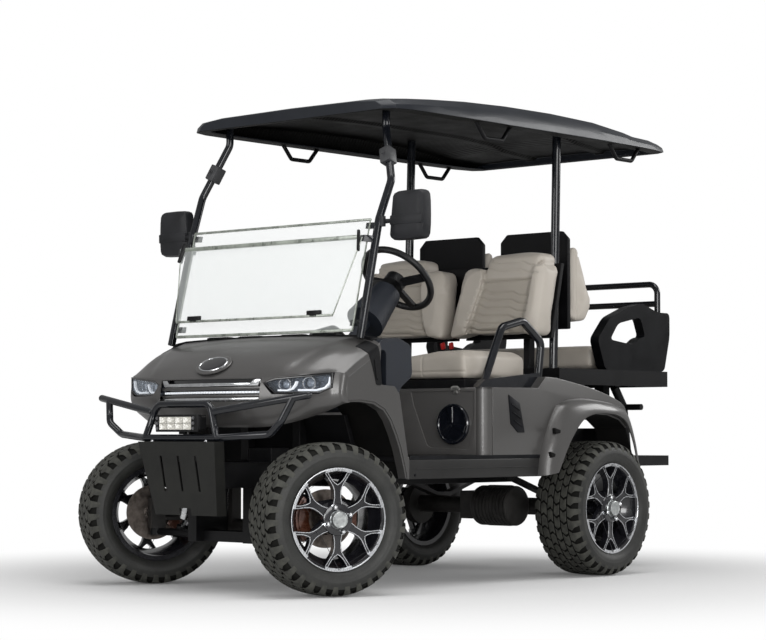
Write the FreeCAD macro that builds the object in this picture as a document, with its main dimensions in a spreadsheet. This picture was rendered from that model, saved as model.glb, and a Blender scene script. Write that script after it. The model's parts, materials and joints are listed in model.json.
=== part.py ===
import FreeCAD, Part
import Sketcher
import math
import os
from FreeCAD import Placement, Rotation, Vector

doc = FreeCAD.newDocument("golf_cart")
sheet = doc.addObject("Spreadsheet::Sheet", "dims")


class Size:
    """A length that carries its number and the sheet formula that gives it."""

    def __init__(self, number, formula):
        self.number = float(number)
        self.formula = formula

    def __float__(self):
        return self.number

    def __add__(self, other):
        return Size(self.number + float(other), "(%s + %s)" % (self.formula, formula(other)))

    __radd__ = __add__

    def __sub__(self, other):
        return Size(self.number - float(other), "(%s - %s)" % (self.formula, formula(other)))

    def __rsub__(self, other):
        return Size(float(other) - self.number, "(%s - %s)" % (formula(other), self.formula))

    def __mul__(self, other):
        return Size(self.number * float(other), "(%s * %s)" % (self.formula, formula(other)))

    __rmul__ = __mul__

    def __truediv__(self, other):
        return Size(self.number / float(other), "(%s / %s)" % (self.formula, formula(other)))

    def __neg__(self):
        return Size(-self.number, "(-1 * %s)" % self.formula)


def formula(value):
    return value.formula if isinstance(value, Size) else repr(float(value))


# Driving dimensions in millimetres and degrees. X is measured forward from mid-wheelbase,
# Y to the left from the centre plane and Z up from the ground.
DIMENSIONS = (
    # Whole cart
    ("wheelbase", 1675),
    ("track", 1067),
    ("front_reach", 1165),
    ("rear_reach", 1622),
    ("turned_tyre_lead", 6.2),
    ("overrun", 20),
    ("running_gap", 0.3),
    ("fit_gap", 1),
    ("sheet_wall", 4),
    ("moulded_wall", 10),
    # Wheels
    ("tyre_radius", 292),
    ("tyre_half_width", 122),
    ("tread_half_width", 100),
    ("tread_depth", 9),
    ("tread_band_half", 48),
    ("lug_half_length", 17),
    ("tread_shoulder_drop", 12),
    ("sidewall_radius", 238),
    ("bead_half_width", 92),
    ("tyre_wall", 12),
    ("rim_radius", 195),
    ("rim_half_width", 104),
    ("rim_flange", 7),
    ("rim_seat_radius", 182),
    ("rim_well_radius", 158),
    ("rim_well_half_width", 40),
    ("rim_wall", 6),
    ("spoke_face", 92),
    ("spoke_depth", 26),
    ("spoke_half_width", 15),
    ("spoke_fork_radius", 112),
    ("spoke_fork_spread", 46),
    ("spoke_fork_width", 20),
    ("hub_radius", 62),
    ("hub_cap_radius", 33),
    ("hub_cap_face", 122),
    ("hub_tube_radius", 34),
    ("hub_tube_back", 44),
    ("brake_disc_radius", 112),
    ("brake_disc_back", 24),
    ("brake_disc_thickness", 8),
    ("spindle_radius", 16),
    ("spindle_tip", 20),
    # Steering
    ("kingpin_offset", 80),
    ("steer_left_angle", 23.16),
    ("steer_right_angle", 27.24),
    ("kingpin_radius", 14),
    ("knuckle_half_height", 62),
    ("knuckle_width", 56),
    ("knuckle_depth", 60),
    ("steering_arm_length", 120),
    ("steering_arm_inset", 15),
    ("steering_arm_width", 30),
    ("steering_arm_thickness", 14),
    ("steering_arm_low", 262),
    ("tie_rod_radius", 8),
    ("tie_eye_height", 18),
    ("tie_rod_gap", 6),
    ("rack_radius", 12),
    ("rack_half_length", 250),
    ("rack_housing_radius", 26),
    ("rack_housing_half_length", 150),
    ("wheel_rim_radius", 170),
    ("wheel_rim_tube", 14),
    ("wheel_tilt", 43),
    ("wheel_x", 165),
    ("wheel_y", 270),
    ("wheel_z", 1256),
    ("wheel_hub_radius", 46),
    ("wheel_hub_thickness", 40),
    ("wheel_spoke_width", 34),
    ("wheel_spoke_thickness", 14),
    ("wheel_hub_drop", 26),
    ("column_radius", 24),
    ("column_length", 430),
    ("column_shroud_radius", 82),
    ("column_shroud_start", 60),
    ("column_shroud_length", 190),
    # Chassis frame
    ("rail_width", 50),
    ("rail_top", 505),
    ("rail_height", 100),
    ("rail_front_y", 150),
    ("rail_mid_y", 230),
    ("rail_jog_front", 560),
    ("rail_jog_rear", 470),
    ("rail_kick_start", -575),
    ("rail_kick_end", -660),
    ("rail_rear_top", 640),
    ("rail_rear_end", -1400),
    ("cross_width", 50),
    ("cross_height", 60),
    ("bulkhead_x", 600),
    ("bulkhead_top", 940),
    ("bulkhead_inset", 60),
    ("bulkhead_tube", 40),
    ("hitch_side", 64),
    ("hitch_wall", 7),
    ("hitch_length", 120),
    ("hitch_pin_radius", 8),
    ("hitch_pin_inset", 40),
    # Floor and seat box
    ("floor_thickness", 20),
    ("floor_front", 560),
    ("toe_half_width", 392),
    ("toe_notch_x", 505),
    ("toe_front", 628),
    ("toe_top", 690),
    ("kick_x", 0),
    ("box_inset", 44),
    ("box_rear", -560),
    ("box_top", 806),
    ("box_wall", 12),
    ("seat_ledge_top", 840),
    ("ledge_inset", 56),
    ("seat_ledge_front", 10),
    ("seat_ledge_rear", -440),
    ("hinge_radius", 6),
    ("hinge_gap", 7),
    ("hinge_rise", 8),
    ("hinge_start", 200),
    ("hinge_length", 60),
    ("speaker_inset", 120),
    ("speaker_z", 655),
    ("speaker_radius", 84),
    ("speaker_depth", 18),
    # Side bodies
    ("body_half_width", 600),
    ("fender_ledge", 130),
    ("side_wall", 10),
    ("sill_top", 525),
    ("rocker_bottom", 436),
    ("rocker_front", 473),
    ("rocker_rear", -416),
    ("rocker_thickness", 26),
    ("flare_width", 64),
    ("fender_top", 856),
    ("fender_tail_x", -1001),
    ("liner_depth", 176),
    ("liner_wall", 8),
    # Front cowl
    ("cowl_rear", 640),
    ("cowl_top", 1003),
    ("nose_reach", 1022),
    ("fascia_low", 640),
    ("arch_lip_rear_z", 715),
    ("lamp_inner_y", 288),
    ("lamp_outer_y", 566),
    ("lamp_depth", 70),
    # Bumper guard
    ("guard_tube", 14),
    ("guard_bend", 45),
    ("plate_low_back", 57),
    ("plate_top_z", 585),
    ("plate_low_z", 299),
    ("plate_top_half", 213),
    ("plate_low_half", 171),
    ("plate_thickness", 5),
    ("plate_flange", 52),
    ("slot_width", 12),
    ("light_bar_half", 122),
    ("light_bar_low", 622),
    ("light_bar_high", 690),
    ("light_bar_depth", 46),
    # Canopy
    ("roof_front", 544),
    ("roof_rear", -1386),
    ("roof_half_width", 600),
    ("roof_low", 1899),
    ("roof_crown", 2000),
    ("roof_edge_inset", 16),
    ("roof_skin", 14),
    ("roof_skirt", 12),
    ("roof_shoulder_inset", 38),
    ("roof_lip", 56),
    ("roof_lip_thickness", 7),
    ("roof_rib_height", 12),
    ("strut_radius", 16),
    ("strut_bend", 60),
    ("post_radius", 19),
    ("post_base_x", -702),
    ("post_top_x", -736),
    ("post_y", 421),
    ("handle_tube", 9),
    ("handle_half_length", 120),
    ("handle_grip_half", 58),
    ("handle_front_x", -120),
    ("handle_rear_x", -1058),
    ("handle_drop", 60),
    # Windscreen and mirrors
    ("screen_half_width", 497),
    ("screen_thickness", 6),
    ("screen_low_x", 690),
    ("screen_low_z", 1012),
    ("screen_top_x", 582),
    ("screen_top_z", 1462),
    ("folded_top_z", 1392),
    ("folded_low_z", 1072),
    ("mirror_x", 535),
    ("mirror_arm_length", 21.2),
    ("mirror_width", 184),
    ("mirror_z", 1470),
    ("mirror_height", 196),
    ("mirror_depth", 46),
    ("mirror_arm_radius", 10),
    # Seats
    ("cushion_front", 24),
    ("cushion_rear", -424),
    ("cushion_inset", 41),
    ("cushion_top", 962),
    ("cushion_dip", 22),
    ("bolster_width", 96),
    ("bolster_proud", 24),
    ("bolster_top", 1356),
    ("back_low_z", 1028),
    ("back_top_z", 1418),
    ("back_low_x", -470),
    ("back_top_x", -560),
    ("back_thickness", 112),
    ("back_inner_y", 6),
    ("shell_thickness", 22),
    ("rear_shell_x", -800),
    ("rear_shell_top", 1512),
    ("rear_back_top", 1454),
    ("rear_back_low", 1099),
    ("rear_back_thickness", 110),
    ("rear_cushion_front", -962),
    ("rear_cushion_rear", -1404),
    ("rear_cushion_half", 440),
    ("rear_cushion_top", 1012),
    ("hip_tube", 17),
    # Rear kit
    ("deck_top", 900),
    ("deck_skirt", 70),
    ("deck_front", -640),
    ("deck_rear", -1469),
    ("deck_half_width", 500),
    ("arm_thickness", 46),
    ("arm_outer_y", 500),
    ("grab_tube", 14),
    ("grab_x", -1424),
    ("grab_top", 1303),
    ("grab_mid", 1212),
    ("foot_plate_top", 514),
    ("foot_plate_thickness", 46),
    ("foot_plate_front", -1274),
    ("foot_plate_half", 400),
    ("foot_tube", 20),
    ("foot_tube_y", 300),
    # Running gear
    ("axle_tube_radius", 38),
    ("diff_radius", 92),
    ("diff_width", 120),
    ("motor_radius", 88),
    ("motor_length", 210),
    ("motor_x", -620),
    ("motor_z", 300),
    ("motor_y", 20),
    ("leaf_width", 45),
    ("leaf_thickness", 18),
    ("leaf_y", 330),
    ("leaf_half_length", 330),
    ("shock_radius", 16),
    ("arm_tube", 14),
    ("arm_inner_y", 178),
    ("battery_length", 470),
    ("battery_width", 620),
    ("battery_height", 260),
    # Places added by the suspension, the axle and the frame
    ("shock_foot_y", 300),
    ("shock_head_y", 215),
    ("shock_seat", 12),
    ("tower_top", 560),
    ("arm_spread", 60),
    ("cradle_inner_y", 130),
    ("leaf_eye_z", 420),
    ("rigger_front_x", 430),
    ("rigger_mid_x", -60),
    ("rigger_rear_x", -400),
    ("cross_rear_offset", 150),
    ("drum_width", 44),
    # Cowl, lamp and grille places
    ("leg_top_z", 800),
    ("leg_rear_top_x", 560),
    ("leg_rear_mid_x", 531),
    ("leg_mid_z", 771),
    ("leg_rear_low_x", 480),
    ("arch_low_x", 483),
    ("arch_mid_x", 547),
    ("arch_mid_z", 616),
    ("arch_top_x", 618),
    ("lamp_room", 242),
    ("lamp_mid_z", 812),
    ("lamp_low_z", 767),
    ("lamp_outer_z", 790),
    ("lamp_high_z", 856),
    ("lamp_top_z", 830),
    ("lamp_point", 46),
    ("lamp_inner_back", 40),
    ("lamp_outer_back", 138),
    ("grille_side_gap", 8),
    ("grille_low_z", 740),
    ("grille_top_z", 829),
    ("grille_face_back", 37),
    ("grille_depth", 30),
    ("grille_bar", 16),
    # Guard places
    ("hoop_foot_back", 27),
    ("hoop_foot_y", 199),
    ("hoop_top_back", 41),
    ("hoop_top_y", 148),
    ("hoop_top_z", 730),
    ("wing_in_back", 35),
    ("wing_in_y", 170),
    ("wing_in_z", 700),
    ("wing_tip_back", 135),
    ("wing_tip_y", 577),
    ("wing_tip_z", 760),
    ("loop_low_back", 97),
    ("loop_low_y", 414),
    ("loop_low_z", 613),
    ("loop_mid_back", 90),
    ("loop_mid_y", 478),
    ("loop_mid_z", 660),
    ("loop_top_back", 119),
    ("loop_top_y", 514),
    ("loop_top_z", 750),
    ("slot_low_z", 392),
    ("slot_top_z", 530),
    ("notch_half", 32),
    ("notch_rise", 28),
    ("light_bar_inset", 5),
    ("light_rim", 8),
    # Dash and folded pane
    ("dash_rear", 450),
    ("dash_top", 980),
    ("dash_low", 700),
    ("clip_side", 24),
    ("clip_rise", 410),
    ("folded_half_width", 514),
    ("folded_free_half", 440),
    ("folded_low_x", 744),
    ("folded_top_x", 650),
    # Strut places
    ("strut_foot_x", 687),
    ("strut_foot_y", 530),
    ("strut_foot_z", 985),
    ("strut_mid_x", 568),
    ("strut_mid_y", 524),
    ("strut_mid_z", 1460),
    ("strut_kink_x", 506),
    ("strut_kink_y", 534),
    ("strut_kink_z", 1618),
    ("strut_top_x", 433),
    ("strut_top_y", 443),
    ("strut_top_z", 1842),
    ("mirror_round", 34),
    ("mirror_arm_x", 555),
    ("mirror_arm_gap", 1.8),
    # Seat places
    ("back_shell_inset", 20),
    ("rear_back_inner", 20),
    ("rear_back_outer", 460),
    ("shell_inset", 30),
    ("shell_corner", 36),
    ("seat_post_side", 36),
    ("seat_post_x", -752),
    ("seat_post_y", 250),
    ("seat_bracket_low", 1090),
    ("seat_bracket_high", 1320),
    ("hip_front_x", -60),
    ("hip_rise_x", -190),
    ("hip_front_z", 1060),
    ("hip_top_x", -330),
    ("hip_top_z", 1092),
    ("hip_bend_x", -460),
    ("hip_bend_z", 1005),
    ("hip_rear_x", -430),
    # Rear kit places
    ("deck_leg_front_x", -720),
    ("deck_leg_rear_x", -1330),
    ("arm_front_x", -970),
    ("arm_rear_x", -1528),
    ("arm_top_z", 1207),
    ("foot_top_x", -1330),
    ("foot_bend_x", -1400),
    ("foot_bend_z", 740),
    ("foot_low_x", -1430),
    ("foot_cross_x", -1404),
    ("foot_cross_z", 738),
)

for row, (alias, value) in enumerate(DIMENSIONS, start=1):
    sheet.set("A%d" % row, alias)
    sheet.set("B%d" % row, repr(value))
    sheet.setAlias("B%d" % row, alias)
doc.recompute()


class Sizes:
    """The sheet's aliases as Size values."""


dims = Sizes()
for alias, value in DIMENSIONS:
    setattr(dims, alias, Size(value, "dims.%s" % alias))

ZERO = Size(0, "0")
front_axle = dims.wheelbase / 2
rear_axle = -dims.wheelbase / 2
origin_shift = (dims.rear_reach - dims.front_reach - dims.turned_tyre_lead) / 2
kingpin_y = dims.track / 2 - dims.kingpin_offset
box_half_width = dims.body_half_width - dims.box_inset
bulkhead_half_width = dims.body_half_width - dims.bulkhead_inset
side_inner_y = dims.body_half_width - dims.fender_ledge
liner_inner_y = dims.body_half_width - dims.liner_depth
flare_reach = dims.body_half_width + dims.flare_width
ledge_half_width = box_half_width - dims.ledge_inset
cushion_half_width = box_half_width - dims.cushion_inset
hip_y = box_half_width - dims.hip_tube - dims.fit_gap / 2
back_outer_y = hip_y - dims.hip_tube - dims.fit_gap
speaker_y = box_half_width - dims.speaker_inset
plate_low_x = dims.front_reach - dims.plate_low_back
hoop_foot_x = dims.front_reach - dims.hoop_foot_back
hoop_top_x = dims.front_reach - dims.hoop_top_back
wing_in_x = dims.front_reach - dims.wing_in_back
wing_tip_x = dims.front_reach - dims.wing_tip_back
loop_low_x = dims.front_reach - dims.loop_low_back
loop_mid_x = dims.front_reach - dims.loop_mid_back
loop_top_x = dims.front_reach - dims.loop_top_back
lamp_back_x = dims.nose_reach - dims.lamp_room
lamp_inner_x = dims.nose_reach - dims.lamp_inner_back
lamp_outer_x = dims.nose_reach - dims.lamp_outer_back
grille_face_x = dims.nose_reach - dims.grille_face_back
mirror_arm_y = dims.strut_mid_y + dims.strut_radius + dims.mirror_arm_gap
mirror_inner_y = mirror_arm_y + dims.mirror_arm_length
mirror_reach = mirror_inner_y + dims.mirror_width

parts = []


def place_in_cart(item):
    """Move a sub-part from the mid-wheelbase datum to the frame of the whole cart."""
    item.setExpression("Placement.Base.x", origin_shift.formula)


def label(item, name):
    item.Label = name
    parts.append(item)
    return item


def body(name, placed=True):
    made = doc.addObject("PartDesign::Body", name)
    made.AllowCompound = True
    label(made, name)
    if placed:
        place_in_cart(made)
    return made


def plane_of(owner, role):
    for feature in owner.Origin.OriginFeatures:
        if feature.Role == role:
            return feature


PLANE_ROLE = {"XY": "XY_Plane", "XZ": "XZ_Plane", "YZ": "YZ_Plane"}


def sketch(owner, plane, height):
    """An empty sketch on a plane of the body, at a height along that plane's axis."""
    made = owner.newObject("Sketcher::SketchObject", "%s_sketch" % owner.Name)
    made.AttachmentSupport = [(plane_of(owner, PLANE_ROLE[plane]), "")]
    made.MapMode = "FlatFace"
    offset = -height if plane == "XZ" else height
    made.setExpression("AttachmentOffset.Base.z", formula(offset))
    return made


def draw(target, outline):
    """Draw a closed outline whose corners are held by the sheet's sizes."""
    first = target.GeometryCount
    corners = [Vector(float(x), float(y), 0) for x, y in outline]
    count = len(corners)
    lines = [Part.LineSegment(corners[i], corners[(i + 1) % count]) for i in range(count)]
    target.addGeometry(lines, False)
    joins = [
        Sketcher.Constraint("Coincident", first + i, 2, first + (i + 1) % count, 1) for i in range(count)
    ]
    target.addConstraint(joins)
    for i, (x, y) in enumerate(outline):
        for kind, value in (("DistanceX", x), ("DistanceY", y)):
            held = target.addConstraint(Sketcher.Constraint(kind, -1, 1, first + i, 1, float(value)))
            if isinstance(value, Size):
                target.setExpression("Constraints[%d]" % held, value.formula)


def draw_circle(target, centre, radius):
    first = target.GeometryCount
    middle = Vector(float(centre[0]), float(centre[1]), 0)
    target.addGeometry(Part.Circle(middle, Vector(0, 0, 1), float(radius)), False)
    for kind, value in (("DistanceX", centre[0]), ("DistanceY", centre[1])):
        held = target.addConstraint(Sketcher.Constraint(kind, -1, 1, first, 3, float(value)))
        if isinstance(value, Size):
            target.setExpression("Constraints[%d]" % held, value.formula)
    held = target.addConstraint(Sketcher.Constraint("Radius", first, float(radius)))
    target.setExpression("Constraints[%d]" % held, formula(radius))


def fill(target, shapes):
    for shape in shapes:
        if shape[0] == "circle":
            draw_circle(target, shape[1], shape[2])
        else:
            draw(target, shape)


def pad(owner, plane, low, high, *shapes):
    """Fill outlines from one height to another along the plane's axis."""
    start = high if plane == "XZ" else low
    profile = sketch(owner, plane, start)
    fill(profile, shapes)
    made = owner.newObject("PartDesign::Pad", "%s_pad" % owner.Name)
    made.Profile = profile
    made.setExpression("Length", (high - low).formula)
    owner.Tip = made
    return made


def pocket(owner, plane, low, high, *shapes):
    """Cut outlines from one height to another along the plane's axis."""
    start = low if plane == "XZ" else high
    profile = sketch(owner, plane, start)
    fill(profile, shapes)
    made = owner.newObject("PartDesign::Pocket", "%s_pocket" % owner.Name)
    made.Profile = profile
    made.setExpression("Length", (high - low).formula)
    owner.Tip = made
    return made


def loft(owner, kind, plane, stations):
    """Join outlines at several heights with flat-ruled faces."""
    profiles = []
    for height, outline in stations:
        profile = sketch(owner, plane, height)
        draw(profile, outline)
        profiles.append(profile)
    made = owner.newObject("PartDesign::%sLoft" % kind, "%s_loft" % owner.Name)
    made.Profile = profiles[0]
    made.Sections = profiles[1:]
    made.Ruled = True
    owner.Tip = made
    return made


def revolve(owner, outline, kind="Revolution"):
    """Turn an outline of radius and place along Y about the body's own Y axis."""
    profile = sketch(owner, "XY", ZERO)
    draw(profile, outline)
    made = owner.newObject("PartDesign::%s" % kind, "%s_turned" % owner.Name)
    made.Profile = profile
    made.ReferenceAxis = (profile, ["V_Axis"])
    made.Angle = 360
    owner.Tip = made
    return made


def polar(owner, features, count):
    made = owner.newObject("PartDesign::PolarPattern", "%s_ring" % owner.Name)
    made.Originals = features
    axis = plane_of(owner, "Y_Axis")
    made.Axis = (axis, [""])
    made.Angle = 360
    made.Occurrences = count
    owner.Tip = made
    return made


def mirrored(owner, features):
    """Repeat features on the other side of the centre plane."""
    made = owner.newObject("PartDesign::Mirrored", "%s_mirror" % owner.Name)
    made.Originals = features
    made.MirrorPlane = (plane_of(owner, "XZ_Plane"), [""])
    owner.Tip = made
    return made


def box(low, high):
    """A rectangle as an outline, from its low corner to its high corner."""
    return [(low[0], low[1]), (high[0], low[1]), (high[0], high[1]), (low[0], high[1])]


def solid_part(name, shape, placed=True):
    """A sub-part whose swept shape is worked out here from the sheet's sizes."""
    made = doc.addObject("Part::Feature", name)
    made.Shape = shape
    label(made, name)
    if placed:
        place_in_cart(made)
    return made


def point(x, y, z):
    return Vector(float(x), float(y), float(z))


def bent_path(points, bend):
    """Straight runs through the points, joined by tangent arcs."""
    edges = []
    start = points[0]
    for before, corner, after in zip(points, points[1:], points[2:]):
        toward = (before - corner).normalize()
        away = (after - corner).normalize()
        half = toward.getAngle(away) / 2
        reach = min((before - corner).Length, (after - corner).Length) * TUBE_RUN_SHARE
        cut = min(bend / math.tan(half), reach)
        first = corner + toward * cut
        last = corner + away * cut
        radius = cut * math.tan(half)
        middle_way = (toward + away).normalize()
        middle = corner + middle_way * (radius / math.sin(half) - radius)
        if (first - start).Length > 0:
            edges.append(Part.LineSegment(start, first).toShape())
        edges.append(Part.Arc(first, middle, last).toShape())
        start = last
    edges.append(Part.LineSegment(start, points[-1]).toShape())
    return Part.Wire(edges)


TUBE_RUN_SHARE = 0.45


def tube(points, radius, bend=0):
    """A round bar along straight runs and tangent arcs."""
    if len(points) == 2:
        run = points[1] - points[0]
        return Part.makeCylinder(float(radius), run.Length, points[0], run)
    path = bent_path(points, float(bend))
    ring = Part.Wire(Part.makeCircle(float(radius), points[0], points[1] - points[0]))
    return path.makePipeShell([ring], True, True)


def fused(shapes):
    first = shapes[0]
    return first.multiFuse(shapes[1:]).removeSplitter() if len(shapes) > 1 else first


def largest(shape):
    """The biggest solid of a shape, after a cut has left a scrap behind."""
    return max(shape.Solids, key=lambda solid: solid.Volume)


# Wheels: a hollow tyre on a forged rim with six forked spokes, a hub and a brake disc.
# The wheel's own frame has its axis along Y, with the outer face toward +Y.
TREAD_INSIDE_SHARE = 0.8
BEAD_DEPTH_SHARE = 1.5
SEAT_DEPTH_SHARE = 1.5


def tyre_outline():
    gap = dims.running_gap
    outer = [
        (dims.rim_seat_radius + gap, dims.bead_half_width - gap),
        (dims.rim_radius + gap, dims.rim_half_width - dims.rim_flange - gap),
        (dims.rim_radius + dims.rim_flange, dims.rim_half_width),
        (dims.sidewall_radius, dims.tyre_half_width),
        (dims.tyre_radius - dims.tread_shoulder_drop * 2, dims.tread_half_width + dims.tread_shoulder_drop),
        (dims.tyre_radius - dims.tread_depth, dims.tread_half_width),
        (dims.tyre_radius - dims.tread_depth, dims.tread_band_half + dims.tread_depth / 2),
        (dims.tyre_radius, dims.tread_band_half),
    ]
    inner = [
        (dims.tyre_radius - dims.tyre_wall * 2, dims.tread_half_width * TREAD_INSIDE_SHARE),
        (dims.sidewall_radius, dims.tyre_half_width - dims.tyre_wall),
        (dims.rim_seat_radius + gap, dims.bead_half_width - dims.tyre_wall * BEAD_DEPTH_SHARE),
    ]
    right = [(r, -y) for r, y in outer]
    inner_right = [(r, -y) for r, y in inner]
    return outer + right[::-1] + inner_right[::-1] + inner


# Corners of a shoulder lug: shares of the tyre's half width and of its radius.
LUG_SHARES = (
    (0.49, 0.95),
    (0.49, 0.994),
    (0.77, 0.99),
    (0.915, 0.93),
    (0.99, 0.82),
    (0.92, 0.82),
    (0.82, 0.9),
)


def wheel_placement(item, x, y, turn):
    item.setExpression("Placement.Base.x", (origin_shift + x).formula)
    item.setExpression("Placement.Base.y", formula(y))
    item.setExpression("Placement.Base.z", dims.tyre_radius.formula)
    item.Placement.Rotation = Rotation(Vector(0, 0, 1), float(turn))


def make_tyre(name, x, y, turn):
    tyre = body(name, placed=False)
    revolve(tyre, tyre_outline())
    corners = [(dims.tyre_half_width * wide, dims.tyre_radius * high) for wide, high in LUG_SHARES]
    half = dims.lug_half_length
    lugs = [
        pad(tyre, "YZ", -half, half, corners),
        pad(tyre, "XY", -half, half, [(r, -y) for y, r in corners]),
    ]
    polar(tyre, lugs, 18)
    wheel_placement(tyre, x, y, turn)
    return tyre


def rim_barrel_outline():
    """The closed section of the barrel: two flanges, two bead seats and a well."""
    outer = [
        (dims.rim_radius, dims.rim_half_width - dims.running_gap),
        (dims.rim_radius, dims.rim_half_width - dims.rim_flange),
        (dims.rim_seat_radius, dims.bead_half_width),
        (dims.rim_seat_radius - dims.rim_wall / 2, dims.bead_half_width - dims.tyre_wall * BEAD_DEPTH_SHARE),
        (dims.rim_well_radius, dims.rim_well_half_width),
    ]
    inner = [
        (dims.rim_well_radius - dims.rim_wall, dims.rim_well_half_width),
        (
            dims.rim_seat_radius - dims.rim_wall * SEAT_DEPTH_SHARE,
            dims.bead_half_width - dims.tyre_wall * BEAD_DEPTH_SHARE,
        ),
        (dims.rim_seat_radius - dims.rim_wall, dims.rim_half_width - dims.running_gap),
    ]
    right = [(r, -y) for r, y in outer]
    inner_right = [(r, -y) for r, y in inner]
    return outer + right[::-1] + inner_right[::-1] + inner


SPOKE_TIP_SHARE = 2.5
FORK_CROTCH_SHARE = 1.6


def spoke_outline():
    """One forked spoke in the plane of the wheel's face, from the hub to the flange."""
    root = dims.hub_radius - dims.rim_wall
    fork = dims.spoke_fork_radius
    tip = dims.rim_seat_radius - dims.rim_wall * SPOKE_TIP_SHARE
    half = dims.spoke_half_width
    spread = dims.spoke_fork_spread
    width = dims.spoke_fork_width
    return [
        (root, -half),
        (fork, -half),
        (tip, -spread - width),
        (tip, -spread),
        (fork + width * FORK_CROTCH_SHARE, ZERO),
        (tip, spread),
        (tip, spread + width),
        (fork, half),
        (root, half),
    ]


def make_rim(name, x, y, turn, side, disc):
    """A rim whose face looks along Y on the left and along -Y on the right."""
    rim = body(name, placed=False)
    revolve(rim, rim_barrel_outline())
    face = dims.spoke_face * side
    back = (dims.spoke_face - dims.spoke_depth) * side
    low, high = (back, face) if side > 0 else (face, back)
    spoke = pad(rim, "XZ", low, high, spoke_outline())
    polar(rim, [spoke], 6)
    hub = [
        (dims.spindle_radius + dims.running_gap, -dims.hub_tube_back * side),
        (dims.hub_tube_radius, -dims.hub_tube_back * side),
        (dims.hub_tube_radius, (dims.spoke_face - dims.spoke_depth) * side),
        (dims.hub_radius, (dims.spoke_face - dims.spoke_depth) * side),
        (dims.hub_radius, (dims.spoke_face + dims.rim_wall) * side),
        (dims.hub_cap_radius, (dims.spoke_face + dims.rim_wall) * side),
        (dims.hub_cap_radius, dims.hub_cap_face * side),
        (ZERO, dims.hub_cap_face * side),
        (ZERO, (dims.spindle_tip + dims.fit_gap) * side),
        (dims.spindle_radius + dims.running_gap, (dims.spindle_tip + dims.fit_gap) * side),
    ]
    revolve(rim, hub)
    if disc:
        disc_face = dims.brake_disc_thickness - dims.brake_disc_back
        ring = [
            (dims.hub_tube_radius - dims.rim_wall, -dims.brake_disc_back * side),
            (dims.brake_disc_radius, -dims.brake_disc_back * side),
            (dims.brake_disc_radius, disc_face * side),
            (dims.hub_tube_radius - dims.rim_wall, disc_face * side),
        ]
        revolve(rim, ring)
    wheel_placement(rim, x, y, turn)
    return rim


def rest_turn(side):
    """The angle of a front wheel at rest: both are turned to the right."""
    return -dims.steer_left_angle if side > 0 else -dims.steer_right_angle


def front_wheel_centre(side):
    """Where the tyre's centre lies once the wheel has turned about its kingpin."""
    turn = math.radians(float(rest_turn(side)))
    angle = "(%s)" % rest_turn(side).formula
    along = dims.kingpin_offset * side
    x = front_axle - Size(float(along) * math.sin(turn), "%s * sin(%s * 1 deg)" % (along.formula, angle))
    outward = Size(float(along) * math.cos(turn), "%s * cos(%s * 1 deg)" % (along.formula, angle))
    y = kingpin_y * side + outward
    return x, y


for side, word in ((1, "left"), (-1, "right")):
    x, y = front_wheel_centre(side)
    make_tyre("tyre_front_%s" % word, x, y, rest_turn(side))
    make_rim("rim_front_%s" % word, x, y, rest_turn(side), side, True)
    make_tyre("tyre_rear_%s" % word, rear_axle, dims.track / 2 * side, ZERO)
    make_rim("rim_rear_%s" % word, rear_axle, dims.track / 2 * side, ZERO, side, False)


# Knuckles: an upright between two ball joints, with the spindle, a steering arm and a brake caliper.
CALIPER_BACK_SHARE = 3


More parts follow.
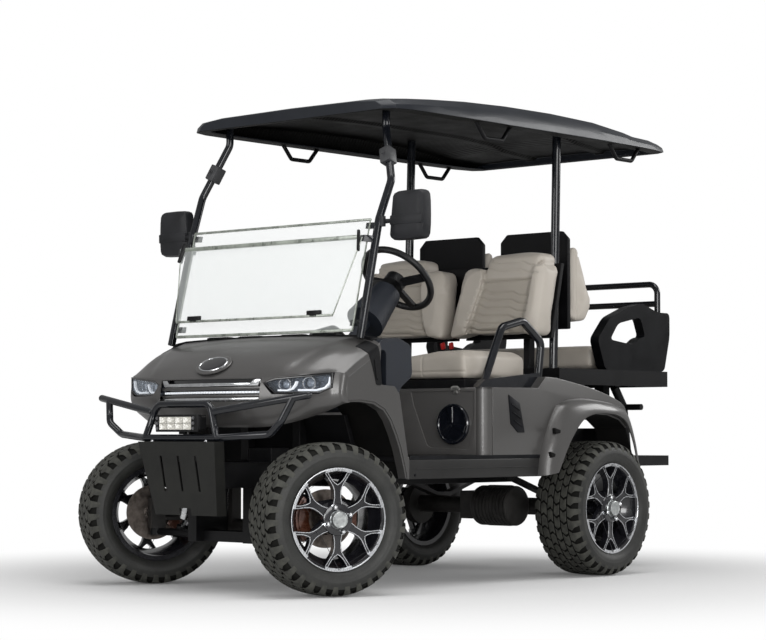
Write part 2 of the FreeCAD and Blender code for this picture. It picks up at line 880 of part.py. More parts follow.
def make_knuckle(side, word):
    """The knuckle is drawn about its kingpin, then turned with the wheel."""
    half = float(dims.knuckle_half_height)
    width = float(dims.knuckle_width)
    depth = float(dims.knuckle_depth)
    reach = float(dims.kingpin_offset)
    upright = Part.makeBox(depth, width, half * 2, Vector(-depth / 2, -width / 2, -half))
    stub = float(dims.hub_tube_back + dims.fit_gap)
    flange_end = reach - stub
    flange = Part.makeCylinder(float(dims.hub_tube_radius), flange_end, Vector(0, 0, 0), Vector(0, 1, 0))
    spindle = Part.makeCylinder(
        float(dims.spindle_radius), reach + float(dims.spindle_tip), Vector(0, 0, 0), Vector(0, 1, 0)
    )
    arm_low = float(dims.steering_arm_low - dims.tyre_radius)
    arm_length = float(dims.steering_arm_length)
    arm_width = float(dims.steering_arm_width)
    inset = float(dims.steering_arm_inset)
    thickness = float(dims.steering_arm_thickness)
    arm_points = [
        Vector(-depth / 2, -arm_width, arm_low),
        Vector(-depth / 2, arm_width / 2, arm_low),
        Vector(-arm_length, arm_width / 2 - inset, arm_low),
        Vector(-arm_length, -arm_width / 2 - inset, arm_low),
    ]
    arm = Part.Face(Part.makePolygon(arm_points + arm_points[:1])).extrude(Vector(0, 0, thickness))
    eye = Part.makeCylinder(arm_width / 2, thickness, Vector(-arm_length, -inset, arm_low))
    disc_y = reach - float(dims.brake_disc_back)
    disc_thickness = float(dims.brake_disc_thickness)
    gap = float(dims.fit_gap) * 2
    pad_wall = float(dims.moulded_wall) + gap
    disc_radius = float(dims.brake_disc_radius)
    caliper_low = disc_radius * CALIPER_INNER_SHARE
    caliper = Part.makeBox(
        disc_radius - caliper_low + pad_wall * 2,
        disc_thickness + pad_wall * 2,
        depth,
        Vector(-disc_radius - pad_wall, disc_y - pad_wall, -depth / 2),
    )
    slot = Part.makeCylinder(
        disc_radius + gap * 2, disc_thickness + gap * 2, Vector(0, disc_y - gap, 0), Vector(0, 1, 0)
    )
    bridge_y = disc_y - pad_wall * CALIPER_BACK_SHARE
    bridge = Part.makeBox(disc_radius, pad_wall * 2, depth, Vector(-disc_radius, bridge_y, -depth / 2))
    hub_room = Part.makeCylinder(
        float(dims.hub_tube_radius) + gap, reach, Vector(0, flange_end, 0), Vector(0, 1, 0)
    )
    shape = fused([upright, flange, spindle, arm, eye, caliper.cut(slot), bridge.cut(hub_room)])
    if side < 0:
        shape = shape.mirror(Vector(0, 0, 0), Vector(0, 1, 0))
    made = solid_part("knuckle_%s" % word, shape, placed=False)
    wheel_placement(made, front_axle, kingpin_y * side, rest_turn(side))
    return made


CALIPER_INNER_SHARE = 0.5

for side, word in ((1, "left"), (-1, "right")):
    make_knuckle(side, word)


# Front suspension: a drop cradle, two arms a side with their ball joints, and the spring seats.
def arm_pair(side, height, spread):
    """Two tubes from the cradle that meet at the ball joint."""
    tip = point(front_axle, kingpin_y * side, height)
    arms = []
    for way in (1, -1):
        inner = point(front_axle + spread * way, (dims.arm_inner_y - dims.arm_tube) * side, height)
        arms.append(tube([inner, tip], dims.arm_tube))
    return arms


def ball_joint(side, height, thickness):
    foot = point(front_axle, kingpin_y * side, height)
    return Part.makeCylinder(float(dims.kingpin_radius * 2), float(thickness), foot)


def block(low, high):
    """A rectangular block between two corners."""
    corner = point(*low)
    size = point(*high) - corner
    return Part.makeBox(size.x, size.y, size.z, corner)


def plate_x(z):
    """How far forward the skid plate's face stands at a height."""
    rise = (z - dims.plate_low_z) / (dims.plate_top_z - dims.plate_low_z)
    return plate_low_x + (dims.front_reach - plate_low_x) * rise


lower_joint_top = dims.tyre_radius - dims.knuckle_half_height - dims.running_gap
upper_joint_low = dims.tyre_radius + dims.knuckle_half_height + dims.running_gap
rail_low = dims.rail_top - dims.rail_height
rail_inner_y = dims.rail_mid_y - dims.rail_width / 2
rail_outer_y = dims.rail_mid_y + dims.rail_width / 2
outrigger_tip = dims.body_half_width - dims.rocker_thickness
rail_front_end = plate_x(rail_low) - dims.plate_thickness


COIL_RADIUS_SHARE = 1.5
COIL_START_SHARE = 0.12
COIL_END_SHARE = 0.8


def shock_ends(side):
    foot = point(front_axle, dims.shock_foot_y * side, lower_joint_top + dims.shock_seat)
    head = point(front_axle, dims.shock_head_y * side, dims.rail_top)
    return foot, head


CRADLE_DEPTH_SHARE = 3


def make_front_suspension():
    cradle_low = lower_joint_top - dims.arm_tube * CRADLE_DEPTH_SHARE
    pieces = []
    spread = dims.arm_spread
    for side in (1, -1):
        pieces += arm_pair(side, lower_joint_top - dims.arm_tube, spread)
        pieces += arm_pair(side, upper_joint_low + dims.arm_tube, spread)
        pieces.append(ball_joint(side, lower_joint_top - dims.arm_tube * 2, dims.arm_tube * 2))
        pieces.append(ball_joint(side, upper_joint_low, dims.arm_tube * 2))
        foot, head = shock_ends(side)
        along = (head - foot).normalize()
        seat_length = float(dims.shock_seat + dims.arm_tube)
        seat_radius = float(dims.shock_radius) * COIL_RADIUS_SHARE
        pieces.append(Part.makeCylinder(seat_radius, seat_length, foot - along * seat_length, along))
        low_y, high_y = sorted((dims.arm_inner_y * side, dims.cradle_inner_y * side), key=float)
        pieces.append(
            block(
                (front_axle - spread - dims.arm_tube * 2, low_y, cradle_low),
                (front_axle + spread + dims.arm_tube * 2, high_y, rail_low),
            )
        )
    pieces.append(
        block(
            (front_axle - dims.cross_width, -dims.cradle_inner_y, cradle_low),
            (front_axle + dims.cross_width, dims.cradle_inner_y, lower_joint_top),
        )
    )
    return solid_part("front_suspension", fused(pieces))


def make_front_shocks():
    """A damper inside its coil on each side, drawn as the coil's outer shape and two eyes."""
    shocks = []
    for side in (1, -1):
        foot, head = shock_ends(side)
        along = head - foot
        coil = along * COIL_START_SHARE
        coil_end = along * COIL_END_SHARE
        over = (head - foot).normalize() * float(dims.overrun)
        rod = tube([foot, head + over], dims.shock_radius / 2)
        spring = tube([foot + coil, foot + coil_end], dims.shock_radius * COIL_RADIUS_SHARE)
        shock = fused([rod, spring])
        tower = block(
            (front_axle - dims.cross_width, -dims.track, dims.rail_top),
            (front_axle + dims.cross_width, dims.track, dims.tower_top),
        )
        shocks.append(shock.cut(tower))
    return solid_part("front_shocks", Part.makeCompound(shocks))


make_front_suspension()
make_front_shocks()


# Steering rack: the bar and its two rods slide across the cart; the rods end under the steering arms.
def arm_eye(side):
    """Where the end of a steering arm stands at rest."""
    turn = math.radians(float(rest_turn(side)))
    x = -float(dims.steering_arm_length)
    y = -float(dims.steering_arm_inset) * side
    return Vector(
        float(front_axle) + x * math.cos(turn) - y * math.sin(turn),
        float(kingpin_y) * side + x * math.sin(turn) + y * math.cos(turn),
        float(rack_z),
    )


BALL_SHARE = 1.25
rack_z = dims.steering_arm_low - dims.tie_rod_gap - dims.tie_eye_height / 2
rack_x = front_axle - dims.steering_arm_length


def make_tie_rods():
    left = arm_eye(1)
    right = arm_eye(-1)
    shift = left.y + right.y
    bar_left = Vector(float(rack_x), float(dims.rack_half_length) + shift / 2, float(rack_z))
    bar_right = Vector(float(rack_x), -float(dims.rack_half_length) + shift / 2, float(rack_z))
    pieces = [
        tube([bar_right, bar_left], dims.rack_radius),
        tube([bar_left, left], dims.tie_rod_radius),
        tube([bar_right, right], dims.tie_rod_radius),
    ]
    for end in (bar_left, bar_right):
        pieces.append(Part.makeSphere(float(dims.rack_radius) * BALL_SHARE, end))
    for end in (left, right):
        foot = end - Vector(0, 0, float(dims.tie_eye_height) / 2)
        eye_radius = float(dims.steering_arm_width) / 2
        pieces.append(Part.makeCylinder(eye_radius, float(dims.tie_eye_height), foot))
    return solid_part("tie_rods", fused(pieces))


def make_rack_housing():
    """The tube that the bar slides in, held under the front rails by two feet."""
    start = point(rack_x, -dims.rack_housing_half_length, rack_z)
    length = float(dims.rack_housing_half_length * 2)
    outer = Part.makeCylinder(float(dims.rack_housing_radius), length, start, Vector(0, 1, 0))
    bore = Part.makeCylinder(float(dims.rack_radius + dims.running_gap), length, start, Vector(0, 1, 0))
    feet = []
    for side in (1, -1):
        middle = (dims.rack_housing_half_length - dims.rack_housing_radius) * side
        feet.append(
            block(
                (rack_x - dims.rack_housing_radius, middle - dims.rack_radius, rack_z),
                (rack_x + dims.rack_housing_radius, middle + dims.rack_radius, rail_low),
            )
        )
    return solid_part("steering_rack", fused([outer] + feet).cut(bore))


make_tie_rods()
make_rack_housing()


# Steering wheel and column: the wheel is drawn about its own axis, then tilted on the column.
def tilted(shape):
    """Stand a shape drawn about +Z on the steering column's axis."""
    shape.rotate(Vector(0, 0, 0), Vector(0, 1, 0), float(dims.wheel_tilt) - 90)
    shape.translate(point(dims.wheel_x, dims.wheel_y, dims.wheel_z))
    return Part.makeCompound([shape])


def make_steering_wheel():
    ring = Part.makeTorus(float(dims.wheel_rim_radius - dims.wheel_rim_tube), float(dims.wheel_rim_tube))
    drop = float(dims.wheel_hub_drop)
    hub = Part.makeCylinder(
        float(dims.wheel_hub_radius),
        float(dims.wheel_hub_thickness),
        Vector(0, 0, -drop - float(dims.wheel_hub_thickness) / 2),
    )
    pieces = [ring, hub]
    half = float(dims.wheel_spoke_width) / 2
    thickness = float(dims.wheel_spoke_thickness)
    start = float(dims.wheel_hub_radius) * SPOKE_ROOT_SHARE
    end = float(dims.wheel_rim_radius - dims.wheel_rim_tube)
    for angle in SPOKE_ANGLES:
        outline = [
            Vector(start, 0, -drop - thickness / 2),
            Vector(end, 0, -thickness / 2),
            Vector(end, 0, thickness / 2),
            Vector(start, 0, -drop + thickness / 2),
        ]
        spoke = Part.Face(Part.makePolygon(outline + outline[:1])).extrude(Vector(0, half * 2, 0))
        spoke.translate(Vector(0, -half, 0))
        spoke.rotate(Vector(0, 0, 0), Vector(0, 0, 1), angle)
        pieces.append(spoke)
    shaft = Part.makeCylinder(
        float(dims.column_radius) / 2,
        float(dims.column_shroud_start),
        Vector(0, 0, -drop - float(dims.column_shroud_start)),
    )
    pieces.append(shaft)
    return solid_part("steering_wheel", tilted(fused(pieces)))


SPOKE_ROOT_SHARE = 0.8
SPOKE_ANGLES = (90, 180, 270)


def make_steering_column():
    """The jacket runs down the wheel's axis into the dash, with a shroud round its top."""
    drop = float(dims.wheel_hub_drop)
    top = float(dims.column_shroud_start + dims.running_gap)
    jacket = Part.makeCylinder(
        float(dims.column_radius),
        float(dims.column_length) - top,
        Vector(0, 0, -drop - float(dims.column_length)),
    )
    shroud = Part.makeCone(
        float(dims.column_shroud_radius),
        float(dims.column_shroud_radius) * SHROUD_TOP_SHARE,
        float(dims.column_shroud_length),
        Vector(0, 0, -drop - top - float(dims.column_shroud_length)),
    )
    dash = doc.getObject("dashboard").Shape.copy()
    dash.translate(point(-origin_shift, ZERO, ZERO))
    column = tilted(fused([jacket, shroud])).cut(dash)
    return solid_part("steering_column", largest(column))


SHROUD_TOP_SHARE = 0.72

make_steering_wheel()


# Chassis frame, welded of box sections: two long rails that rise over the rear axle, two short rails
# ahead of them with the damper towers, and the members that cross them.
def make_frame_rails():
    rails = body("frame_rails")
    rear_low = dims.rail_rear_top - dims.rail_height
    outline = [
        (dims.rail_jog_front, rail_low),
        (dims.rail_jog_front, dims.rail_top),
        (dims.rail_kick_start, dims.rail_top),
        (dims.rail_kick_end, dims.rail_rear_top),
        (dims.rail_rear_end, dims.rail_rear_top),
        (dims.rail_rear_end, rear_low),
        (dims.rail_kick_end - dims.cross_width, rear_low),
        (dims.rail_kick_start - dims.cross_width, rail_low),
    ]
    rail = pad(rails, "XZ", rail_inner_y, rail_outer_y, outline)
    mirrored(rails, [rail])
    return rails


def make_front_rails():
    rails = body("front_rails")
    half = dims.rail_width / 2
    nose = box((dims.rail_jog_front, rail_low), (rail_front_end, dims.rail_top))
    rail = pad(rails, "XZ", dims.rail_front_y - half, dims.rail_front_y + half, nose)
    half_head = dims.cross_width
    head = box((front_axle - half_head, dims.rail_top), (front_axle + half_head, dims.tower_top))
    tower = pad(rails, "XZ", dims.rail_front_y - half, dims.shock_head_y + dims.shock_radius * 2, head)
    mirrored(rails, [rail, tower])
    return rails


def make_cross_members():
    """The wide member that joins the short rails to the long ones, and five plain ones behind it."""
    members = body("cross_members")
    wide = box((dims.rail_jog_rear, rail_low), (dims.rail_jog_front, dims.rail_top))
    pad(members, "XZ", -rail_inner_y, rail_inner_y, wide)
    for x, top in (
        (dims.rigger_mid_x, dims.rail_top),
        (dims.rigger_rear_x, dims.rail_top),
        (rear_axle + dims.cross_rear_offset, dims.rail_rear_top),
        (rear_axle - dims.cross_rear_offset, dims.rail_rear_top),
        (dims.rail_rear_end, dims.rail_rear_top),
    ):
        section = box((x, top - dims.cross_height), (x + dims.cross_width, top))
        pad(members, "XZ", -rail_inner_y, rail_inner_y, section)
    return members


def make_outriggers():
    """The stubs that carry the sills, and the hangers of the leaf springs."""
    stubs = body("outriggers")
    features = []
    half = dims.cross_width / 2
    for x in (dims.rigger_front_x, dims.rigger_mid_x, dims.rigger_rear_x):
        section = box((x - half, dims.rail_top - dims.cross_height), (x + half, dims.rail_top))
        features.append(pad(stubs, "XZ", rail_outer_y, outrigger_tip, section))
    thickness = dims.leaf_thickness
    for x, top in (
        (rear_axle + dims.leaf_half_length, dims.rail_top),
        (rear_axle - dims.leaf_half_length, dims.rail_rear_top),
    ):
        section = box((x - thickness, dims.leaf_eye_z + thickness), (x + thickness, top))
        features.append(pad(stubs, "XZ", rail_outer_y, dims.leaf_y + dims.leaf_width / 2, section))
    mirrored(stubs, features)
    return stubs


def make_bulkhead():
    """The hoop on the short rails that carries the dash and the cowl."""
    hoop = body("bulkhead")
    inner = dims.rail_front_y - dims.rail_width / 2
    rear = dims.bulkhead_x
    front = dims.bulkhead_x + dims.bulkhead_tube
    upright = box((rear, dims.rail_top), (front, dims.bulkhead_top))
    leg = pad(hoop, "XZ", inner, inner + dims.bulkhead_tube, upright)
    mirrored(hoop, [leg])
    beam = box((rear, dims.bulkhead_top - dims.bulkhead_tube), (front, dims.bulkhead_top))
    pad(hoop, "XZ", -bulkhead_half_width, bulkhead_half_width, beam)
    return hoop


def make_hitch():
    """The square receiver behind the last member, with a pin bore across it."""
    receiver = body("hitch_receiver")
    side = dims.hitch_side / 2
    middle_z = dims.rail_rear_top - dims.rail_height / 2
    rear = dims.rail_rear_end - dims.hitch_length
    bore_half = side - dims.hitch_wall
    pad(receiver, "YZ", rear, dims.rail_rear_end, box((-side, middle_z - side), (side, middle_z + side)))
    bore = box((-bore_half, middle_z - bore_half), (bore_half, middle_z + bore_half))
    pocket(receiver, "YZ", rear - dims.overrun, dims.rail_rear_end - dims.hitch_wall, bore)
    pin = ("circle", (rear + dims.hitch_pin_inset, middle_z), dims.hitch_pin_radius)
    pocket(receiver, "XZ", -side - dims.overrun, side + dims.overrun, pin)
    return receiver


make_frame_rails()
make_front_rails()
make_cross_members()
make_outriggers()
make_bulkhead()
make_hitch()


# Rear axle, its springs and the motor.
axle_end = dims.track / 2 - dims.hub_tube_back - dims.fit_gap


NECK_HEIGHT_SHARE = 0.7


def make_rear_axle():
    centre = point(rear_axle, ZERO, dims.tyre_radius)
    across = Vector(0, 1, 0)
    half = float(axle_end)
    tip = float(dims.track / 2 + dims.spindle_tip)
    casing = Part.makeCylinder(float(dims.axle_tube_radius), half * 2, centre - across * half, across)
    shaft = Part.makeCylinder(float(dims.spindle_radius), tip * 2, centre - across * tip, across)
    case_foot = centre + across * float(dims.motor_y - dims.diff_width / 2)
    case = Part.makeCylinder(float(dims.diff_radius), float(dims.diff_width), case_foot, across)
    drums = []
    width = float(dims.drum_width)
    for side in (1, -1):
        foot = centre + across * (half * side - (width if side > 0 else 0))
        drums.append(Part.makeCylinder(float(dims.diff_radius), width, foot, across))
    neck_half = dims.motor_radius * NECK_HEIGHT_SHARE
    neck = block(
        (rear_axle, dims.motor_y - dims.diff_width / 2, dims.motor_z - neck_half),
        (dims.motor_x, dims.motor_y + dims.diff_width / 2, dims.motor_z + neck_half),
    )
    return solid_part("rear_axle", fused([casing, shaft, case, neck] + drums))


def make_motor():
    """The traction motor is one plain can beside the gear case, with its axis across the cart."""
    foot = point(dims.motor_x, dims.motor_y + dims.diff_width / 2, dims.motor_z)
    can = Part.makeCylinder(float(dims.motor_radius), float(dims.motor_length), foot, Vector(0, 1, 0))
    return solid_part("drive_motor", can)


def make_rear_springs():
    """A leaf pack a side, clamped on top of the axle, with its ends in the frame's hangers."""
    thickness = dims.leaf_thickness
    seat = dims.tyre_radius + dims.axle_tube_radius
    eye = dims.leaf_eye_z
    reach = dims.leaf_half_length
    flat = dims.leaf_width
    outline = [
        (rear_axle - reach, eye),
        (rear_axle - flat, seat),
        (rear_axle + flat, seat),
        (rear_axle + reach, eye),
        (rear_axle + reach, eye + thickness),
        (rear_axle + flat, seat + thickness),
        (rear_axle - flat, seat + thickness),
        (rear_axle - reach, eye + thickness),
    ]
    springs = body("rear_springs")
    half = dims.leaf_width / 2
    leaf = pad(springs, "XZ", dims.leaf_y - half, dims.leaf_y + half, outline)
    mirrored(springs, [leaf])
    return springs


make_rear_axle()
make_motor()
make_rear_springs()


# Seat hinges: barrels on the fixed side and on the lid, side by side on one axis.
def hinge_barrels(owner, axis_x, axis_z, foot_z):
    """The fixed barrels of a seat lid, on a foot that stands on the base."""
    r = dims.hinge_radius
    end = dims.hinge_start + dims.hinge_length
    barrel = pad(owner, "XZ", dims.hinge_start, end, ("circle", (axis_x, axis_z), r))
    foot = pad(owner, "XZ", dims.hinge_start, end, box((axis_x - r, foot_z), (axis_x + r / 2, axis_z)))
    mirrored(owner, [barrel, foot])


def lid_barrels(owner, axis_x, axis_z, edge_x):
    """The lid's barrels, each on a tab from the lid's edge."""
    r = dims.hinge_radius
    start = dims.hinge_start + dims.hinge_length + dims.running_gap
    end = start + dims.hinge_length
    barrel = pad(owner, "XZ", start, end, ("circle", (axis_x, axis_z), r))
    low_x, high_x = sorted((axis_x, edge_x), key=float)
    tab = pad(owner, "XZ", start, end, box((low_x, axis_z - r / 2), (high_x, axis_z + r / 2)))
    mirrored(owner, [barrel, tab])


# Floor, seat box, battery and front seat base.
def make_floor():
    floor = body("floor_pan")
    top = dims.rail_top + dims.floor_thickness
    outline = [
        (dims.kick_x, dims.rail_top),
        (dims.floor_front, dims.rail_top),
        (dims.toe_front, dims.toe_top),
        (dims.toe_front - dims.floor_thickness, dims.toe_top),
        (dims.floor_front - dims.floor_thickness, top),
        (dims.kick_x, top),
    ]
    pad(floor, "XZ", -box_half_width, box_half_width, outline)
    leg = dims.bulkhead_tube / 2 + dims.fit_gap
    middle = dims.rail_front_y - dims.rail_width / 2 + dims.bulkhead_tube / 2
    notch = box(
        (dims.bulkhead_x - dims.fit_gap, middle - leg),
        (dims.bulkhead_x + dims.bulkhead_tube + dims.fit_gap, middle + leg),
    )
    cut = pocket(floor, "XY", dims.rail_top - dims.overrun, dims.toe_top + dims.overrun, notch)
    well = box(
        (dims.toe_notch_x, dims.toe_half_width),
        (dims.toe_front + dims.overrun, box_half_width + dims.overrun),
    )
    well_cut = pocket(floor, "XY", dims.rail_top - dims.overrun, dims.toe_top + dims.overrun, well)
    mirrored(floor, [cut, well_cut])
    return floor


SPEAKER_SUNK_SHARE = 0.34


def make_seat_box():
    """The kick panel and the walls under the front bench, open below round the battery."""
    seat_box = body("seat_box")
    half = box_half_width
    pad(seat_box, "XY", dims.rail_top, dims.box_top, box((dims.box_rear, -half), (dims.kick_x, half)))
    wall = dims.box_wall
    pocket(
        seat_box,
        "XY",
        dims.rail_top - dims.overrun,
        dims.box_top - wall,
        box((dims.box_rear + wall, wall - half), (dims.kick_x - wall, half - wall)),
    )
    for side in (1, -1):
        pocket(
            seat_box,
            "YZ",
            dims.kick_x - dims.speaker_depth * SPEAKER_SUNK_SHARE,
            dims.kick_x + dims.overrun,
            ("circle", (speaker_y * side, dims.speaker_z), dims.speaker_radius),
        )
    return seat_box


def make_speakers():
    speakers = body("speakers")
    for side in (1, -1):
        centre = (speaker_y * side, dims.speaker_z)
        back = dims.kick_x - dims.speaker_depth * SPEAKER_SUNK_SHARE
        front = back + dims.speaker_depth
        pad(speakers, "YZ", back, front, ("circle", centre, dims.speaker_radius - dims.fit_gap))
    return speakers


front_hinge_x = dims.cushion_rear - dims.hinge_gap
rear_hinge_x = dims.rear_cushion_front + dims.hinge_gap


def make_seat_ledge():
    """The black base under the front cushion, with a shallow lip."""
    ledge = body("seat_base")
    half = ledge_half_width
    pad(
        ledge,
        "XY",
        dims.box_top,
        dims.seat_ledge_top,
        box((dims.seat_ledge_rear, -half), (dims.seat_ledge_front, half)),
    )
    wall = dims.box_wall
    pocket(
        ledge,
        "XY",
        dims.box_top + wall,
        dims.seat_ledge_top + dims.overrun,
        box((dims.seat_ledge_rear + wall, wall - half), (dims.seat_ledge_front - wall, half - wall)),
    )
    hinge_barrels(ledge, front_hinge_x, dims.seat_ledge_top + dims.hinge_rise, dims.seat_ledge_top)
    return ledge


def make_battery():
    pack = doc.addObject("Part::Box", "battery_pack")
    pack.setExpression("Length", dims.battery_length.formula)
    pack.setExpression("Width", dims.battery_width.formula)
    pack.setExpression("Height", dims.battery_height.formula)
    middle = (dims.box_rear + dims.kick_x) / 2
    pack.setExpression("Placement.Base.x", (origin_shift + middle - dims.battery_length / 2).formula)
    pack.setExpression("Placement.Base.y", (dims.battery_width / -2).formula)
    pack.setExpression("Placement.Base.z", dims.rail_top.formula)
    return label(pack, "battery_pack")


make_floor()
make_seat_box()
make_speakers()
make_seat_ledge()
make_battery()


# Side bodies: the painted wall beside the seat box, which runs on as the rear fender with its flare.
# Shares run from the kick panel to the fender's tail, and from the sill to the fender's top.
WALL_TOP_SHARES = (0, 0.362)
FENDER_TOP_SHARES = ((0.414, 1), (0.56, 0.958), (0.8, 0.831), (0.956, 0.698), (1, 0.574))
ARCH_SHARES = (
    (0.465, 0),
    (0.509, 0.17),
    (0.591, 0.426),
    (0.66, 0.512),
    (0.86, 0.512),
    (0.94, 0.46),
    (0.999, 0.36),
)
FLARE_OUTER_SHARES = (
    (0.352, -0.26),
    (0.381, 0.12),
    (0.456, 0.535),
    (0.51, 0.67),
    (0.647, 0.713),
    (0.872, 0.644),
)
FLARE_INNER_SHARES = ((0.43, -0.22), (0.509, 0.17), (0.591, 0.426), (0.66, 0.512), (0.86, 0.512))
TAIL_OUTER_SHARES = ((0.872, 0.644), (0.957, 0.644), (1.015, 0.492), (1.089, -0.115))
TAIL_INNER_SHARES = ((0.86, 0.512), (0.94, 0.46), (0.999, 0.36), (1.066, -0.115))


def on_side(shares):
    """Places on the side body from shares of its length and of its height above the sill."""
    span = dims.fender_tail_x - dims.kick_x
    rise = dims.fender_top - dims.sill_top
    return [(dims.kick_x + span * along, dims.sill_top + rise * up) for along, up in shares]


def strip(points, drop, lean=0):
    """A band that follows the points, with its lower edge moved down and along."""
    lower = [(x + lean, z - drop) for x, z in points]
    return points + lower[::-1]


def pad_side(owner, side, inner, outer, outline):
    low, high = (inner, outer) if side > 0 else (-outer, -inner)
    return pad(owner, "XZ", low, high, outline)


def make_side_body(side, word):
    skin = body("side_body_%s" % word)
    wall = dims.side_wall
    level = [(x, dims.box_top) for x, z in on_side([(share, 0) for share in WALL_TOP_SHARES])]
    crest = level + on_side(FENDER_TOP_SHARES)
    arch = on_side(ARCH_SHARES)
    foot = [(dims.kick_x, dims.sill_top)]
    pad_side(skin, side, dims.body_half_width - wall, dims.body_half_width, foot + crest + arch[::-1])
    pad_side(skin, side, box_half_width, dims.body_half_width, strip(crest[:4], wall))
    pad_side(skin, side, side_inner_y, dims.body_half_width, strip(crest[3:], wall))
    front = box((dims.kick_x - wall, dims.sill_top), (dims.kick_x, dims.box_top))
    pad_side(skin, side, box_half_width, dims.body_half_width, front)
    pad_side(skin, side, box_half_width, dims.body_half_width, strip(arch[1:-1], -dims.liner_wall))
    pad_side(skin, side, liner_inner_y, dims.body_half_width, strip(arch[2:-1], -dims.liner_wall))
    flare = on_side(FLARE_OUTER_SHARES) + on_side(FLARE_INNER_SHARES)[::-1]
    pad_side(skin, side, dims.body_half_width, flare_reach, flare)
    lip = on_side(TAIL_OUTER_SHARES) + on_side(TAIL_INNER_SHARES)[::-1]
    pad_side(skin, side, dims.body_half_width - wall, dims.body_half_width + wall, lip)
    return skin


for side, word in ((1, "left"), (-1, "right")):
    make_side_body(side, word)


# Rocker panels: the darker sills between the wheel arches.
def make_rockers():
    rockers = body("rocker_panels")
    outline = box((dims.rocker_rear, dims.rocker_bottom), (dims.rocker_front, dims.sill_top))
    sill = pad(rockers, "XZ", outrigger_tip, dims.body_half_width, outline)
    mirrored(rockers, [sill])
    return rockers


make_rockers()


# Front cowl: one moulding with the hood, the nose and both fenders, open below and behind.
# Shares run back from the nose's reach to the cowl's rear edge, and up from the fascia's lower
# edge to the cowl's top, at each of the stations across the cart.
COWL_STATION_SHARES = (0, 0.48, 0.8, 0.933, 1)
COWL_OUTLINE_SHARES = (
    ((1.0, 1.0), (0.53, 0.887), (0.19, 0.708), (0.05, 0.518), (0, 0.286), (0.045, 0)),
    ((1.0, 0.994), (0.54, 0.868), (0.255, 0.69), (0.13, 0.507), (0.05, 0.286), (0.1, 0)),
    ((1.0, 0.972), (0.58, 0.826), (0.385, 0.661), (0.254, 0.551), (0.157, 0.317), (0.2, 0.165)),
    ((1.0, 0.94), (0.634, 0.758), (0.49, 0.628), (0.385, 0.584), (0.254, 0.358), (0.28, 0.267)),
    ((1.0, 0.885), (0.738, 0.716), (0.581, 0.628), (0.49, 0.565), (0.372, 0.344), (0.385, 0.267)),
)


def cowl_point(back, up):
    return (
        dims.nose_reach - (dims.nose_reach - dims.cowl_rear) * back,
        dims.fascia_low + (dims.cowl_top - dims.fascia_low) * up,
    )


SKIN_BACK_SHARE = 0.5
SKIN_DOWN_SHARE = 0.3


def cowl_section(shares, inset):
    """The closed section of the cowl at one station, or the space inside it when drawn in."""
    points = [cowl_point(back, up) for back, up in shares]
    low_z = points[-1][1]
    if inset is None:
        return [(points[0][0], low_z)] + points
    rear = points[0][0] - dims.overrun
    inner = [(rear, points[0][1] - inset)]
    inner += [(x - inset * SKIN_BACK_SHARE, z - inset) for x, z in points[1:3]]
    inner += [(x - inset, z - inset * SKIN_DOWN_SHARE) for x, z in points[3:5]]
    inner.append((points[-1][0] - inset, low_z - dims.overrun))
    return [(rear, low_z - dims.overrun)] + inner


def make_front_cowl():
    cowl = body("front_cowl")
    wall = dims.moulded_wall
    outer = []
    inner = []
    for share, shares in zip(COWL_STATION_SHARES, COWL_OUTLINE_SHARES):
        y = dims.body_half_width * share
        outer.append((y, cowl_section(shares, None)))
        inner_y = y if share < 1 else y - wall
        inner.append((inner_y, cowl_section(shares, wall)))
    for stations, kind in ((outer, "Additive"), (inner, "Subtractive")):
        both = [(-y, outline) for y, outline in stations[:0:-1]] + stations
        loft(cowl, kind, "XZ", both)
    leg = [
        (dims.cowl_rear + dims.fit_gap, dims.leg_top_z),
        (dims.leg_rear_top_x, dims.leg_top_z),
        (dims.leg_rear_mid_x, dims.leg_mid_z),
        (dims.leg_rear_low_x, dims.sill_top),
        (dims.rocker_front, dims.sill_top),
        (dims.rocker_front, dims.rocker_bottom),
        (dims.arch_low_x, dims.rocker_bottom),
        (dims.arch_mid_x, dims.arch_mid_z),
        (dims.arch_top_x, dims.arch_lip_rear_z),
        (dims.cowl_rear + dims.fit_gap, dims.arch_lip_rear_z),
    ]
    side_leg = pad(cowl, "XZ", dims.body_half_width - wall, dims.body_half_width, leg)
    mirrored(cowl, [side_leg])
    lamp = lamp_face(dims.running_gap)
    for side in (1, -1):
        opening = [(y * side, z) for y, z in lamp]
        pocket(cowl, "YZ", lamp_back_x - dims.overrun, dims.nose_reach + dims.overrun, opening)
    grille = grille_face(dims.running_gap)
    pocket(cowl, "YZ", lamp_back_x, dims.nose_reach + dims.overrun, grille)
    return cowl


def lamp_face(grow):
    """The headlight seen from the front: a wedge with a pointed inner end."""
    return [
        (dims.lamp_inner_y - grow, dims.lamp_mid_z),
        (dims.lamp_inner_y + dims.lamp_point, dims.lamp_low_z - grow),
        (dims.lamp_outer_y - dims.lamp_point, dims.lamp_low_z - grow),
        (dims.lamp_outer_y + grow, dims.lamp_outer_z),
        (dims.lamp_outer_y + grow, dims.lamp_high_z + grow),
        (dims.lamp_inner_y + dims.lamp_point, dims.lamp_top_z + grow),
    ]


def grille_face(grow):
    half = dims.lamp_inner_y - dims.grille_side_gap + grow
    return [
        (-half, dims.grille_low_z - grow),
        (half, dims.grille_low_z - grow),
        (half, dims.grille_top_z + grow),
        (-half, dims.grille_top_z + grow),
    ]


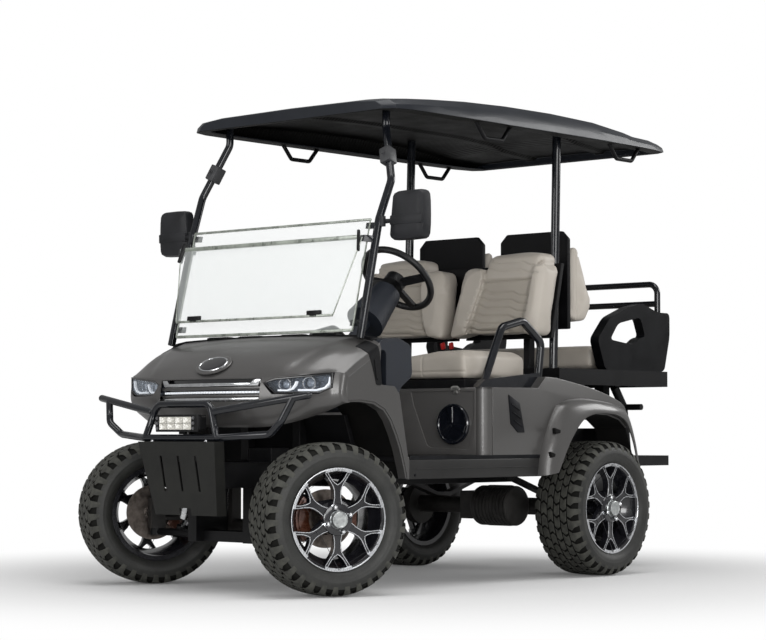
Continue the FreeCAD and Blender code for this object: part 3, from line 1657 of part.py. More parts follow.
def make_headlights():
    """Both lamp units: a wedge whose face follows the nose."""
    lamps = body("headlights")
    plan = [
        (lamp_inner_x, dims.lamp_inner_y),
        (lamp_outer_x, dims.lamp_outer_y),
        (lamp_outer_x - dims.lamp_depth, dims.lamp_outer_y),
        (lamp_inner_x - dims.lamp_depth, dims.lamp_inner_y),
    ]
    unit = pad(lamps, "XY", dims.lamp_low_z, dims.lamp_high_z, plan)
    face = lamp_face(ZERO)
    far = dims.overrun
    above = [
        (face[0][0] - far, face[0][1]),
        face[0],
        face[5],
        face[4],
        (face[4][0] + far, face[4][1]),
        (face[4][0] + far, face[4][1] + far),
        (face[0][0] - far, face[4][1] + far),
    ]
    below = [
        (face[0][0] - far, face[0][1]),
        face[0],
        face[1],
        face[2],
        face[3],
        (face[3][0] + far, face[3][1]),
        (face[3][0] + far, face[1][1] - far),
        (face[0][0] - far, face[1][1] - far),
    ]
    low_x = lamp_outer_x - dims.lamp_depth - far
    high_x = lamp_inner_x + far
    top_cut = pocket(lamps, "YZ", low_x, high_x, above)
    low_cut = pocket(lamps, "YZ", low_x, high_x, below)
    mirrored(lamps, [unit, top_cut, low_cut])
    return lamps


def make_grille():
    """The insert between the headlights: bright upper and lower bars on a dark carrier."""
    grille = body("grille_trim")
    face_x = grille_face_x
    half = dims.lamp_inner_y - dims.grille_side_gap
    low = dims.grille_low_z
    high = dims.grille_top_z
    pad(grille, "YZ", face_x - dims.grille_depth, face_x, box((-half, low), (half, high)))
    bar = dims.grille_bar
    pad(grille, "YZ", face_x, face_x + bar / 2, box((-half, high - bar * 2), (half, high - bar)))
    pad(grille, "YZ", face_x, face_x + bar / 2, box((bar - half, low), (half - bar, low + bar)))
    return grille


make_front_cowl()
make_headlights()
make_grille()


# Bumper guard: welded round tube with a centre hoop, upper side bars and side loops.
GUARD_FOOT_SHARE = 4


def make_guard():
    r = dims.guard_tube
    bend = dims.guard_bend
    foot_z = dims.plate_top_z + r
    hoop = tube(
        [
            point(hoop_foot_x, -dims.hoop_foot_y, foot_z),
            point(hoop_top_x, -dims.hoop_top_y, dims.hoop_top_z),
            point(hoop_top_x, dims.hoop_top_y, dims.hoop_top_z),
            point(hoop_foot_x, dims.hoop_foot_y, foot_z),
        ],
        r,
        bend,
    )
    pieces = [hoop]
    foot_bar = tube(
        [point(hoop_foot_x, -dims.hoop_foot_y, foot_z), point(hoop_foot_x, dims.hoop_foot_y, foot_z)], r
    )
    pieces.append(foot_bar)
    for side in (1, -1):
        join = point(wing_in_x, dims.wing_in_y * side, dims.wing_in_z)
        tip = point(wing_tip_x, dims.wing_tip_y * side, dims.wing_tip_z)
        pieces.append(tube([join, tip], r))
        pieces.append(Part.makeSphere(float(r), tip))
        loop = tube(
            [
                point(hoop_foot_x, dims.hoop_foot_y * side, foot_z),
                point(loop_low_x, dims.loop_low_y * side, dims.loop_low_z),
                point(loop_mid_x, dims.loop_mid_y * side, dims.loop_mid_z),
                point(loop_top_x, dims.loop_top_y * side, dims.loop_top_z),
            ],
            r,
            bend,
        )
        pieces.append(loop)
        arm_y = dims.rail_front_y
        arm = [point(hoop_foot_x, arm_y * side, foot_z), point(rail_front_end - r * 2, arm_y * side, foot_z)]
        pieces.append(tube(arm, r))
        low_y, high_y = sorted((arm_y * side - r, arm_y * side + r), key=float)
        pieces.append(
            block(
                (rail_front_end - r * GUARD_FOOT_SHARE, low_y, dims.rail_top),
                (rail_front_end - r * 2, high_y, foot_z + r / 2),
            )
        )
    return solid_part("brush_guard", fused(pieces))


def channel(front, half):
    """The folded plate's section at one height: a face and two side flanges."""
    wall = dims.plate_thickness
    rear = front - dims.plate_flange
    return [
        (front, -half),
        (front, half),
        (rear, half),
        (rear, half - wall),
        (front - wall, half - wall),
        (front - wall, wall - half),
        (rear, wall - half),
        (rear, -half),
    ]


def make_skid_plate():
    """A folded steel plate that leans back, with side flanges, slots and a notch for the tow eye."""
    skid = body("skid_plate")
    low = (dims.plate_low_z, channel(plate_low_x, dims.plate_low_half))
    high = (dims.plate_top_z, channel(dims.front_reach, dims.plate_top_half))
    loft(skid, "Additive", "XY", (low, high))
    half = dims.plate_top_half
    fold = box((dims.front_reach - dims.plate_flange, -half), (dims.front_reach, half))
    pad(skid, "XY", dims.plate_top_z - dims.plate_thickness, dims.plate_top_z, fold)
    slots = []
    half_slot = dims.slot_width / 2
    for share in SLOT_SHARES:
        y = dims.plate_low_half * share
        slots.append(box((y - half_slot, dims.slot_low_z), (y + half_slot, dims.slot_top_z)))
    notch_top = dims.plate_low_z + dims.notch_rise
    notch = box((-dims.notch_half, dims.plate_low_z - dims.overrun), (dims.notch_half, notch_top))
    back = plate_low_x - dims.plate_flange - dims.overrun
    pocket(skid, "YZ", back, dims.front_reach + dims.overrun, *slots, notch)
    return skid


SLOT_SHARES = (-0.56, 0, 0.56)


def make_light_bar():
    bar = body("light_bar")
    face = dims.front_reach - dims.light_bar_inset
    half = dims.light_bar_half
    housing = box((-half, dims.light_bar_low), (half, dims.light_bar_high))
    pad(bar, "YZ", face - dims.light_bar_depth, face, housing)
    lens = box(
        (dims.light_rim - half, dims.light_bar_low + dims.light_rim),
        (half - dims.light_rim, dims.light_bar_high - dims.light_rim),
    )
    pocket(bar, "YZ", face - dims.light_rim, face + dims.overrun, lens)
    foot_z = dims.plate_top_z + dims.guard_tube * 2
    post = box((-dims.light_rim * 2, foot_z), (dims.light_rim * 2, dims.light_bar_low))
    pad(bar, "YZ", hoop_foot_x - dims.light_rim, hoop_foot_x + dims.light_rim, post)
    return bar


make_guard()
make_skid_plate()
make_light_bar()


# Dash: the black moulding between the cowl and the footwell, with its ends open to view.
DASH_SHARES = ((1.0, 1.0), (0.4, 1.04), (0.0, 0.94), (-0.04, 0.5), (0.36, 0.33), (0.45, 0), (1.0, 0))


def make_dash():
    dash = body("dashboard")
    reach = dims.cowl_rear - dims.dash_rear
    rise = dims.dash_top - dims.dash_low
    outline = [(dims.dash_rear + reach * along, dims.dash_low + rise * up) for along, up in DASH_SHARES]
    half = dims.body_half_width - dims.moulded_wall - dims.running_gap
    pad(dash, "XZ", -half, half, outline)
    tube_x = dims.bulkhead_x
    beam = box(
        (tube_x, dims.dash_low - dims.overrun),
        (tube_x + dims.bulkhead_tube + dims.overrun, dims.bulkhead_top),
    )
    pocket(dash, "XZ", -half - dims.overrun, half + dims.overrun, beam)
    return dash


make_dash()


# Windscreen: a fixed lower pane on the struts, and the upper pane folded down in front of it.
def make_screens():
    thick = dims.screen_thickness
    for name, low, top in (
        (
            "windscreen_lower",
            (dims.screen_low_x, dims.screen_low_z, dims.screen_half_width),
            (dims.screen_top_x, dims.screen_top_z, dims.screen_half_width),
        ),
        (
            "windscreen_upper",
            (dims.folded_low_x, dims.folded_low_z, dims.folded_free_half),
            (dims.folded_top_x, dims.folded_top_z, dims.folded_half_width),
        ),
    ):
        pane = body(name)
        stations = [(z, box((x, -half), (x + thick, half))) for x, z, half in (low, top)]
        loft(pane, "Additive", "XY", stations)


make_screens()


# Canopy: a crowned moulding, hollow below with a turned-in lip and two ribs, and four grab handles.
# Shares at each station: back along the roof, of its half width, and of its height at the shoulder
# and at the crown.
ROOF_STATION_SHARES = (
    (0, 0.86, 0.34, 0.46),
    (0.016, 0.945, 0.4, 0.54),
    (0.055, 0.985, 0.48, 0.66),
    (0.13, 0.995, 0.6, 0.8),
    (0.24, 1, 0.74, 0.92),
    (0.38, 1, 0.84, 0.99),
    (0.54, 1, 0.87, 1),
    (0.7, 1, 0.8, 0.98),
    (0.82, 0.995, 0.6, 0.86),
    (0.862, 0.99, 0.49, 0.66),
    (0.93, 0.98, 0.46, 0.56),
    (0.985, 0.94, 0.4, 0.48),
    (1, 0.86, 0.32, 0.38),
)
ROOF_WALL_SHARE = 0.5
ROOF_HIP_SHARE = 0.72
ROOF_RIB_SHARES = (0.3, 0.33, 0.41, 0.44)


def roof_section(shares):
    """The outer section of the roof at one station."""
    width, shoulder, crown = shares
    rise = dims.roof_crown - dims.roof_low
    half = dims.roof_half_width * width
    shoulder_z = dims.roof_low + rise * shoulder
    crown_z = dims.roof_low + rise * crown
    wall_z = dims.roof_low + (shoulder_z - dims.roof_low) * ROOF_WALL_SHARE
    edge = [
        (half, dims.roof_low),
        (half - dims.roof_edge_inset / 2, wall_z),
        (half - dims.roof_shoulder_inset, shoulder_z),
        (half * ROOF_HIP_SHARE, shoulder_z + (crown_z - shoulder_z) * ROOF_HIP_SHARE),
        (ZERO, crown_z),
    ]
    return edge + [(-y, z) for y, z in edge[-2::-1]]


def roof_hollow(shares):
    """The space under the roof at one station, over the lip and between the ribs."""
    width, shoulder, crown = shares
    rise = dims.roof_crown - dims.roof_low
    half = dims.roof_half_width * width - dims.roof_edge_inset / 2 - dims.roof_skirt
    shoulder_z = dims.roof_low + rise * shoulder - dims.roof_skin
    crown_z = dims.roof_low + rise * crown - dims.roof_skin
    lip_z = dims.roof_low + dims.roof_lip_thickness
    rib_z = dims.roof_rib_height
    start, full, end, rest = [half * share for share in ROOF_RIB_SHARES]
    edge = [
        (half - dims.roof_lip, dims.roof_low - dims.overrun),
        (half - dims.roof_lip, lip_z),
        (half, lip_z),
        (half - dims.roof_shoulder_inset, shoulder_z),
        (rest, crown_z),
        (end, crown_z - rib_z),
        (full, crown_z - rib_z),
        (start, crown_z),
    ]
    return edge + [(-y, z) for y, z in edge[::-1]]


def roof_stations(section, entries):
    length = dims.roof_front - dims.roof_rear
    return [(dims.roof_front - length * along, section(shares)) for along, *shares in entries]


def make_roof():
    roof = body("roof")
    loft(roof, "Additive", "YZ", roof_stations(roof_section, ROOF_STATION_SHARES))
    loft(roof, "Subtractive", "YZ", roof_stations(roof_hollow, ROOF_STATION_SHARES[1:-1]))
    return roof


def make_roof_handles():
    """Four bent tubes that hang from the roof's lip beside the seats."""
    handles = []
    below = block(
        (-dims.rear_reach, -dims.track, dims.screen_low_z),
        (dims.front_reach, dims.track, dims.roof_low),
    )
    y = dims.roof_half_width - dims.roof_edge_inset / 2 - dims.roof_skirt - dims.roof_lip / 2
    for middle_x in (dims.handle_front_x, dims.handle_rear_x):
        for side in (1, -1):
            low_z = dims.roof_low - dims.handle_drop
            path = [
                point(middle_x + dims.handle_half_length, y * side, dims.roof_low + dims.handle_tube),
                point(middle_x + dims.handle_grip_half, y * side, low_z),
                point(middle_x - dims.handle_grip_half, y * side, low_z),
                point(middle_x - dims.handle_half_length, y * side, dims.roof_low + dims.handle_tube),
            ]
            handles.append(tube(path, dims.handle_tube, dims.handle_tube * HANDLE_BEND_SHARE).common(below))
    return solid_part("roof_handles", Part.makeCompound(handles))


HANDLE_BEND_SHARE = 2

make_roof()
make_roof_handles()


# Canopy struts: two bent tubes at the front and two straight posts behind the front bench.
def prism(outline, low_y, high_y):
    """An outline of x and z filled between two places across the cart."""
    corners = [point(x, low_y, z) for x, z in outline]
    return Part.Face(Part.makePolygon(corners + corners[:1])).extrude(Vector(0, float(high_y - low_y), 0))


def pane_x(z):
    """Where the lower pane's rear face stands at a height."""
    rise = (z - dims.screen_low_z) / (dims.screen_top_z - dims.screen_low_z)
    return dims.screen_low_x + (dims.screen_top_x - dims.screen_low_x) * rise


def folded_x(z):
    """Where the folded pane's rear face stands at a height."""
    rise = (z - dims.folded_low_z) / (dims.folded_top_z - dims.folded_low_z)
    return dims.folded_low_x + (dims.folded_top_x - dims.folded_low_x) * rise


def clip_span(side):
    inner = dims.screen_half_width - dims.clip_side
    outer = dims.strut_mid_y
    return (inner, outer) if side > 0 else (-outer, -inner)


def pane_clip(side, z):
    """A clamp on the strut that holds the edge of the lower pane."""
    low, high = clip_span(side)
    top = z + dims.clip_side
    depth = dims.clip_side
    outline = [(pane_x(z), z), (pane_x(top), top), (pane_x(top) - depth, top), (pane_x(z) - depth, z)]
    return prism(outline, low, high)


def hinge_clip(side):
    """The clamp that carries the folded pane in front of the strut, outside the lower pane's edge."""
    low, high = (dims.screen_half_width + dims.fit_gap, dims.strut_mid_y)
    low, high = (low, high) if side > 0 else (-high, -low)
    top = dims.folded_top_z
    z = top - dims.clip_side
    outline = [
        (folded_x(z), z),
        (folded_x(top), top),
        (pane_x(top) - dims.clip_side, top),
        (pane_x(z) - dims.clip_side, z),
    ]
    return prism(outline, low, high)


def make_struts():
    head_z = dims.roof_crown
    doc.recompute()
    cowl = doc.getObject("front_cowl").Shape.copy()
    roof = doc.getObject("roof").Shape.copy()
    for shape in (cowl, roof):
        shape.translate(point(-origin_shift, ZERO, ZERO))
    between = block(
        (-dims.rear_reach, -dims.body_half_width, dims.deck_top),
        (dims.front_reach, dims.body_half_width, head_z),
    )
    pieces = []
    for side in (1, -1):
        path = [
            point(dims.strut_foot_x, dims.strut_foot_y * side, dims.strut_foot_z),
            point(dims.strut_mid_x, dims.strut_mid_y * side, dims.strut_mid_z),
            point(dims.strut_kink_x, dims.strut_kink_y * side, dims.strut_kink_z),
            point(dims.strut_top_x, dims.strut_top_y * side, dims.strut_top_z),
            point(dims.strut_top_x, dims.strut_top_y * side, head_z),
        ]
        strut = tube(path, dims.strut_radius, dims.strut_bend)
        clips = [pane_clip(side, dims.screen_low_z + rise) for rise in (dims.clip_side, dims.clip_rise)]
        clips.append(hinge_clip(side))
        pieces.append(largest(fused([strut] + clips).cut(cowl).cut(roof)))
        foot = point(dims.post_base_x, dims.post_y * side, dims.deck_top)
        head = point(dims.post_top_x, dims.post_y * side, head_z)
        over = (head - foot).normalize() * float(dims.overrun)
        pieces.append(largest(tube([foot - over, head + over], dims.post_radius).common(between).cut(roof)))
    return solid_part("canopy_struts", Part.makeCompound(pieces))


make_struts()


# Mirrors: rounded housings on short arms from the front struts.
def make_mirrors():
    mirrors = body("mirrors")
    half = dims.mirror_height / 2
    inner = mirror_inner_y
    depth = dims.mirror_depth / 2
    head = pad(
        mirrors,
        "YZ",
        dims.mirror_x - depth,
        dims.mirror_x + depth,
        box((inner, dims.mirror_z - half), (mirror_reach, dims.mirror_z + half)),
    )
    doc.recompute()
    edges = [
        "Edge%d" % (i + 1)
        for i, edge in enumerate(head.Shape.Edges)
        if abs(edge.tangentAt(edge.FirstParameter).x) > 0.9
    ]
    rounded = mirrors.newObject("PartDesign::Fillet", "mirror_corners")
    rounded.Base = (head, edges)
    rounded.setExpression("Radius", dims.mirror_round.formula)
    mirrors.Tip = rounded
    arm = pad(
        mirrors,
        "YZ",
        dims.mirror_arm_x - dims.mirror_arm_radius,
        dims.mirror_arm_x + dims.mirror_arm_radius,
        box(
            (mirror_arm_y, dims.mirror_z - dims.mirror_arm_radius),
            (inner + dims.fit_gap, dims.mirror_z + dims.mirror_arm_radius),
        ),
    )
    mirrored(mirrors, [head, rounded, arm])
    return mirrors


make_mirrors()


# Front bench: the cushion, two back cushions, their shells and the frame between the two benches.
def back_place(depth, z):
    """A place in a front backrest, that far behind its slanted face."""
    return dims.back_low_x - depth + slope_run(z), z


def make_front_seats():
    """The bench cushion rises at its ends; each backrest has a crowned middle between two bolsters."""
    cushion = body("front_cushion")
    half = cushion_half_width
    low = dims.seat_ledge_top + dims.running_gap
    top = dims.cushion_top
    crest = [(half * share, top - dims.cushion_dip * dip) for share, dip in CUSHION_CREST_SHARES]
    saddle = [(half, low)] + crest + [(-y, z) for y, z in crest[::-1]] + [(-half, low)]
    pad(cushion, "YZ", dims.cushion_rear, dims.cushion_front, saddle)
    lid_barrels(cushion, front_hinge_x, dims.seat_ledge_top + dims.hinge_rise, dims.cushion_rear)
    backs = body("seat_backs")
    inner = dims.back_inner_y
    outer = back_outer_y
    bolster = dims.bolster_width
    middle = [
        back_place(ZERO, dims.back_low_z),
        back_place(ZERO, dims.back_top_z - dims.bolster_proud),
        back_place(dims.bolster_proud, dims.back_top_z),
        back_place(dims.back_thickness, dims.back_top_z),
        back_place(dims.back_thickness, dims.back_low_z),
    ]
    wing = [
        back_place(-dims.bolster_proud, dims.back_low_z),
        back_place(-dims.bolster_proud, dims.bolster_top - dims.bolster_proud),
        back_place(ZERO, dims.bolster_top),
        back_place(dims.back_thickness, dims.bolster_top),
        back_place(dims.back_thickness, dims.back_low_z),
    ]
    features = [
        pad(backs, "XZ", inner, inner + bolster, wing),
        pad(backs, "XZ", inner + bolster, outer - bolster, middle),
        pad(backs, "XZ", outer - bolster, outer, wing),
    ]
    mirrored(backs, features)
    trim = dims.back_shell_inset
    shell = [
        back_place(dims.back_thickness, dims.back_low_z),
        back_place(dims.back_thickness, dims.bolster_top),
        back_place(dims.back_thickness + dims.shell_thickness, dims.bolster_top),
        back_place(dims.back_thickness + dims.shell_thickness, dims.back_low_z),
    ]
    shells = body("back_shells")
    panel = pad(shells, "XZ", inner + trim, outer - trim, shell)
    mirrored(shells, [panel])


CUSHION_CREST_SHARES = ((1, 0.3), (0.94, 0), (0.62, 0.12), (0.3, 1))


# Corners of a rear backrest: shares of its thickness and of its height.
REAR_BACK_SHARES = ((0, 0), (0, 1), (0.4, 1), (1, 0.6), (1.3, 0.32), (0.8, 0))


def make_rear_seats():
    cushion = body("rear_cushion")
    half = dims.rear_cushion_half
    low = dims.deck_top + dims.running_gap
    outline = box((dims.rear_cushion_rear, low), (dims.rear_cushion_front, dims.rear_cushion_top))
    pad(cushion, "XZ", -half, half, outline)
    lid_barrels(cushion, rear_hinge_x, dims.deck_top + dims.hinge_rise, dims.rear_cushion_front)
    inner = dims.rear_back_inner
    outer = dims.rear_back_outer
    ranges = ((inner, outer), (-outer, -inner))
    front = dims.rear_shell_x - dims.shell_thickness
    low = dims.rear_back_low
    top = dims.rear_back_top
    reach = dims.rear_back_thickness
    backs = body("rear_backs")
    outline = [(front - reach * deep, low + (top - low) * high) for deep, high in REAR_BACK_SHARES]
    for low_y, high_y in ranges:
        pad(backs, "XZ", low_y, high_y, outline)
    shells = body("rear_shells")
    near_y = inner + dims.shell_inset
    far_y = outer - dims.shell_inset
    corner = dims.shell_corner
    head = dims.rear_shell_top
    panel = [
        (near_y, low - dims.shell_thickness),
        (far_y, low - dims.shell_thickness),
        (far_y, head - corner),
        (far_y - corner, head),
        (near_y + corner, head),
        (near_y, head - corner),
    ]
    shell = pad(shells, "YZ", front, dims.rear_shell_x, panel)
    mirrored(shells, [shell])


def make_seat_frame():
    """Two uprights between the benches, with brackets to both rows of shells and a cross bar."""
    frame = body("seat_frame")
    half = dims.seat_post_side / 2
    post_x = dims.seat_post_x
    shell_back = back_place(dims.back_thickness + dims.shell_thickness, dims.back_low_z)[0]
    outlines = []
    for z in (dims.seat_bracket_low, dims.seat_bracket_high):
        low_x = shell_back + slope_run(z)
        high_x = shell_back + slope_run(z + dims.seat_post_side)
        outlines.append(
            [
                (dims.rear_shell_x, z),
                (low_x, z),
                (high_x, z + dims.seat_post_side),
                (dims.rear_shell_x, z + dims.seat_post_side),
            ]
        )
    post = box((post_x - half, dims.deck_top), (post_x + half, dims.seat_bracket_high + dims.seat_post_side))
    features = [pad(frame, "XZ", dims.seat_post_y - half, dims.seat_post_y + half, post)]
    for outline in outlines:
        features.append(pad(frame, "XZ", dims.seat_post_y - half, dims.seat_post_y + half, outline))
    mirrored(frame, features)
    bar = box(
        (post_x - half, dims.seat_bracket_low),
        (post_x + half, dims.seat_bracket_low + dims.seat_post_side),
    )
    pad(frame, "XZ", -dims.seat_post_y, dims.seat_post_y, bar)
    return frame


def slope_run(z):
    """How far a front backrest has leaned back at a height."""
    rise = (z - dims.back_low_z) / (dims.back_top_z - dims.back_low_z)
    return (dims.back_top_x - dims.back_low_x) * rise


make_front_seats()
make_rear_seats()
make_seat_frame()


# Hip restraints: a tube hoop on a moulded foot at each end of the front bench.
HIP_FOOT_SHARES = (3, 2, 4)


def make_hip_restraints():
    pieces = []
    for side in (1, -1):
        y = hip_y * side
        top = dims.box_top
        path = [
            point(dims.hip_front_x, y, top),
            point(dims.hip_rise_x, y, dims.hip_front_z),
            point(dims.hip_top_x, y, dims.hip_top_z),
            point(dims.hip_bend_x, y, dims.hip_bend_z),
            point(dims.hip_rear_x, y, top),
        ]
        hoop = tube(path, dims.hip_tube, dims.guard_bend)
        above = block(
            (dims.box_rear, -dims.body_half_width, top),
            (dims.kick_x + dims.overrun, dims.body_half_width, dims.roof_low),
        )
        low_y, high_y = y - dims.hip_tube, y + dims.hip_tube
        foot = [
            (dims.hip_front_x + dims.hip_tube * HIP_FOOT_SHARES[0], top),
            (dims.hip_front_x, top + dims.hip_tube * HIP_FOOT_SHARES[1]),
            (dims.hip_rear_x, top + dims.hip_tube * HIP_FOOT_SHARES[2]),
            (dims.hip_rear_x, top),
        ]
        pieces.append(fused([hoop, prism(foot, low_y, high_y)]).common(above))
    return solid_part("hip_restraints", Part.makeCompound(pieces))


make_hip_restraints()


# Rear kit: the deck tray with its legs, the armrests, the grab bar and the footrest.
def make_rear_deck():
    deck = body("rear_deck")
    half = dims.deck_half_width
    low = dims.deck_top - dims.deck_skirt
    pad(deck, "XY", low, dims.deck_top, box((dims.deck_rear, -half), (dims.deck_front, half)))
    wall = dims.box_wall
    pocket(
        deck,
        "XY",
        low - dims.overrun,
        dims.deck_top - wall,
        box((dims.deck_rear + wall, wall - half), (dims.deck_front - wall, half - wall)),
    )
    leg_half = dims.rail_width / 2
    legs = []
    for x in (dims.deck_leg_front_x, dims.deck_leg_rear_x):
        legs.append(
            pad(
                deck,
                "XY",
                dims.rail_rear_top,
                dims.deck_top - wall,
                box((x - leg_half, dims.rail_mid_y - leg_half), (x + leg_half, dims.rail_mid_y + leg_half)),
            )
        )
    mirrored(deck, legs)
    hinge_barrels(deck, rear_hinge_x, dims.deck_top + dims.hinge_rise, dims.deck_top)
    return deck


ARM_OUTER_SHARES = (
    (0.02, 0),
    (-0.08, 0.44),
    (0.09, 0.76),
    (0.35, 0.93),
    (0.54, 1),
    (0.72, 0.9),
    (0.77, 0.88),
    (0.93, 0.88),
    (0.93, 0.52),
    (0.85, 0),
)
ARM_HOLE_SHARES = ((0.09, 0.44), (0.2, 0.68), (0.51, 0.79), (0.58, 0.5), (0.5, 0.49), (0.4, 0.38))


def on_arm(shares):
    """Places on an armrest from shares of its length and of its height above the deck."""
    span = dims.arm_rear_x - dims.arm_front_x
    rise = dims.arm_top_z - dims.deck_top
    return [(dims.arm_front_x + span * along, dims.deck_top + rise * up) for along, up in shares]


def make_armrests():
    arms = body("armrests")
    inner = dims.arm_outer_y - dims.arm_thickness
    plate = pad(arms, "XZ", inner, dims.arm_outer_y, on_arm(ARM_OUTER_SHARES))
    hole = pocket(arms, "XZ", inner - dims.overrun, dims.arm_outer_y + dims.overrun, on_arm(ARM_HOLE_SHARES))
    mirrored(arms, [plate, hole])
    return arms


def make_grab_bar():
    half = dims.arm_outer_y - dims.arm_thickness / 2
    foot_z = on_arm(ARM_OUTER_SHARES)[7][1]
    hoop = tube(
        [
            point(dims.grab_x, -half, foot_z),
            point(dims.grab_x, -half, dims.grab_top),
            point(dims.grab_x, half, dims.grab_top),
            point(dims.grab_x, half, foot_z),
        ],
        dims.grab_tube,
        dims.guard_bend,
    )
    middle = [point(dims.grab_x, -half, dims.grab_mid), point(dims.grab_x, half, dims.grab_mid)]
    rail = tube(middle, dims.grab_tube)
    return solid_part("grab_bar", fused([hoop, rail]))


def make_footrest():
    low = dims.foot_plate_top - dims.foot_plate_thickness
    plate = block(
        (-dims.rear_reach, -dims.foot_plate_half, low),
        (dims.foot_plate_front, dims.foot_plate_half, dims.foot_plate_top),
    )
    hollow = block(
        (dims.sheet_wall - dims.rear_reach, dims.sheet_wall - dims.foot_plate_half, low - dims.overrun),
        (
            dims.foot_plate_front - dims.sheet_wall,
            dims.foot_plate_half - dims.sheet_wall,
            dims.foot_plate_top - dims.sheet_wall,
        ),
    )
    pieces = [plate.cut(hollow)]
    top = dims.deck_top - dims.deck_skirt
    for side in (1, -1):
        y = dims.foot_tube_y * side
        path = [
            point(dims.foot_top_x, y, top),
            point(dims.foot_bend_x, y, dims.foot_bend_z),
            point(dims.foot_low_x, y, dims.foot_plate_top - dims.sheet_wall / 2),
        ]
        pieces.append(tube(path, dims.foot_tube, dims.guard_bend))
        low_y, high_y = sorted((y - dims.foot_tube, y + dims.foot_tube), key=float)
        pieces.append(
            block(
                (dims.foot_top_x - dims.foot_tube, low_y, top),
                (dims.foot_top_x + dims.foot_tube, high_y, dims.deck_top - dims.box_wall),
            )
        )
    cross_z = dims.foot_cross_z
    pieces.append(
        tube(
            [
                point(dims.foot_cross_x, -dims.foot_plate_half, cross_z),
                point(dims.foot_cross_x, dims.foot_plate_half, cross_z),
            ],
            dims.guard_tube,
        )
    )
    return solid_part("footrest", fused(pieces))


make_rear_deck()
make_armrests()
make_grab_bar()
make_footrest()
make_steering_column()

doc.recompute()
failed = [item.Name for item in doc.Objects if "Invalid" in item.State or "Error" in item.State]
if failed:
    raise RuntimeError("these objects did not recompute: %s" % ", ".join(failed))
broken = [item.Label for item in parts if item.Shape.isNull() or not item.Shape.isValid()]
if broken:
    raise RuntimeError("these sub-parts have no valid shape: %s" % ", ".join(broken))

os.makedirs("parts", exist_ok=True)
for item in parts:
    item.Shape.exportStep("parts/%s.step" % item.Label)
    print(item.Label, len(item.Shape.Solids), round(item.Shape.Volume))
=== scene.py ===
import json
import math

import bmesh
import bpy
import numpy as np
from mathutils import Matrix, Vector


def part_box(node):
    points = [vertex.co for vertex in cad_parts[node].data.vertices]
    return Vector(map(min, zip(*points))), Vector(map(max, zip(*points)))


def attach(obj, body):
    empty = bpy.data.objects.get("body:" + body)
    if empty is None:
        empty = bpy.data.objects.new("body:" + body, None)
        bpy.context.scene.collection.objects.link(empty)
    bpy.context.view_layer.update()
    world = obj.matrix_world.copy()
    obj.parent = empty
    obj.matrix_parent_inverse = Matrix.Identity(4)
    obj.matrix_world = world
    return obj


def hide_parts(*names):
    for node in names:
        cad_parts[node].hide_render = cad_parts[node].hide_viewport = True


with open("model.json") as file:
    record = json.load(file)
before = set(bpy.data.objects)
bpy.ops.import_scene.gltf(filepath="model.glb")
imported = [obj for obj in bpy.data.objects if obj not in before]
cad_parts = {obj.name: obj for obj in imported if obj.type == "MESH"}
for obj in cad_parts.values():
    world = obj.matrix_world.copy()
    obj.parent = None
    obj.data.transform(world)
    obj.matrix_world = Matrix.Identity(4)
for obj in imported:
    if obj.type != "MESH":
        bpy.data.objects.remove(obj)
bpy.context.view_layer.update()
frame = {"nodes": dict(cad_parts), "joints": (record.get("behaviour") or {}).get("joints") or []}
nodes = frame["nodes"]
joints = {joint["name"]: joint for joint in frame["joints"]}


# Studio: a pale floor under a white sky, soft lamps above and beside the cart, and the camera where
# the photograph was taken from. None of it belongs to the cart.
CAMERA_PLACE = (7.4524, 6.3842, 0.6174)
CAMERA_YAW = math.radians(221.25)
CAMERA_PITCH = math.radians(2.865)
CAMERA_LENS = 106.33
FLOOR_SIZE = 60
FLOOR_COLOUR = (0.66, 0.66, 0.66, 1)
FLOOR_GLOW_SHARE = 0.08
FLOOR_SHADE_RADIUS = 1.3
FLOOR_WHITE_RADIUS = 3.0
SKY_LIGHT = 0.36
LAMPS = (
    ("lamp_top", (1.0, 1.0, 6.5), (0.2, 0.2, 0.9), (5.5, 4.0), 260),
    ("lamp_left", (3.0, 6.5, 2.6), (0.2, 0.0, 0.8), (3.5, 2.5), 145),
    ("lamp_front", (7.5, -1.5, 2.6), (1.0, 0.0, 0.7), (2.5, 2.5), 110),
    ("lamp_fill", (6.0, 5.6, 1.3), (0.0, 0.2, 0.6), (2.4, 1.6), 120),
    ("lamp_behind", (-5.5, 3.0, 3.4), (-0.6, 0.0, 1.0), (3.0, 2.0), 120),
)

scene = bpy.context.scene
scene.view_settings.view_transform = "Standard"

camera_data = bpy.data.cameras.new("camera")
camera_data.lens = CAMERA_LENS
camera_data.sensor_width = 36
camera_data.clip_end = 100
camera = bpy.data.objects.new("camera", camera_data)
camera.location = CAMERA_PLACE
camera.rotation_euler = (math.pi / 2 + CAMERA_PITCH, 0, CAMERA_YAW - math.pi / 2)
scene.collection.objects.link(camera)
scene.camera = camera

world = bpy.data.worlds.new("white_sky")
scene.world = world
world.use_nodes = True
tree = world.node_tree
sky = tree.nodes["Background"]
sky.inputs["Color"].default_value = (1, 1, 1, 1)
rays = tree.nodes.new("ShaderNodeLightPath")
seen = tree.nodes.new("ShaderNodeMath")
seen.operation = "MAXIMUM"
tree.links.new(rays.outputs["Is Camera Ray"], seen.inputs[0])
tree.links.new(rays.outputs["Is Transmission Ray"], seen.inputs[1])
strength = tree.nodes.new("ShaderNodeMapRange")
strength.inputs["To Min"].default_value = SKY_LIGHT
strength.inputs["To Max"].default_value = 1.0
tree.links.new(seen.outputs[0], strength.inputs["Value"])
tree.links.new(strength.outputs[0], sky.inputs["Strength"])

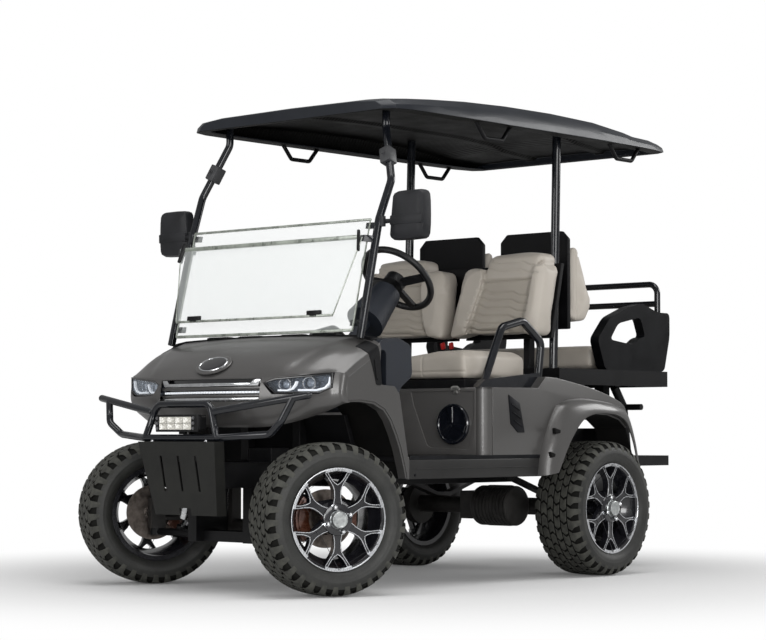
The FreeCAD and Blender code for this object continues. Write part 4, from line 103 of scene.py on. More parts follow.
for name, place, target, size, power in LAMPS:
    lamp = bpy.data.lights.new(name, "AREA")
    lamp.shape = "RECTANGLE"
    lamp.size, lamp.size_y = size
    lamp.energy = power
    holder = bpy.data.objects.new(name, lamp)
    holder.location = place
    holder.rotation_euler = (Vector(target) - Vector(place)).to_track_quat("-Z", "Y").to_euler()
    scene.collection.objects.link(holder)

bm = bmesh.new()
bmesh.ops.create_grid(bm, x_segments=1, y_segments=1, size=FLOOR_SIZE / 2)
mesh = bpy.data.meshes.new("floor")
bm.to_mesh(mesh)
bm.free()
floor = bpy.data.objects.new("floor", mesh)
scene.collection.objects.link(floor)
floor_paint = bpy.data.materials.new("floor_paint")
floor_paint.use_nodes = True
tree = floor_paint.node_tree
shader = tree.nodes["Principled BSDF"]
shader.inputs["Base Color"].default_value = FLOOR_COLOUR
shader.inputs["Roughness"].default_value = 0.9
shader.inputs["Specular IOR Level"].default_value = 0.1
glow = tree.nodes.new("ShaderNodeEmission")
rays = tree.nodes.new("ShaderNodeLightPath")
place = tree.nodes.new("ShaderNodeTexCoord")
away = tree.nodes.new("ShaderNodeVectorMath")
away.operation = "LENGTH"
tree.links.new(place.outputs["Object"], away.inputs[0])
fade = tree.nodes.new("ShaderNodeMapRange")
fade.interpolation_type = "SMOOTHSTEP"
fade.inputs["From Min"].default_value = FLOOR_SHADE_RADIUS
fade.inputs["From Max"].default_value = FLOOR_WHITE_RADIUS
fade.inputs["To Min"].default_value = FLOOR_GLOW_SHARE
tree.links.new(away.outputs["Value"], fade.inputs["Value"])
share = tree.nodes.new("ShaderNodeMath")
share.operation = "MULTIPLY"
tree.links.new(rays.outputs["Is Camera Ray"], share.inputs[0])
tree.links.new(fade.outputs[0], share.inputs[1])
mix = tree.nodes.new("ShaderNodeMixShader")
tree.links.new(share.outputs[0], mix.inputs["Fac"])
tree.links.new(shader.outputs[0], mix.inputs[1])
tree.links.new(glow.outputs[0], mix.inputs[2])
tree.links.new(mix.outputs[0], tree.nodes["Material Output"].inputs["Surface"])
floor.data.materials.append(floor_paint)


# Tyres: all-terrain rubber on the four rims. A moulded carcass carries raised tread: two rows of
# zig-zag blocks on each side of the middle groove, and shoulder lugs that wrap down the sidewall.
# Sidewall, grooves and the blocks' crowns have a finish each, from dark to dusty: the grooves and the blocks' flanks
# are darkened as painted shade, and the crowns' lighter tone is dust and wear with painted light on the tops.
TYRE_SECTION = (
    (0.0, 0.2835), (0.05, 0.2828), (0.08, 0.2812), (0.095, 0.2785), (0.106, 0.272), (0.113, 0.263),
    (0.118, 0.252), (0.1205, 0.239), (0.1208, 0.2365), (0.1195, 0.2335), (0.1195, 0.226), (0.1185, 0.2225),
    (0.1155, 0.213), (0.1085, 0.2045), (0.1035, 0.2005), (0.1, 0.1955), (0.092, 0.1825),
)
TYRE_LINING = ((0.08, 0.184), (0.1, 0.212), (0.108, 0.238), (0.095, 0.262), (0.07, 0.272), (0.0, 0.2745))
TREAD_PITCHES = 34
TREAD_DEPTH = 0.0085
TREAD_SQUEEZE = 0.977
SHADED_GROOVE_RADIUS = 0.266
TREAD_BLOCKS = (
    (0.0, ((0.003, 0.0), (0.015, 0.0125), (0.0315, 0.004), (0.0315, 0.0475), (0.015, 0.056), (0.003, 0.0435))),
    (0.5, ((0.0365, 0.0), (0.052, 0.0135), (0.067, 0.0055), (0.067, 0.049), (0.052, 0.057), (0.0365, 0.0435))),
    (
        0.2,
        (
            (0.072, 0.0), (0.088, 0.0115), (0.133, 0.0125), (0.133, 0.0335), (0.1, 0.0405), (0.088, 0.053),
            (0.072, 0.0435)
        )
    ),
)
TREAD_FOLDS = (0.08, 0.092, 0.099, 0.106, 0.112, 0.119, 0.126)
TREAD_END = TYRE_SECTION[8]
TREAD_RADIUS = 0.29
TREAD_ROOT = -0.002
TREAD_EDGE = 0.0016
EDGE_HEIGHT = 0.82
LUG_END = 0.132
SHOULDER_START = 0.1
SHOULDER_RUN = 0.045
SHOULDER_LEAST = 0.35


def new_finish(name):
    """A material with its node tree and its shader at hand."""
    made = bpy.data.materials.new(name)
    made.use_nodes = True
    return made, made.node_tree, made.node_tree.nodes["Principled BSDF"]


def noise_at(tree, scale, detail=2.0, rough=0.5, stretch=(1, 1, 1)):
    """Noise over the object's own coordinates, in points per metre."""
    place = tree.nodes.new("ShaderNodeTexCoord")
    mapping = tree.nodes.new("ShaderNodeMapping")
    mapping.inputs["Scale"].default_value = stretch
    tree.links.new(place.outputs["Object"], mapping.inputs["Vector"])
    grain = tree.nodes.new("ShaderNodeTexNoise")
    grain.inputs["Scale"].default_value = scale
    grain.inputs["Detail"].default_value = detail
    grain.inputs["Roughness"].default_value = rough
    tree.links.new(mapping.outputs[0], grain.inputs["Vector"])
    return grain.outputs["Fac"]


def spread(tree, source, low, high, start=0.3, end=0.7):
    """Turn a noise into a value between two limits."""
    made = tree.nodes.new("ShaderNodeMapRange")
    made.inputs["From Min"].default_value = start
    made.inputs["From Max"].default_value = end
    made.inputs["To Min"].default_value = low
    made.inputs["To Max"].default_value = high
    tree.links.new(source, made.inputs["Value"])
    return made.outputs[0]


def tinted(tree, source, first, second, start=0.35, end=0.65):
    """Blend two colours by a noise."""
    made = tree.nodes.new("ShaderNodeValToRGB")
    made.color_ramp.elements[0].position = start
    made.color_ramp.elements[0].color = (*first, 1)
    made.color_ramp.elements[1].position = end
    made.color_ramp.elements[1].color = (*second, 1)
    tree.links.new(source, made.inputs["Fac"])
    return made.outputs["Color"]


def raised(tree, shader, source, strength, distance):
    """Let a pattern raise the surface."""
    made = tree.nodes.new("ShaderNodeBump")
    made.inputs["Strength"].default_value = strength
    made.inputs["Distance"].default_value = distance
    tree.links.new(source, made.inputs["Height"])
    tree.links.new(made.outputs[0], shader.inputs["Normal"])


def worn_finish(name, first, second, rough, grain, height, patch=6.0, metal=0.0, coat=0.0, shine=0.5):
    """Paint, plastic, rubber or metal: patches of colour and gloss, and a fine raised grain."""
    made, tree, shader = new_finish(name)
    patches = noise_at(tree, patch, 4.0, 0.6)
    fine = noise_at(tree, grain, 3.0, 0.6)
    tree.links.new(tinted(tree, patches, first, second), shader.inputs["Base Color"])
    tree.links.new(spread(tree, patches, rough[0], rough[1]), shader.inputs["Roughness"])
    shader.inputs["Metallic"].default_value = metal
    shader.inputs["Coat Weight"].default_value = coat
    shader.inputs["Coat Roughness"].default_value = 0.08
    shader.inputs["Specular IOR Level"].default_value = shine
    if height:
        raised(tree, shader, fine, 0.5, height)
    return made


def built(name, bm, body, finishes, crease=35.0, standing_for=()):
    """Finish a mesh as a piece that rides on a body."""
    mesh = bpy.data.meshes.new(name)
    bm.to_mesh(mesh)
    bm.free()
    for polygon in mesh.polygons:
        polygon.use_smooth = True
    mesh.set_sharp_from_angle(angle=math.radians(crease))
    made = bpy.data.objects.new(name, mesh)
    scene.collection.objects.link(made)
    for finish in finishes:
        mesh.materials.append(finish)
    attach(made, body)
    if standing_for:
        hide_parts(*standing_for)
    return made


def profile_ring(bm, section, steps):
    """Turn a closed section, as (along the axis, radius), about the Y axis."""
    verts = [bm.verts.new((0, y, r)) for y, r in section]
    edges = [bm.edges.new((verts[i], verts[(i + 1) % len(verts)])) for i in range(len(verts))]
    return bmesh.ops.spin(
        bm, geom=verts + edges, cent=(0, 0, 0), axis=(0, 1, 0), angle=math.tau, steps=steps, use_merge=True
    )


def cleaned(bm, near=1e-5):
    """Join doubled corners and turn the faces outwards."""
    bmesh.ops.remove_doubles(bm, verts=bm.verts, dist=near)
    bmesh.ops.recalc_face_normals(bm, faces=bm.faces)


def tread_place(across, height):
    """A place on the carcass, by its distance from the middle along the section and its height."""
    left = abs(across)
    for (y0, r0), (y1, r1) in zip(TYRE_SECTION, TYRE_SECTION[1:]):
        run = math.hypot(y1 - y0, r1 - r0)
        if left <= run or (y1, r1) == TREAD_END:
            break
        left -= run
    share = left / run
    out_y, out_r = -(r1 - r0) / run, (y1 - y0) / run
    y = y0 + (y1 - y0) * share + out_y * height
    return math.copysign(y, across), r0 + (r1 - r0) * share + out_r * height


def tread_blocks(bm):
    """Raise every block of the tread as a flat slab, then bend it round the carcass."""
    pitch = math.tau / TREAD_PITCHES
    for side in (1, -1):
        for start, corners in TREAD_BLOCKS:
            slab = bmesh.new()
            face = slab.faces.new([slab.verts.new((along, across, 0)) for across, along in corners])
            top = bmesh.ops.extrude_face_region(slab, geom=[face])["geom"]
            lifted = [v for v in top if isinstance(v, bmesh.types.BMVert)]
            bmesh.ops.translate(slab, verts=lifted, vec=(0, 0, 1))
            rims = [e for e in slab.edges if all(v.co.z > 0.5 for v in e.verts)]
            bmesh.ops.bevel(
                slab, geom=rims, offset=TREAD_EDGE, segments=1, profile=0.5, affect="EDGES", material=-1,
                clamp_overlap=True,
            )
            for fold in TREAD_FOLDS:
                if corners[0][0] < fold < LUG_END:
                    every = slab.verts[:] + slab.edges[:] + slab.faces[:]
                    bmesh.ops.bisect_plane(slab, geom=every, plane_co=(0, fold, 0), plane_no=(0, 1, 0))
            bmesh.ops.recalc_face_normals(slab, faces=slab.faces)
            # Block tops take the crown finish, lighter with dust and wear and with painted light; the flanks take the
            # groove finish, darkened as painted shade.
            for f in slab.faces:
                f.material_index = 2 if f.normal.z > 0.3 else 1
            ceiling = max(v.co.z for v in slab.verts)
            for v in slab.verts:
                reach = v.co.y
                past = (reach - SHOULDER_START) / SHOULDER_RUN
                taper = 1.0 if reach < SHOULDER_START else max(SHOULDER_LEAST, 1.0 - past)
                full = 1 if v.co.z >= ceiling - 1e-6 else EDGE_HEIGHT
                height = TREAD_ROOT if v.co.z <= 0 else TREAD_DEPTH * taper * full
                y, r = tread_place(reach, height)
                y *= TREAD_SQUEEZE
                angle = v.co.x / TREAD_RADIUS * side + (start + (0.5 if side < 0 else 0)) * pitch
                v.co = (math.sin(angle) * r, y * side, math.cos(angle) * r)
            bmesh.ops.recalc_face_normals(slab, faces=slab.faces)
            block = bpy.data.meshes.new("block")
            slab.to_mesh(block)
            slab.free()
            for turn in range(TREAD_PITCHES):
                before = len(bm.verts)
                bm.from_mesh(block)
                bm.verts.ensure_lookup_table()
                bmesh.ops.rotate(
                    bm, verts=bm.verts[before:], cent=(0, 0, 0), matrix=Matrix.Rotation(turn * pitch, 3, "Y")
                )
            bpy.data.meshes.remove(block)


sidewall_rubber, tree, shader = new_finish("tyre_rubber")
patches = noise_at(tree, 9.0, 5.0, 0.65)
dust = noise_at(tree, 240.0, 3.0, 0.6)
tree.links.new(tinted(tree, patches, (0.011, 0.0112, 0.0102), (0.024, 0.0242, 0.0215)), shader.inputs["Base Color"])
tree.links.new(spread(tree, dust, 0.46, 0.66), shader.inputs["Roughness"])
raised(tree, shader, dust, 0.55, 0.0006)
# The groove finish is painted shade between and beside the blocks; the crown finish is dust and wear together with
# painted light on the blocks' tops.
groove_painted_shade = worn_finish(
    "tyre_groove", (0.005, 0.005, 0.0045), (0.011, 0.011, 0.0098), (0.8, 0.95), 240, 0.0006, patch=20, shine=0.1
)
crown_dust_and_light = worn_finish(
    "tyre_crown", (0.026, 0.0262, 0.0225), (0.060, 0.060, 0.051), (0.6, 0.85), 240, 0.0008, patch=34, shine=0.4
)

bm = bmesh.new()
section = list(TYRE_SECTION[::-1]) + [(-y, r) for y, r in TYRE_SECTION[1:]]
lining = [(-y, r) for y, r in TYRE_LINING] + [(y, r) for y, r in TYRE_LINING[-2::-1]]
profile_ring(bm, section + lining, 96)
cleaned(bm, 1e-6)
# Carcass faces out in the tread band take the groove finish: painted shade between the blocks.
for f in bm.faces:
    middle = f.calc_center_median()
    f.material_index = 1 if math.hypot(middle.x, middle.z) > SHADED_GROOVE_RADIUS else 0
tread_blocks(bm)
tyre_form = bpy.data.meshes.new("tyre_form")
bm.to_mesh(tyre_form)
bm.free()

WHEELS = (("front_left", 1), ("front_right", -1), ("rear_left", 1), ("rear_right", -1))
WHEEL_HEIGHT = 0.292


def wheel_matrix(word, side):
    """Where a wheel stands: its own Y axis lies along its spin axis, its face outwards."""
    low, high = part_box("tyre_%s" % word)
    middle = (Vector(low) + Vector(high)) / 2
    middle.z = WHEEL_HEIGHT
    axis = Vector(joints["spin_%s" % word]["axis"]) * side
    turn = math.atan2(-axis.x, axis.y)
    return Matrix.Translation(middle) @ Matrix.Rotation(turn, 4, "Z")


for word, side in WHEELS:
    bm = bmesh.new()
    bm.from_mesh(tyre_form)
    bmesh.ops.transform(bm, verts=bm.verts, matrix=wheel_matrix(word, side))
    built(
        "tread_%s" % word, bm, "wheel_%s" % word, [sidewall_rubber, groove_painted_shade, crown_dust_and_light], 32,
        ["tyre_%s" % word]
    )


# Rims: cast alloy, painted gloss black and machined bright on the spokes' edges and on six segments of
# the lip. Six forked spokes run from the hub to the lip; the hub carries four chrome nuts and a cap.
SPOKE_EDGE = (
    (0.050, 0.020), (0.082, 0.0155), (0.106, 0.0155), (0.122, 0.0195), (0.138, 0.029), (0.155, 0.041), (0.1765, 0.0545),
)
SPOKE_CROTCH = ((0.180, 0.0395), (0.163, 0.0295), (0.149, 0.0195), (0.139, 0.0085))
BARREL_SECTION = (
    (0.1045, 0.1955), (0.1048, 0.1925), (0.1030, 0.1908), (0.0985, 0.1880), (0.0960, 0.1835), (0.0700, 0.1765),
    (0.0400, 0.1520), (-0.0400, 0.1520), (-0.0780, 0.1700), (-0.1030, 0.1760), (-0.1040, 0.1950), (-0.0970, 0.1950),
    (-0.0920, 0.1820), (-0.0740, 0.1800), (-0.0400, 0.1580), (0.0400, 0.1580), (0.0740, 0.1800), (0.0920, 0.1820),
    (0.0970, 0.1950),
)
HUB_SECTION = (
    (-0.0440, 0.0165), (-0.0440, 0.0340), (0.0600, 0.0340), (0.0640, 0.0600), (0.0900, 0.0620), (0.0955, 0.0590),
    (0.0985, 0.0520), (0.0985, 0.0400), (0.1010, 0.0372), (0.1010, 0.0165),
)
CAP_SECTION = (
    (0.0980, 0.0001), (0.0980, 0.0355), (0.1010, 0.0352), (0.1040, 0.0328), (0.1165, 0.0322), (0.1195, 0.0312),
    (0.1210, 0.0290), (0.1212, 0.0262), (0.1200, 0.0250), (0.1200, 0.0001),
)
DISC_SECTION = (
    (-0.0240, 0.0280), (-0.0240, 0.1120), (-0.0160, 0.1120), (-0.0160, 0.0620), (0.0100, 0.0560),
    (0.0100, 0.0280)
)
NUT_CIRCLE = 0.0495
OUTWARD = Matrix.Rotation(math.radians(-90), 4, "X")
SPOKES = 6
SPOKE_DEPTHS = (0.064, 0.0915)
LIP_DEPTHS = (0.095, 0.1040)
LIP_RADII = (0.1828, 0.1935)
LIP_HALF_ANGLE = 17.0
LIP_STEPS = 10
GLOSS, BRIGHT, CHROME, IRON, CAP = range(5)

rim_gloss = worn_finish(
    "rim_gloss_black", (0.006, 0.006, 0.008), (0.011, 0.011, 0.014), (0.16, 0.26), 420, 0.0001, patch=14,
    coat=0.7
)
machined, tree, shader = new_finish("machined_alloy")
turned = noise_at(tree, 60.0, 3.0, 0.7, (1, 14, 1))
tree.links.new(tinted(tree, turned, (0.50, 0.51, 0.53), (0.72, 0.73, 0.75)), shader.inputs["Base Color"])
tree.links.new(spread(tree, turned, 0.20, 0.36), shader.inputs["Roughness"])
shader.inputs["Metallic"].default_value = 0.9
raised(tree, shader, turned, 0.2, 0.0001)
chrome = worn_finish(
    "wheel_chrome", (0.62, 0.63, 0.65), (0.78, 0.79, 0.80), (0.08, 0.2), 500, 0.00005, patch=30, metal=1.0
)
disc_iron = worn_finish(
    "brake_disc_iron", (0.10, 0.085, 0.075), (0.20, 0.17, 0.15), (0.3, 0.5), 700, 0.0002, patch=40, metal=0.9
)
cap_silver = worn_finish(
    "cap_silver", (0.40, 0.42, 0.42), (0.60, 0.62, 0.61), (0.25, 0.42), 160, 0.0008, patch=55, metal=0.9
)


def faces_at(verts):
    """The faces that meet at some corners."""
    return list({f for v in verts for f in v.link_faces})


def painted(faces, finish):
    """Give faces one of their piece's finishes."""
    for f in faces:
        f.material_index = finish


def flat_slab(bm, outline, low, high, finish):
    """A flat plate in the wheel's face plane, from one depth to another."""
    face = bm.faces.new([bm.verts.new((x, low, z)) for x, z in outline])
    grown = bmesh.ops.extrude_face_region(bm, geom=[face])["geom"]
    verts = [v for v in grown if isinstance(v, bmesh.types.BMVert)]
    bmesh.ops.translate(bm, verts=verts, vec=(0, high - low, 0))
    top = [f for f in grown if isinstance(f, bmesh.types.BMFace)][0]
    painted(faces_at(verts) + [face], finish)
    return top


def make_spoke(bm):
    """One forked spoke: a black casting with a bright machined edge round a sunk middle."""
    edge = [(-t, r) for r, t in SPOKE_EDGE] + [(-t, r) for r, t in SPOKE_CROTCH]
    outline = edge + [(0.0, 0.1335)] + [(-x, z) for x, z in edge[::-1]]
    top = flat_slab(bm, outline, *SPOKE_DEPTHS, GLOSS)
    flat = bmesh.ops.inset_region(bm, faces=[top], thickness=0.0014, depth=0.0018)["faces"]
    painted(flat, GLOSS)
    line = bmesh.ops.inset_region(bm, faces=[top], thickness=0.0030, depth=0.0)["faces"]
    painted(line, BRIGHT)
    bmesh.ops.inset_region(bm, faces=[top], thickness=0.0009, depth=-0.0022)
    top.material_index = GLOSS


def lip_segment(bm):
    """A bright segment of the lip between a spoke's two tips, with its rivet."""
    half = math.radians(LIP_HALF_ANGLE)
    inner, outer = LIP_RADII
    angles = [half * (2 * i / LIP_STEPS - 1) for i in range(LIP_STEPS + 1)]
    outline = [(math.sin(a) * outer, math.cos(a) * outer) for a in angles]
    outline += [(math.sin(a) * inner, math.cos(a) * inner) for a in angles[::-1]]
    top = flat_slab(bm, outline, *LIP_DEPTHS, BRIGHT)
    bmesh.ops.inset_region(bm, faces=[top], thickness=0.0008, depth=0.0007)
    rivet = bmesh.ops.create_cone(
        bm, cap_ends=True, segments=10, radius1=0.0019, radius2=0.0015, depth=0.0022,
        matrix=Matrix.Translation((0, 0.1052, 0.1880)) @ OUTWARD,
    )
    painted(faces_at(rivet["verts"]), GLOSS)


def make_nut(bm, angle):
    """A chrome lug nut with a domed end."""
    place = Matrix.Rotation(angle, 4, "Y") @ Matrix.Translation((0, 0.104, NUT_CIRCLE)) @ OUTWARD
    for sides, wide, tall, low in ((20, 0.0125, 0.003, -0.0095), (6, 0.0102, 0.016, 0.0)):
        made = bmesh.ops.create_cone(
            bm, cap_ends=True, segments=sides, radius1=wide, radius2=wide * 0.94, depth=tall,
            matrix=place @ Matrix.Translation((0, 0, low)),
        )
        painted(faces_at(made["verts"]), CHROME)
    dome = bmesh.ops.create_uvsphere(
        bm, u_segments=14, v_segments=8, radius=0.0088, matrix=place @ Matrix.Translation((0, 0, 0.006))
    )
    painted(faces_at(dome["verts"]), CHROME)


def turned_part(section, finish, steps=48):
    """A turned part of the wheel as a mesh of its own."""
    bm = bmesh.new()
    profile_ring(bm, section, steps)
    cleaned(bm)
    painted(bm.faces, finish)
    mesh = bpy.data.meshes.new("turned")
    bm.to_mesh(mesh)
    bm.free()
    return mesh


def rim_form(with_disc):
    """A whole rim: barrel, spokes, lip, nuts, hub and cap, and a brake disc in front."""
    bm = bmesh.new()
    profile_ring(bm, BARREL_SECTION, 96)
    for f in bm.faces:
        f.material_index = BRIGHT if f.calc_center_median().y > 0.1038 else GLOSS
    for spoke in range(SPOKES):
        bm.verts.ensure_lookup_table()
        before = len(bm.verts)
        make_spoke(bm)
        lip_segment(bm)
        bm.verts.ensure_lookup_table()
        turn = Matrix.Rotation(spoke * math.tau / SPOKES, 3, "Y")
        bmesh.ops.rotate(bm, verts=bm.verts[before:], cent=(0, 0, 0), matrix=turn)
    for nut in range(4):
        make_nut(bm, math.radians(20 + 90 * nut))
    cleaned(bm, 1e-6)
    parts = [turned_part(HUB_SECTION, GLOSS), turned_part(CAP_SECTION, CAP)]
    if with_disc:
        parts.append(turned_part(DISC_SECTION, IRON, 64))
    for part in parts:
        bm.from_mesh(part)
        bpy.data.meshes.remove(part)
    return bm


for word, side in WHEELS:
    bm = rim_form(word.startswith("front"))
    bmesh.ops.transform(bm, verts=bm.verts, matrix=wheel_matrix(word, side))
    built(
        "alloy_%s" % word, bm, "wheel_%s" % word, [rim_gloss, machined, chrome, disc_iron, cap_silver],
        30, ["rim_%s" % word],
    )


# Front cowl: one thick moulding with the hood, the nose and both fenders, in metallic paint. A raised
# panel runs up the middle of the hood. It hangs on the bulkhead hoop and is open below and behind.
HOOD_Y = (0.0, 0.15, 0.288, 0.40, 0.48, 0.53, 0.56, 0.580, 0.593, 0.5988)
HOOD_ROWS = (
    ((0.640, 1.003), (0.730, 0.988), (0.820, 0.962), (0.895, 0.925), (0.950, 0.885), (0.985, 0.850), (1.003, 0.834)),
    ((0.640, 1.002), (0.730, 0.986), (0.820, 0.960), (0.893, 0.923), (0.946, 0.884), (0.981, 0.850), (0.998, 0.834)),
    ((0.640, 0.999), (0.730, 0.981), (0.816, 0.953), (0.884, 0.917), (0.932, 0.880), (0.958, 0.851), (0.972, 0.836)),
    ((0.640, 0.996), (0.728, 0.974), (0.802, 0.948), (0.860, 0.914), (0.906, 0.880), (0.932, 0.856), (0.946, 0.842)),
    ((0.640, 0.993), (0.722, 0.968), (0.790, 0.943), (0.838, 0.916), (0.875, 0.886), (0.902, 0.862), (0.922, 0.845)),
    ((0.640, 0.986), (0.710, 0.960), (0.770, 0.934), (0.813, 0.909), (0.850, 0.882), (0.877, 0.862), (0.897, 0.850)),
    ((0.640, 0.980), (0.700, 0.953), (0.755, 0.927), (0.795, 0.904), (0.830, 0.880), (0.856, 0.862), (0.875, 0.852)),
    ((0.640, 0.971), (0.694, 0.943), (0.746, 0.915), (0.783, 0.895), (0.815, 0.875), (0.839, 0.859), (0.856, 0.849)),
    ((0.640, 0.963), (0.691, 0.934), (0.742, 0.904), (0.776, 0.886), (0.806, 0.868), (0.828, 0.853), (0.845, 0.844)),
    ((0.640, 0.942), (0.688, 0.912), (0.736, 0.882), (0.768, 0.866), (0.796, 0.850), (0.816, 0.838), (0.830, 0.832)),
)
FACE_ROWS = (
    ((1.003, 0.834), (1.012, 0.800), (1.020, 0.752), (1.016, 0.700), (1.004, 0.655), (0.990, 0.640)),
    ((0.998, 0.834), (1.007, 0.800), (1.014, 0.752), (1.010, 0.700), (0.998, 0.655), (0.985, 0.640)),
    ((0.972, 0.836), (0.983, 0.802), (0.990, 0.752), (0.986, 0.700), (0.974, 0.657), (0.960, 0.642)),
    ((0.946, 0.842), (0.955, 0.806), (0.960, 0.754), (0.952, 0.706), (0.938, 0.672), (0.925, 0.660)),
    ((0.922, 0.845), (0.928, 0.812), (0.930, 0.757), (0.920, 0.715), (0.905, 0.692), (0.892, 0.684)),
    ((0.897, 0.850), (0.903, 0.816), (0.906, 0.760), (0.897, 0.725), (0.884, 0.708), (0.872, 0.702)),
    ((0.875, 0.852), (0.884, 0.817), (0.888, 0.765), (0.880, 0.737), (0.868, 0.722), (0.856, 0.717)),
    ((0.856, 0.849), (0.864, 0.815), (0.868, 0.768), (0.862, 0.745), (0.852, 0.732), (0.842, 0.728)),
    ((0.845, 0.844), (0.854, 0.811), (0.858, 0.769), (0.852, 0.748), (0.843, 0.736), (0.834, 0.732)),
    ((0.830, 0.832), (0.838, 0.804), (0.840, 0.770), (0.836, 0.751), (0.829, 0.739), (0.821, 0.735)),
)
HOOD_PANEL_RISE = 0.005


def along_curve(points, t):
    """A point on a smooth curve through the given ones, which are one step apart."""
    last = len(points) - 1
    i = max(0, min(int(t), last - 1))
    u = t - i
    a, b, c, d = (Vector(points[max(0, min(last, i + k))]) for k in (-1, 0, 1, 2))
    bend = (a - b * 2.5 + c * 2 - d * 0.5) * u * u
    return b + (c - a) * 0.5 * u + bend + ((b - c) * 1.5 + (d - a) * 0.5) * u ** 3


def blended(table, along, across):
    """A point between the table's entries, on smooth curves both ways."""
    return along_curve([along_curve(row, along) for row in table], across)


def smooth_step(low, high, value):
    """A share that eases from 0 to 1 between two limits."""
    t = max(0.0, min(1.0, (value - low) / (high - low)))
    return t * t * (3 - 2 * t)


def hood_skin(bm, table, fine_along, fine_across, rise=0.0):
    """A smooth skin through the table's rows, from the middle out to one side and its mirror."""
    last = len(table[0]) - 1
    made = bmesh.ops.create_grid(
        bm, x_segments=last * fine_along, y_segments=(len(table) - 1) * fine_across * 2, size=0.5
    )
    for v in made["verts"]:
        along = (v.co.x + 0.5) * last
        share = v.co.y * 2 * (len(table) - 1)
        x, z = blended(table, along, abs(share))
        reach = blended([((y, 0), (y, 0)) for y in HOOD_Y], 0.0, abs(share))[0]
        crease = 0.50 - (x - 0.640) * 0.42
        z += rise * smooth_step(crease + 0.012, crease - 0.012, reach) * smooth_step(0.0, 1.2, last - along)
        v.co = (x, math.copysign(reach, share), z)


def inside(outline, a, b):
    """Whether a point lies inside a flat outline."""
    crossings = 0
    for (a0, b0), (a1, b1) in zip(outline, outline[1:] + outline[:1]):
        if (b0 > b) != (b1 > b) and a < a0 + (b - b0) / (b1 - b0) * (a1 - a0):
            crossings += 1
    return crossings % 2 == 1


def open_window(bm, outline, front):
    """Cut an opening through the skin, along an outline seen from ahead."""
    outline = list(outline)
    ys, zs = zip(*outline)

    def near():
        """The faces round the opening."""
        found = []
        for f in bm.faces:
            c = f.calc_center_median()
            if c.x > front and min(ys) - 0.01 < c.y < max(ys) + 0.01 and min(zs) - 0.01 < c.z < max(zs) + 0.01:
                found.append(f)
        return found

    for (y0, z0), (y1, z1) in zip(outline, outline[1:] + outline[:1]):
        faces = near()
        geometry = faces + list({e for f in faces for e in f.edges}) + list({v for f in faces for v in f.verts})
        bmesh.ops.bisect_plane(
            bm, geom=geometry, dist=1e-6, plane_co=(0, y0, z0), plane_no=Vector((0, z1 - z0, y0 - y1)).normalized()
        )
    gone = [f for f in near() if inside(outline, f.calc_center_median().y, f.calc_center_median().z)]
    bmesh.ops.delete(bm, geom=gone, context="FACES")


def slab_edges(bm, width, angle=30.0, steps=2):
    """Round the sharp edges of a mesh."""
    sharp = [e for e in bm.edges if e.is_manifold and e.calc_face_angle(0) > math.radians(angle)]
    bmesh.ops.bevel(
        bm, geom=sharp, offset=width, offset_type="OFFSET", segments=steps, profile=0.5, affect="EDGES",
        material=-1, clamp_overlap=True,
    )


def plate(bm, outline, low, high, plane, width=0.0, steps=2, finish=0):
    """A flat piece with rounded edges, from its outline in a plane and its two faces."""
    own = bmesh.new()
    places = {"YZ": lambda a, b: (low, a, b), "XZ": lambda a, b: (a, low, b), "XY": lambda a, b: (a, b, low)}[plane]
    face = own.faces.new([own.verts.new(places(a, b)) for a, b in outline])
    grown = bmesh.ops.extrude_face_region(own, geom=[face])["geom"]
    way = {"YZ": (high - low, 0, 0), "XZ": (0, high - low, 0), "XY": (0, 0, high - low)}[plane]
    bmesh.ops.translate(own, verts=[v for v in grown if isinstance(v, bmesh.types.BMVert)], vec=way)
    bmesh.ops.recalc_face_normals(own, faces=own.faces)
    if width:
        slab_edges(own, width, 30.0, steps)
    painted(own.faces, finish)
    join(bm, own)


def join(bm, own):
    """Add a finished mesh to another."""
    mesh = bpy.data.meshes.new("own")
    own.to_mesh(mesh)
    own.free()
    bm.from_mesh(mesh)
    bpy.data.meshes.remove(mesh)


SHIFT = 0.2254


def set_back(points):
    """Move side-view points from the middle of the wheelbase to the frame's origin."""
    return [(x + SHIFT, z) for x, z in points]


def taupe(name, lift):
    """Metallic taupe paint: fine flake in slow clouds of tone, under a thin clear coat. A lift above 1 brightens the
    paint as painted light.
    """
    made, tree, shader = new_finish(name)
    flake = noise_at(tree, 1800.0, 2.0, 0.8)
    cloud = noise_at(tree, 2.2, 3.0, 0.5)
    shades = [[part * lift for part in shade] for shade in TAUPE_SHADES]
    mixed = tree.nodes.new("ShaderNodeMix")
    mixed.data_type = "RGBA"
    tree.links.new(tinted(tree, flake, shades[0], shades[1], 0.3, 0.7), mixed.inputs[6])
    tree.links.new(tinted(tree, cloud, shades[2], shades[3]), mixed.inputs[7])
    tree.links.new(spread(tree, cloud, 0.4, 0.6), mixed.inputs[0])
    tree.links.new(mixed.outputs[2], shader.inputs["Base Color"])
    tree.links.new(spread(tree, cloud, 0.33, 0.40), shader.inputs["Roughness"])
    shader.inputs["Metallic"].default_value = 0.35
    shader.inputs["Coat Weight"].default_value = 0.35
    shader.inputs["Coat Roughness"].default_value = 0.12
    return made


TAUPE_SHADES = ((0.056, 0.0545, 0.053), (0.102, 0.0985, 0.096), (0.070, 0.0675, 0.0655), (0.082, 0.079, 0.0765))
body_paint = taupe("metallic_taupe", 1.0)
liner_black = worn_finish(
    "liner_black", (0.003, 0.003, 0.003), (0.007, 0.0065, 0.006), (0.7, 0.9), 260, 0.0006, patch=8, shine=0.15
)

LAMP_OUTLINE = ((0.288, 0.812), (0.334, 0.767), (0.520, 0.767), (0.566, 0.790), (0.566, 0.850), (0.334, 0.829))
GRILLE_OUTLINE = ((-0.280, 0.740), (0.280, 0.740), (0.280, 0.829), (-0.280, 0.829))

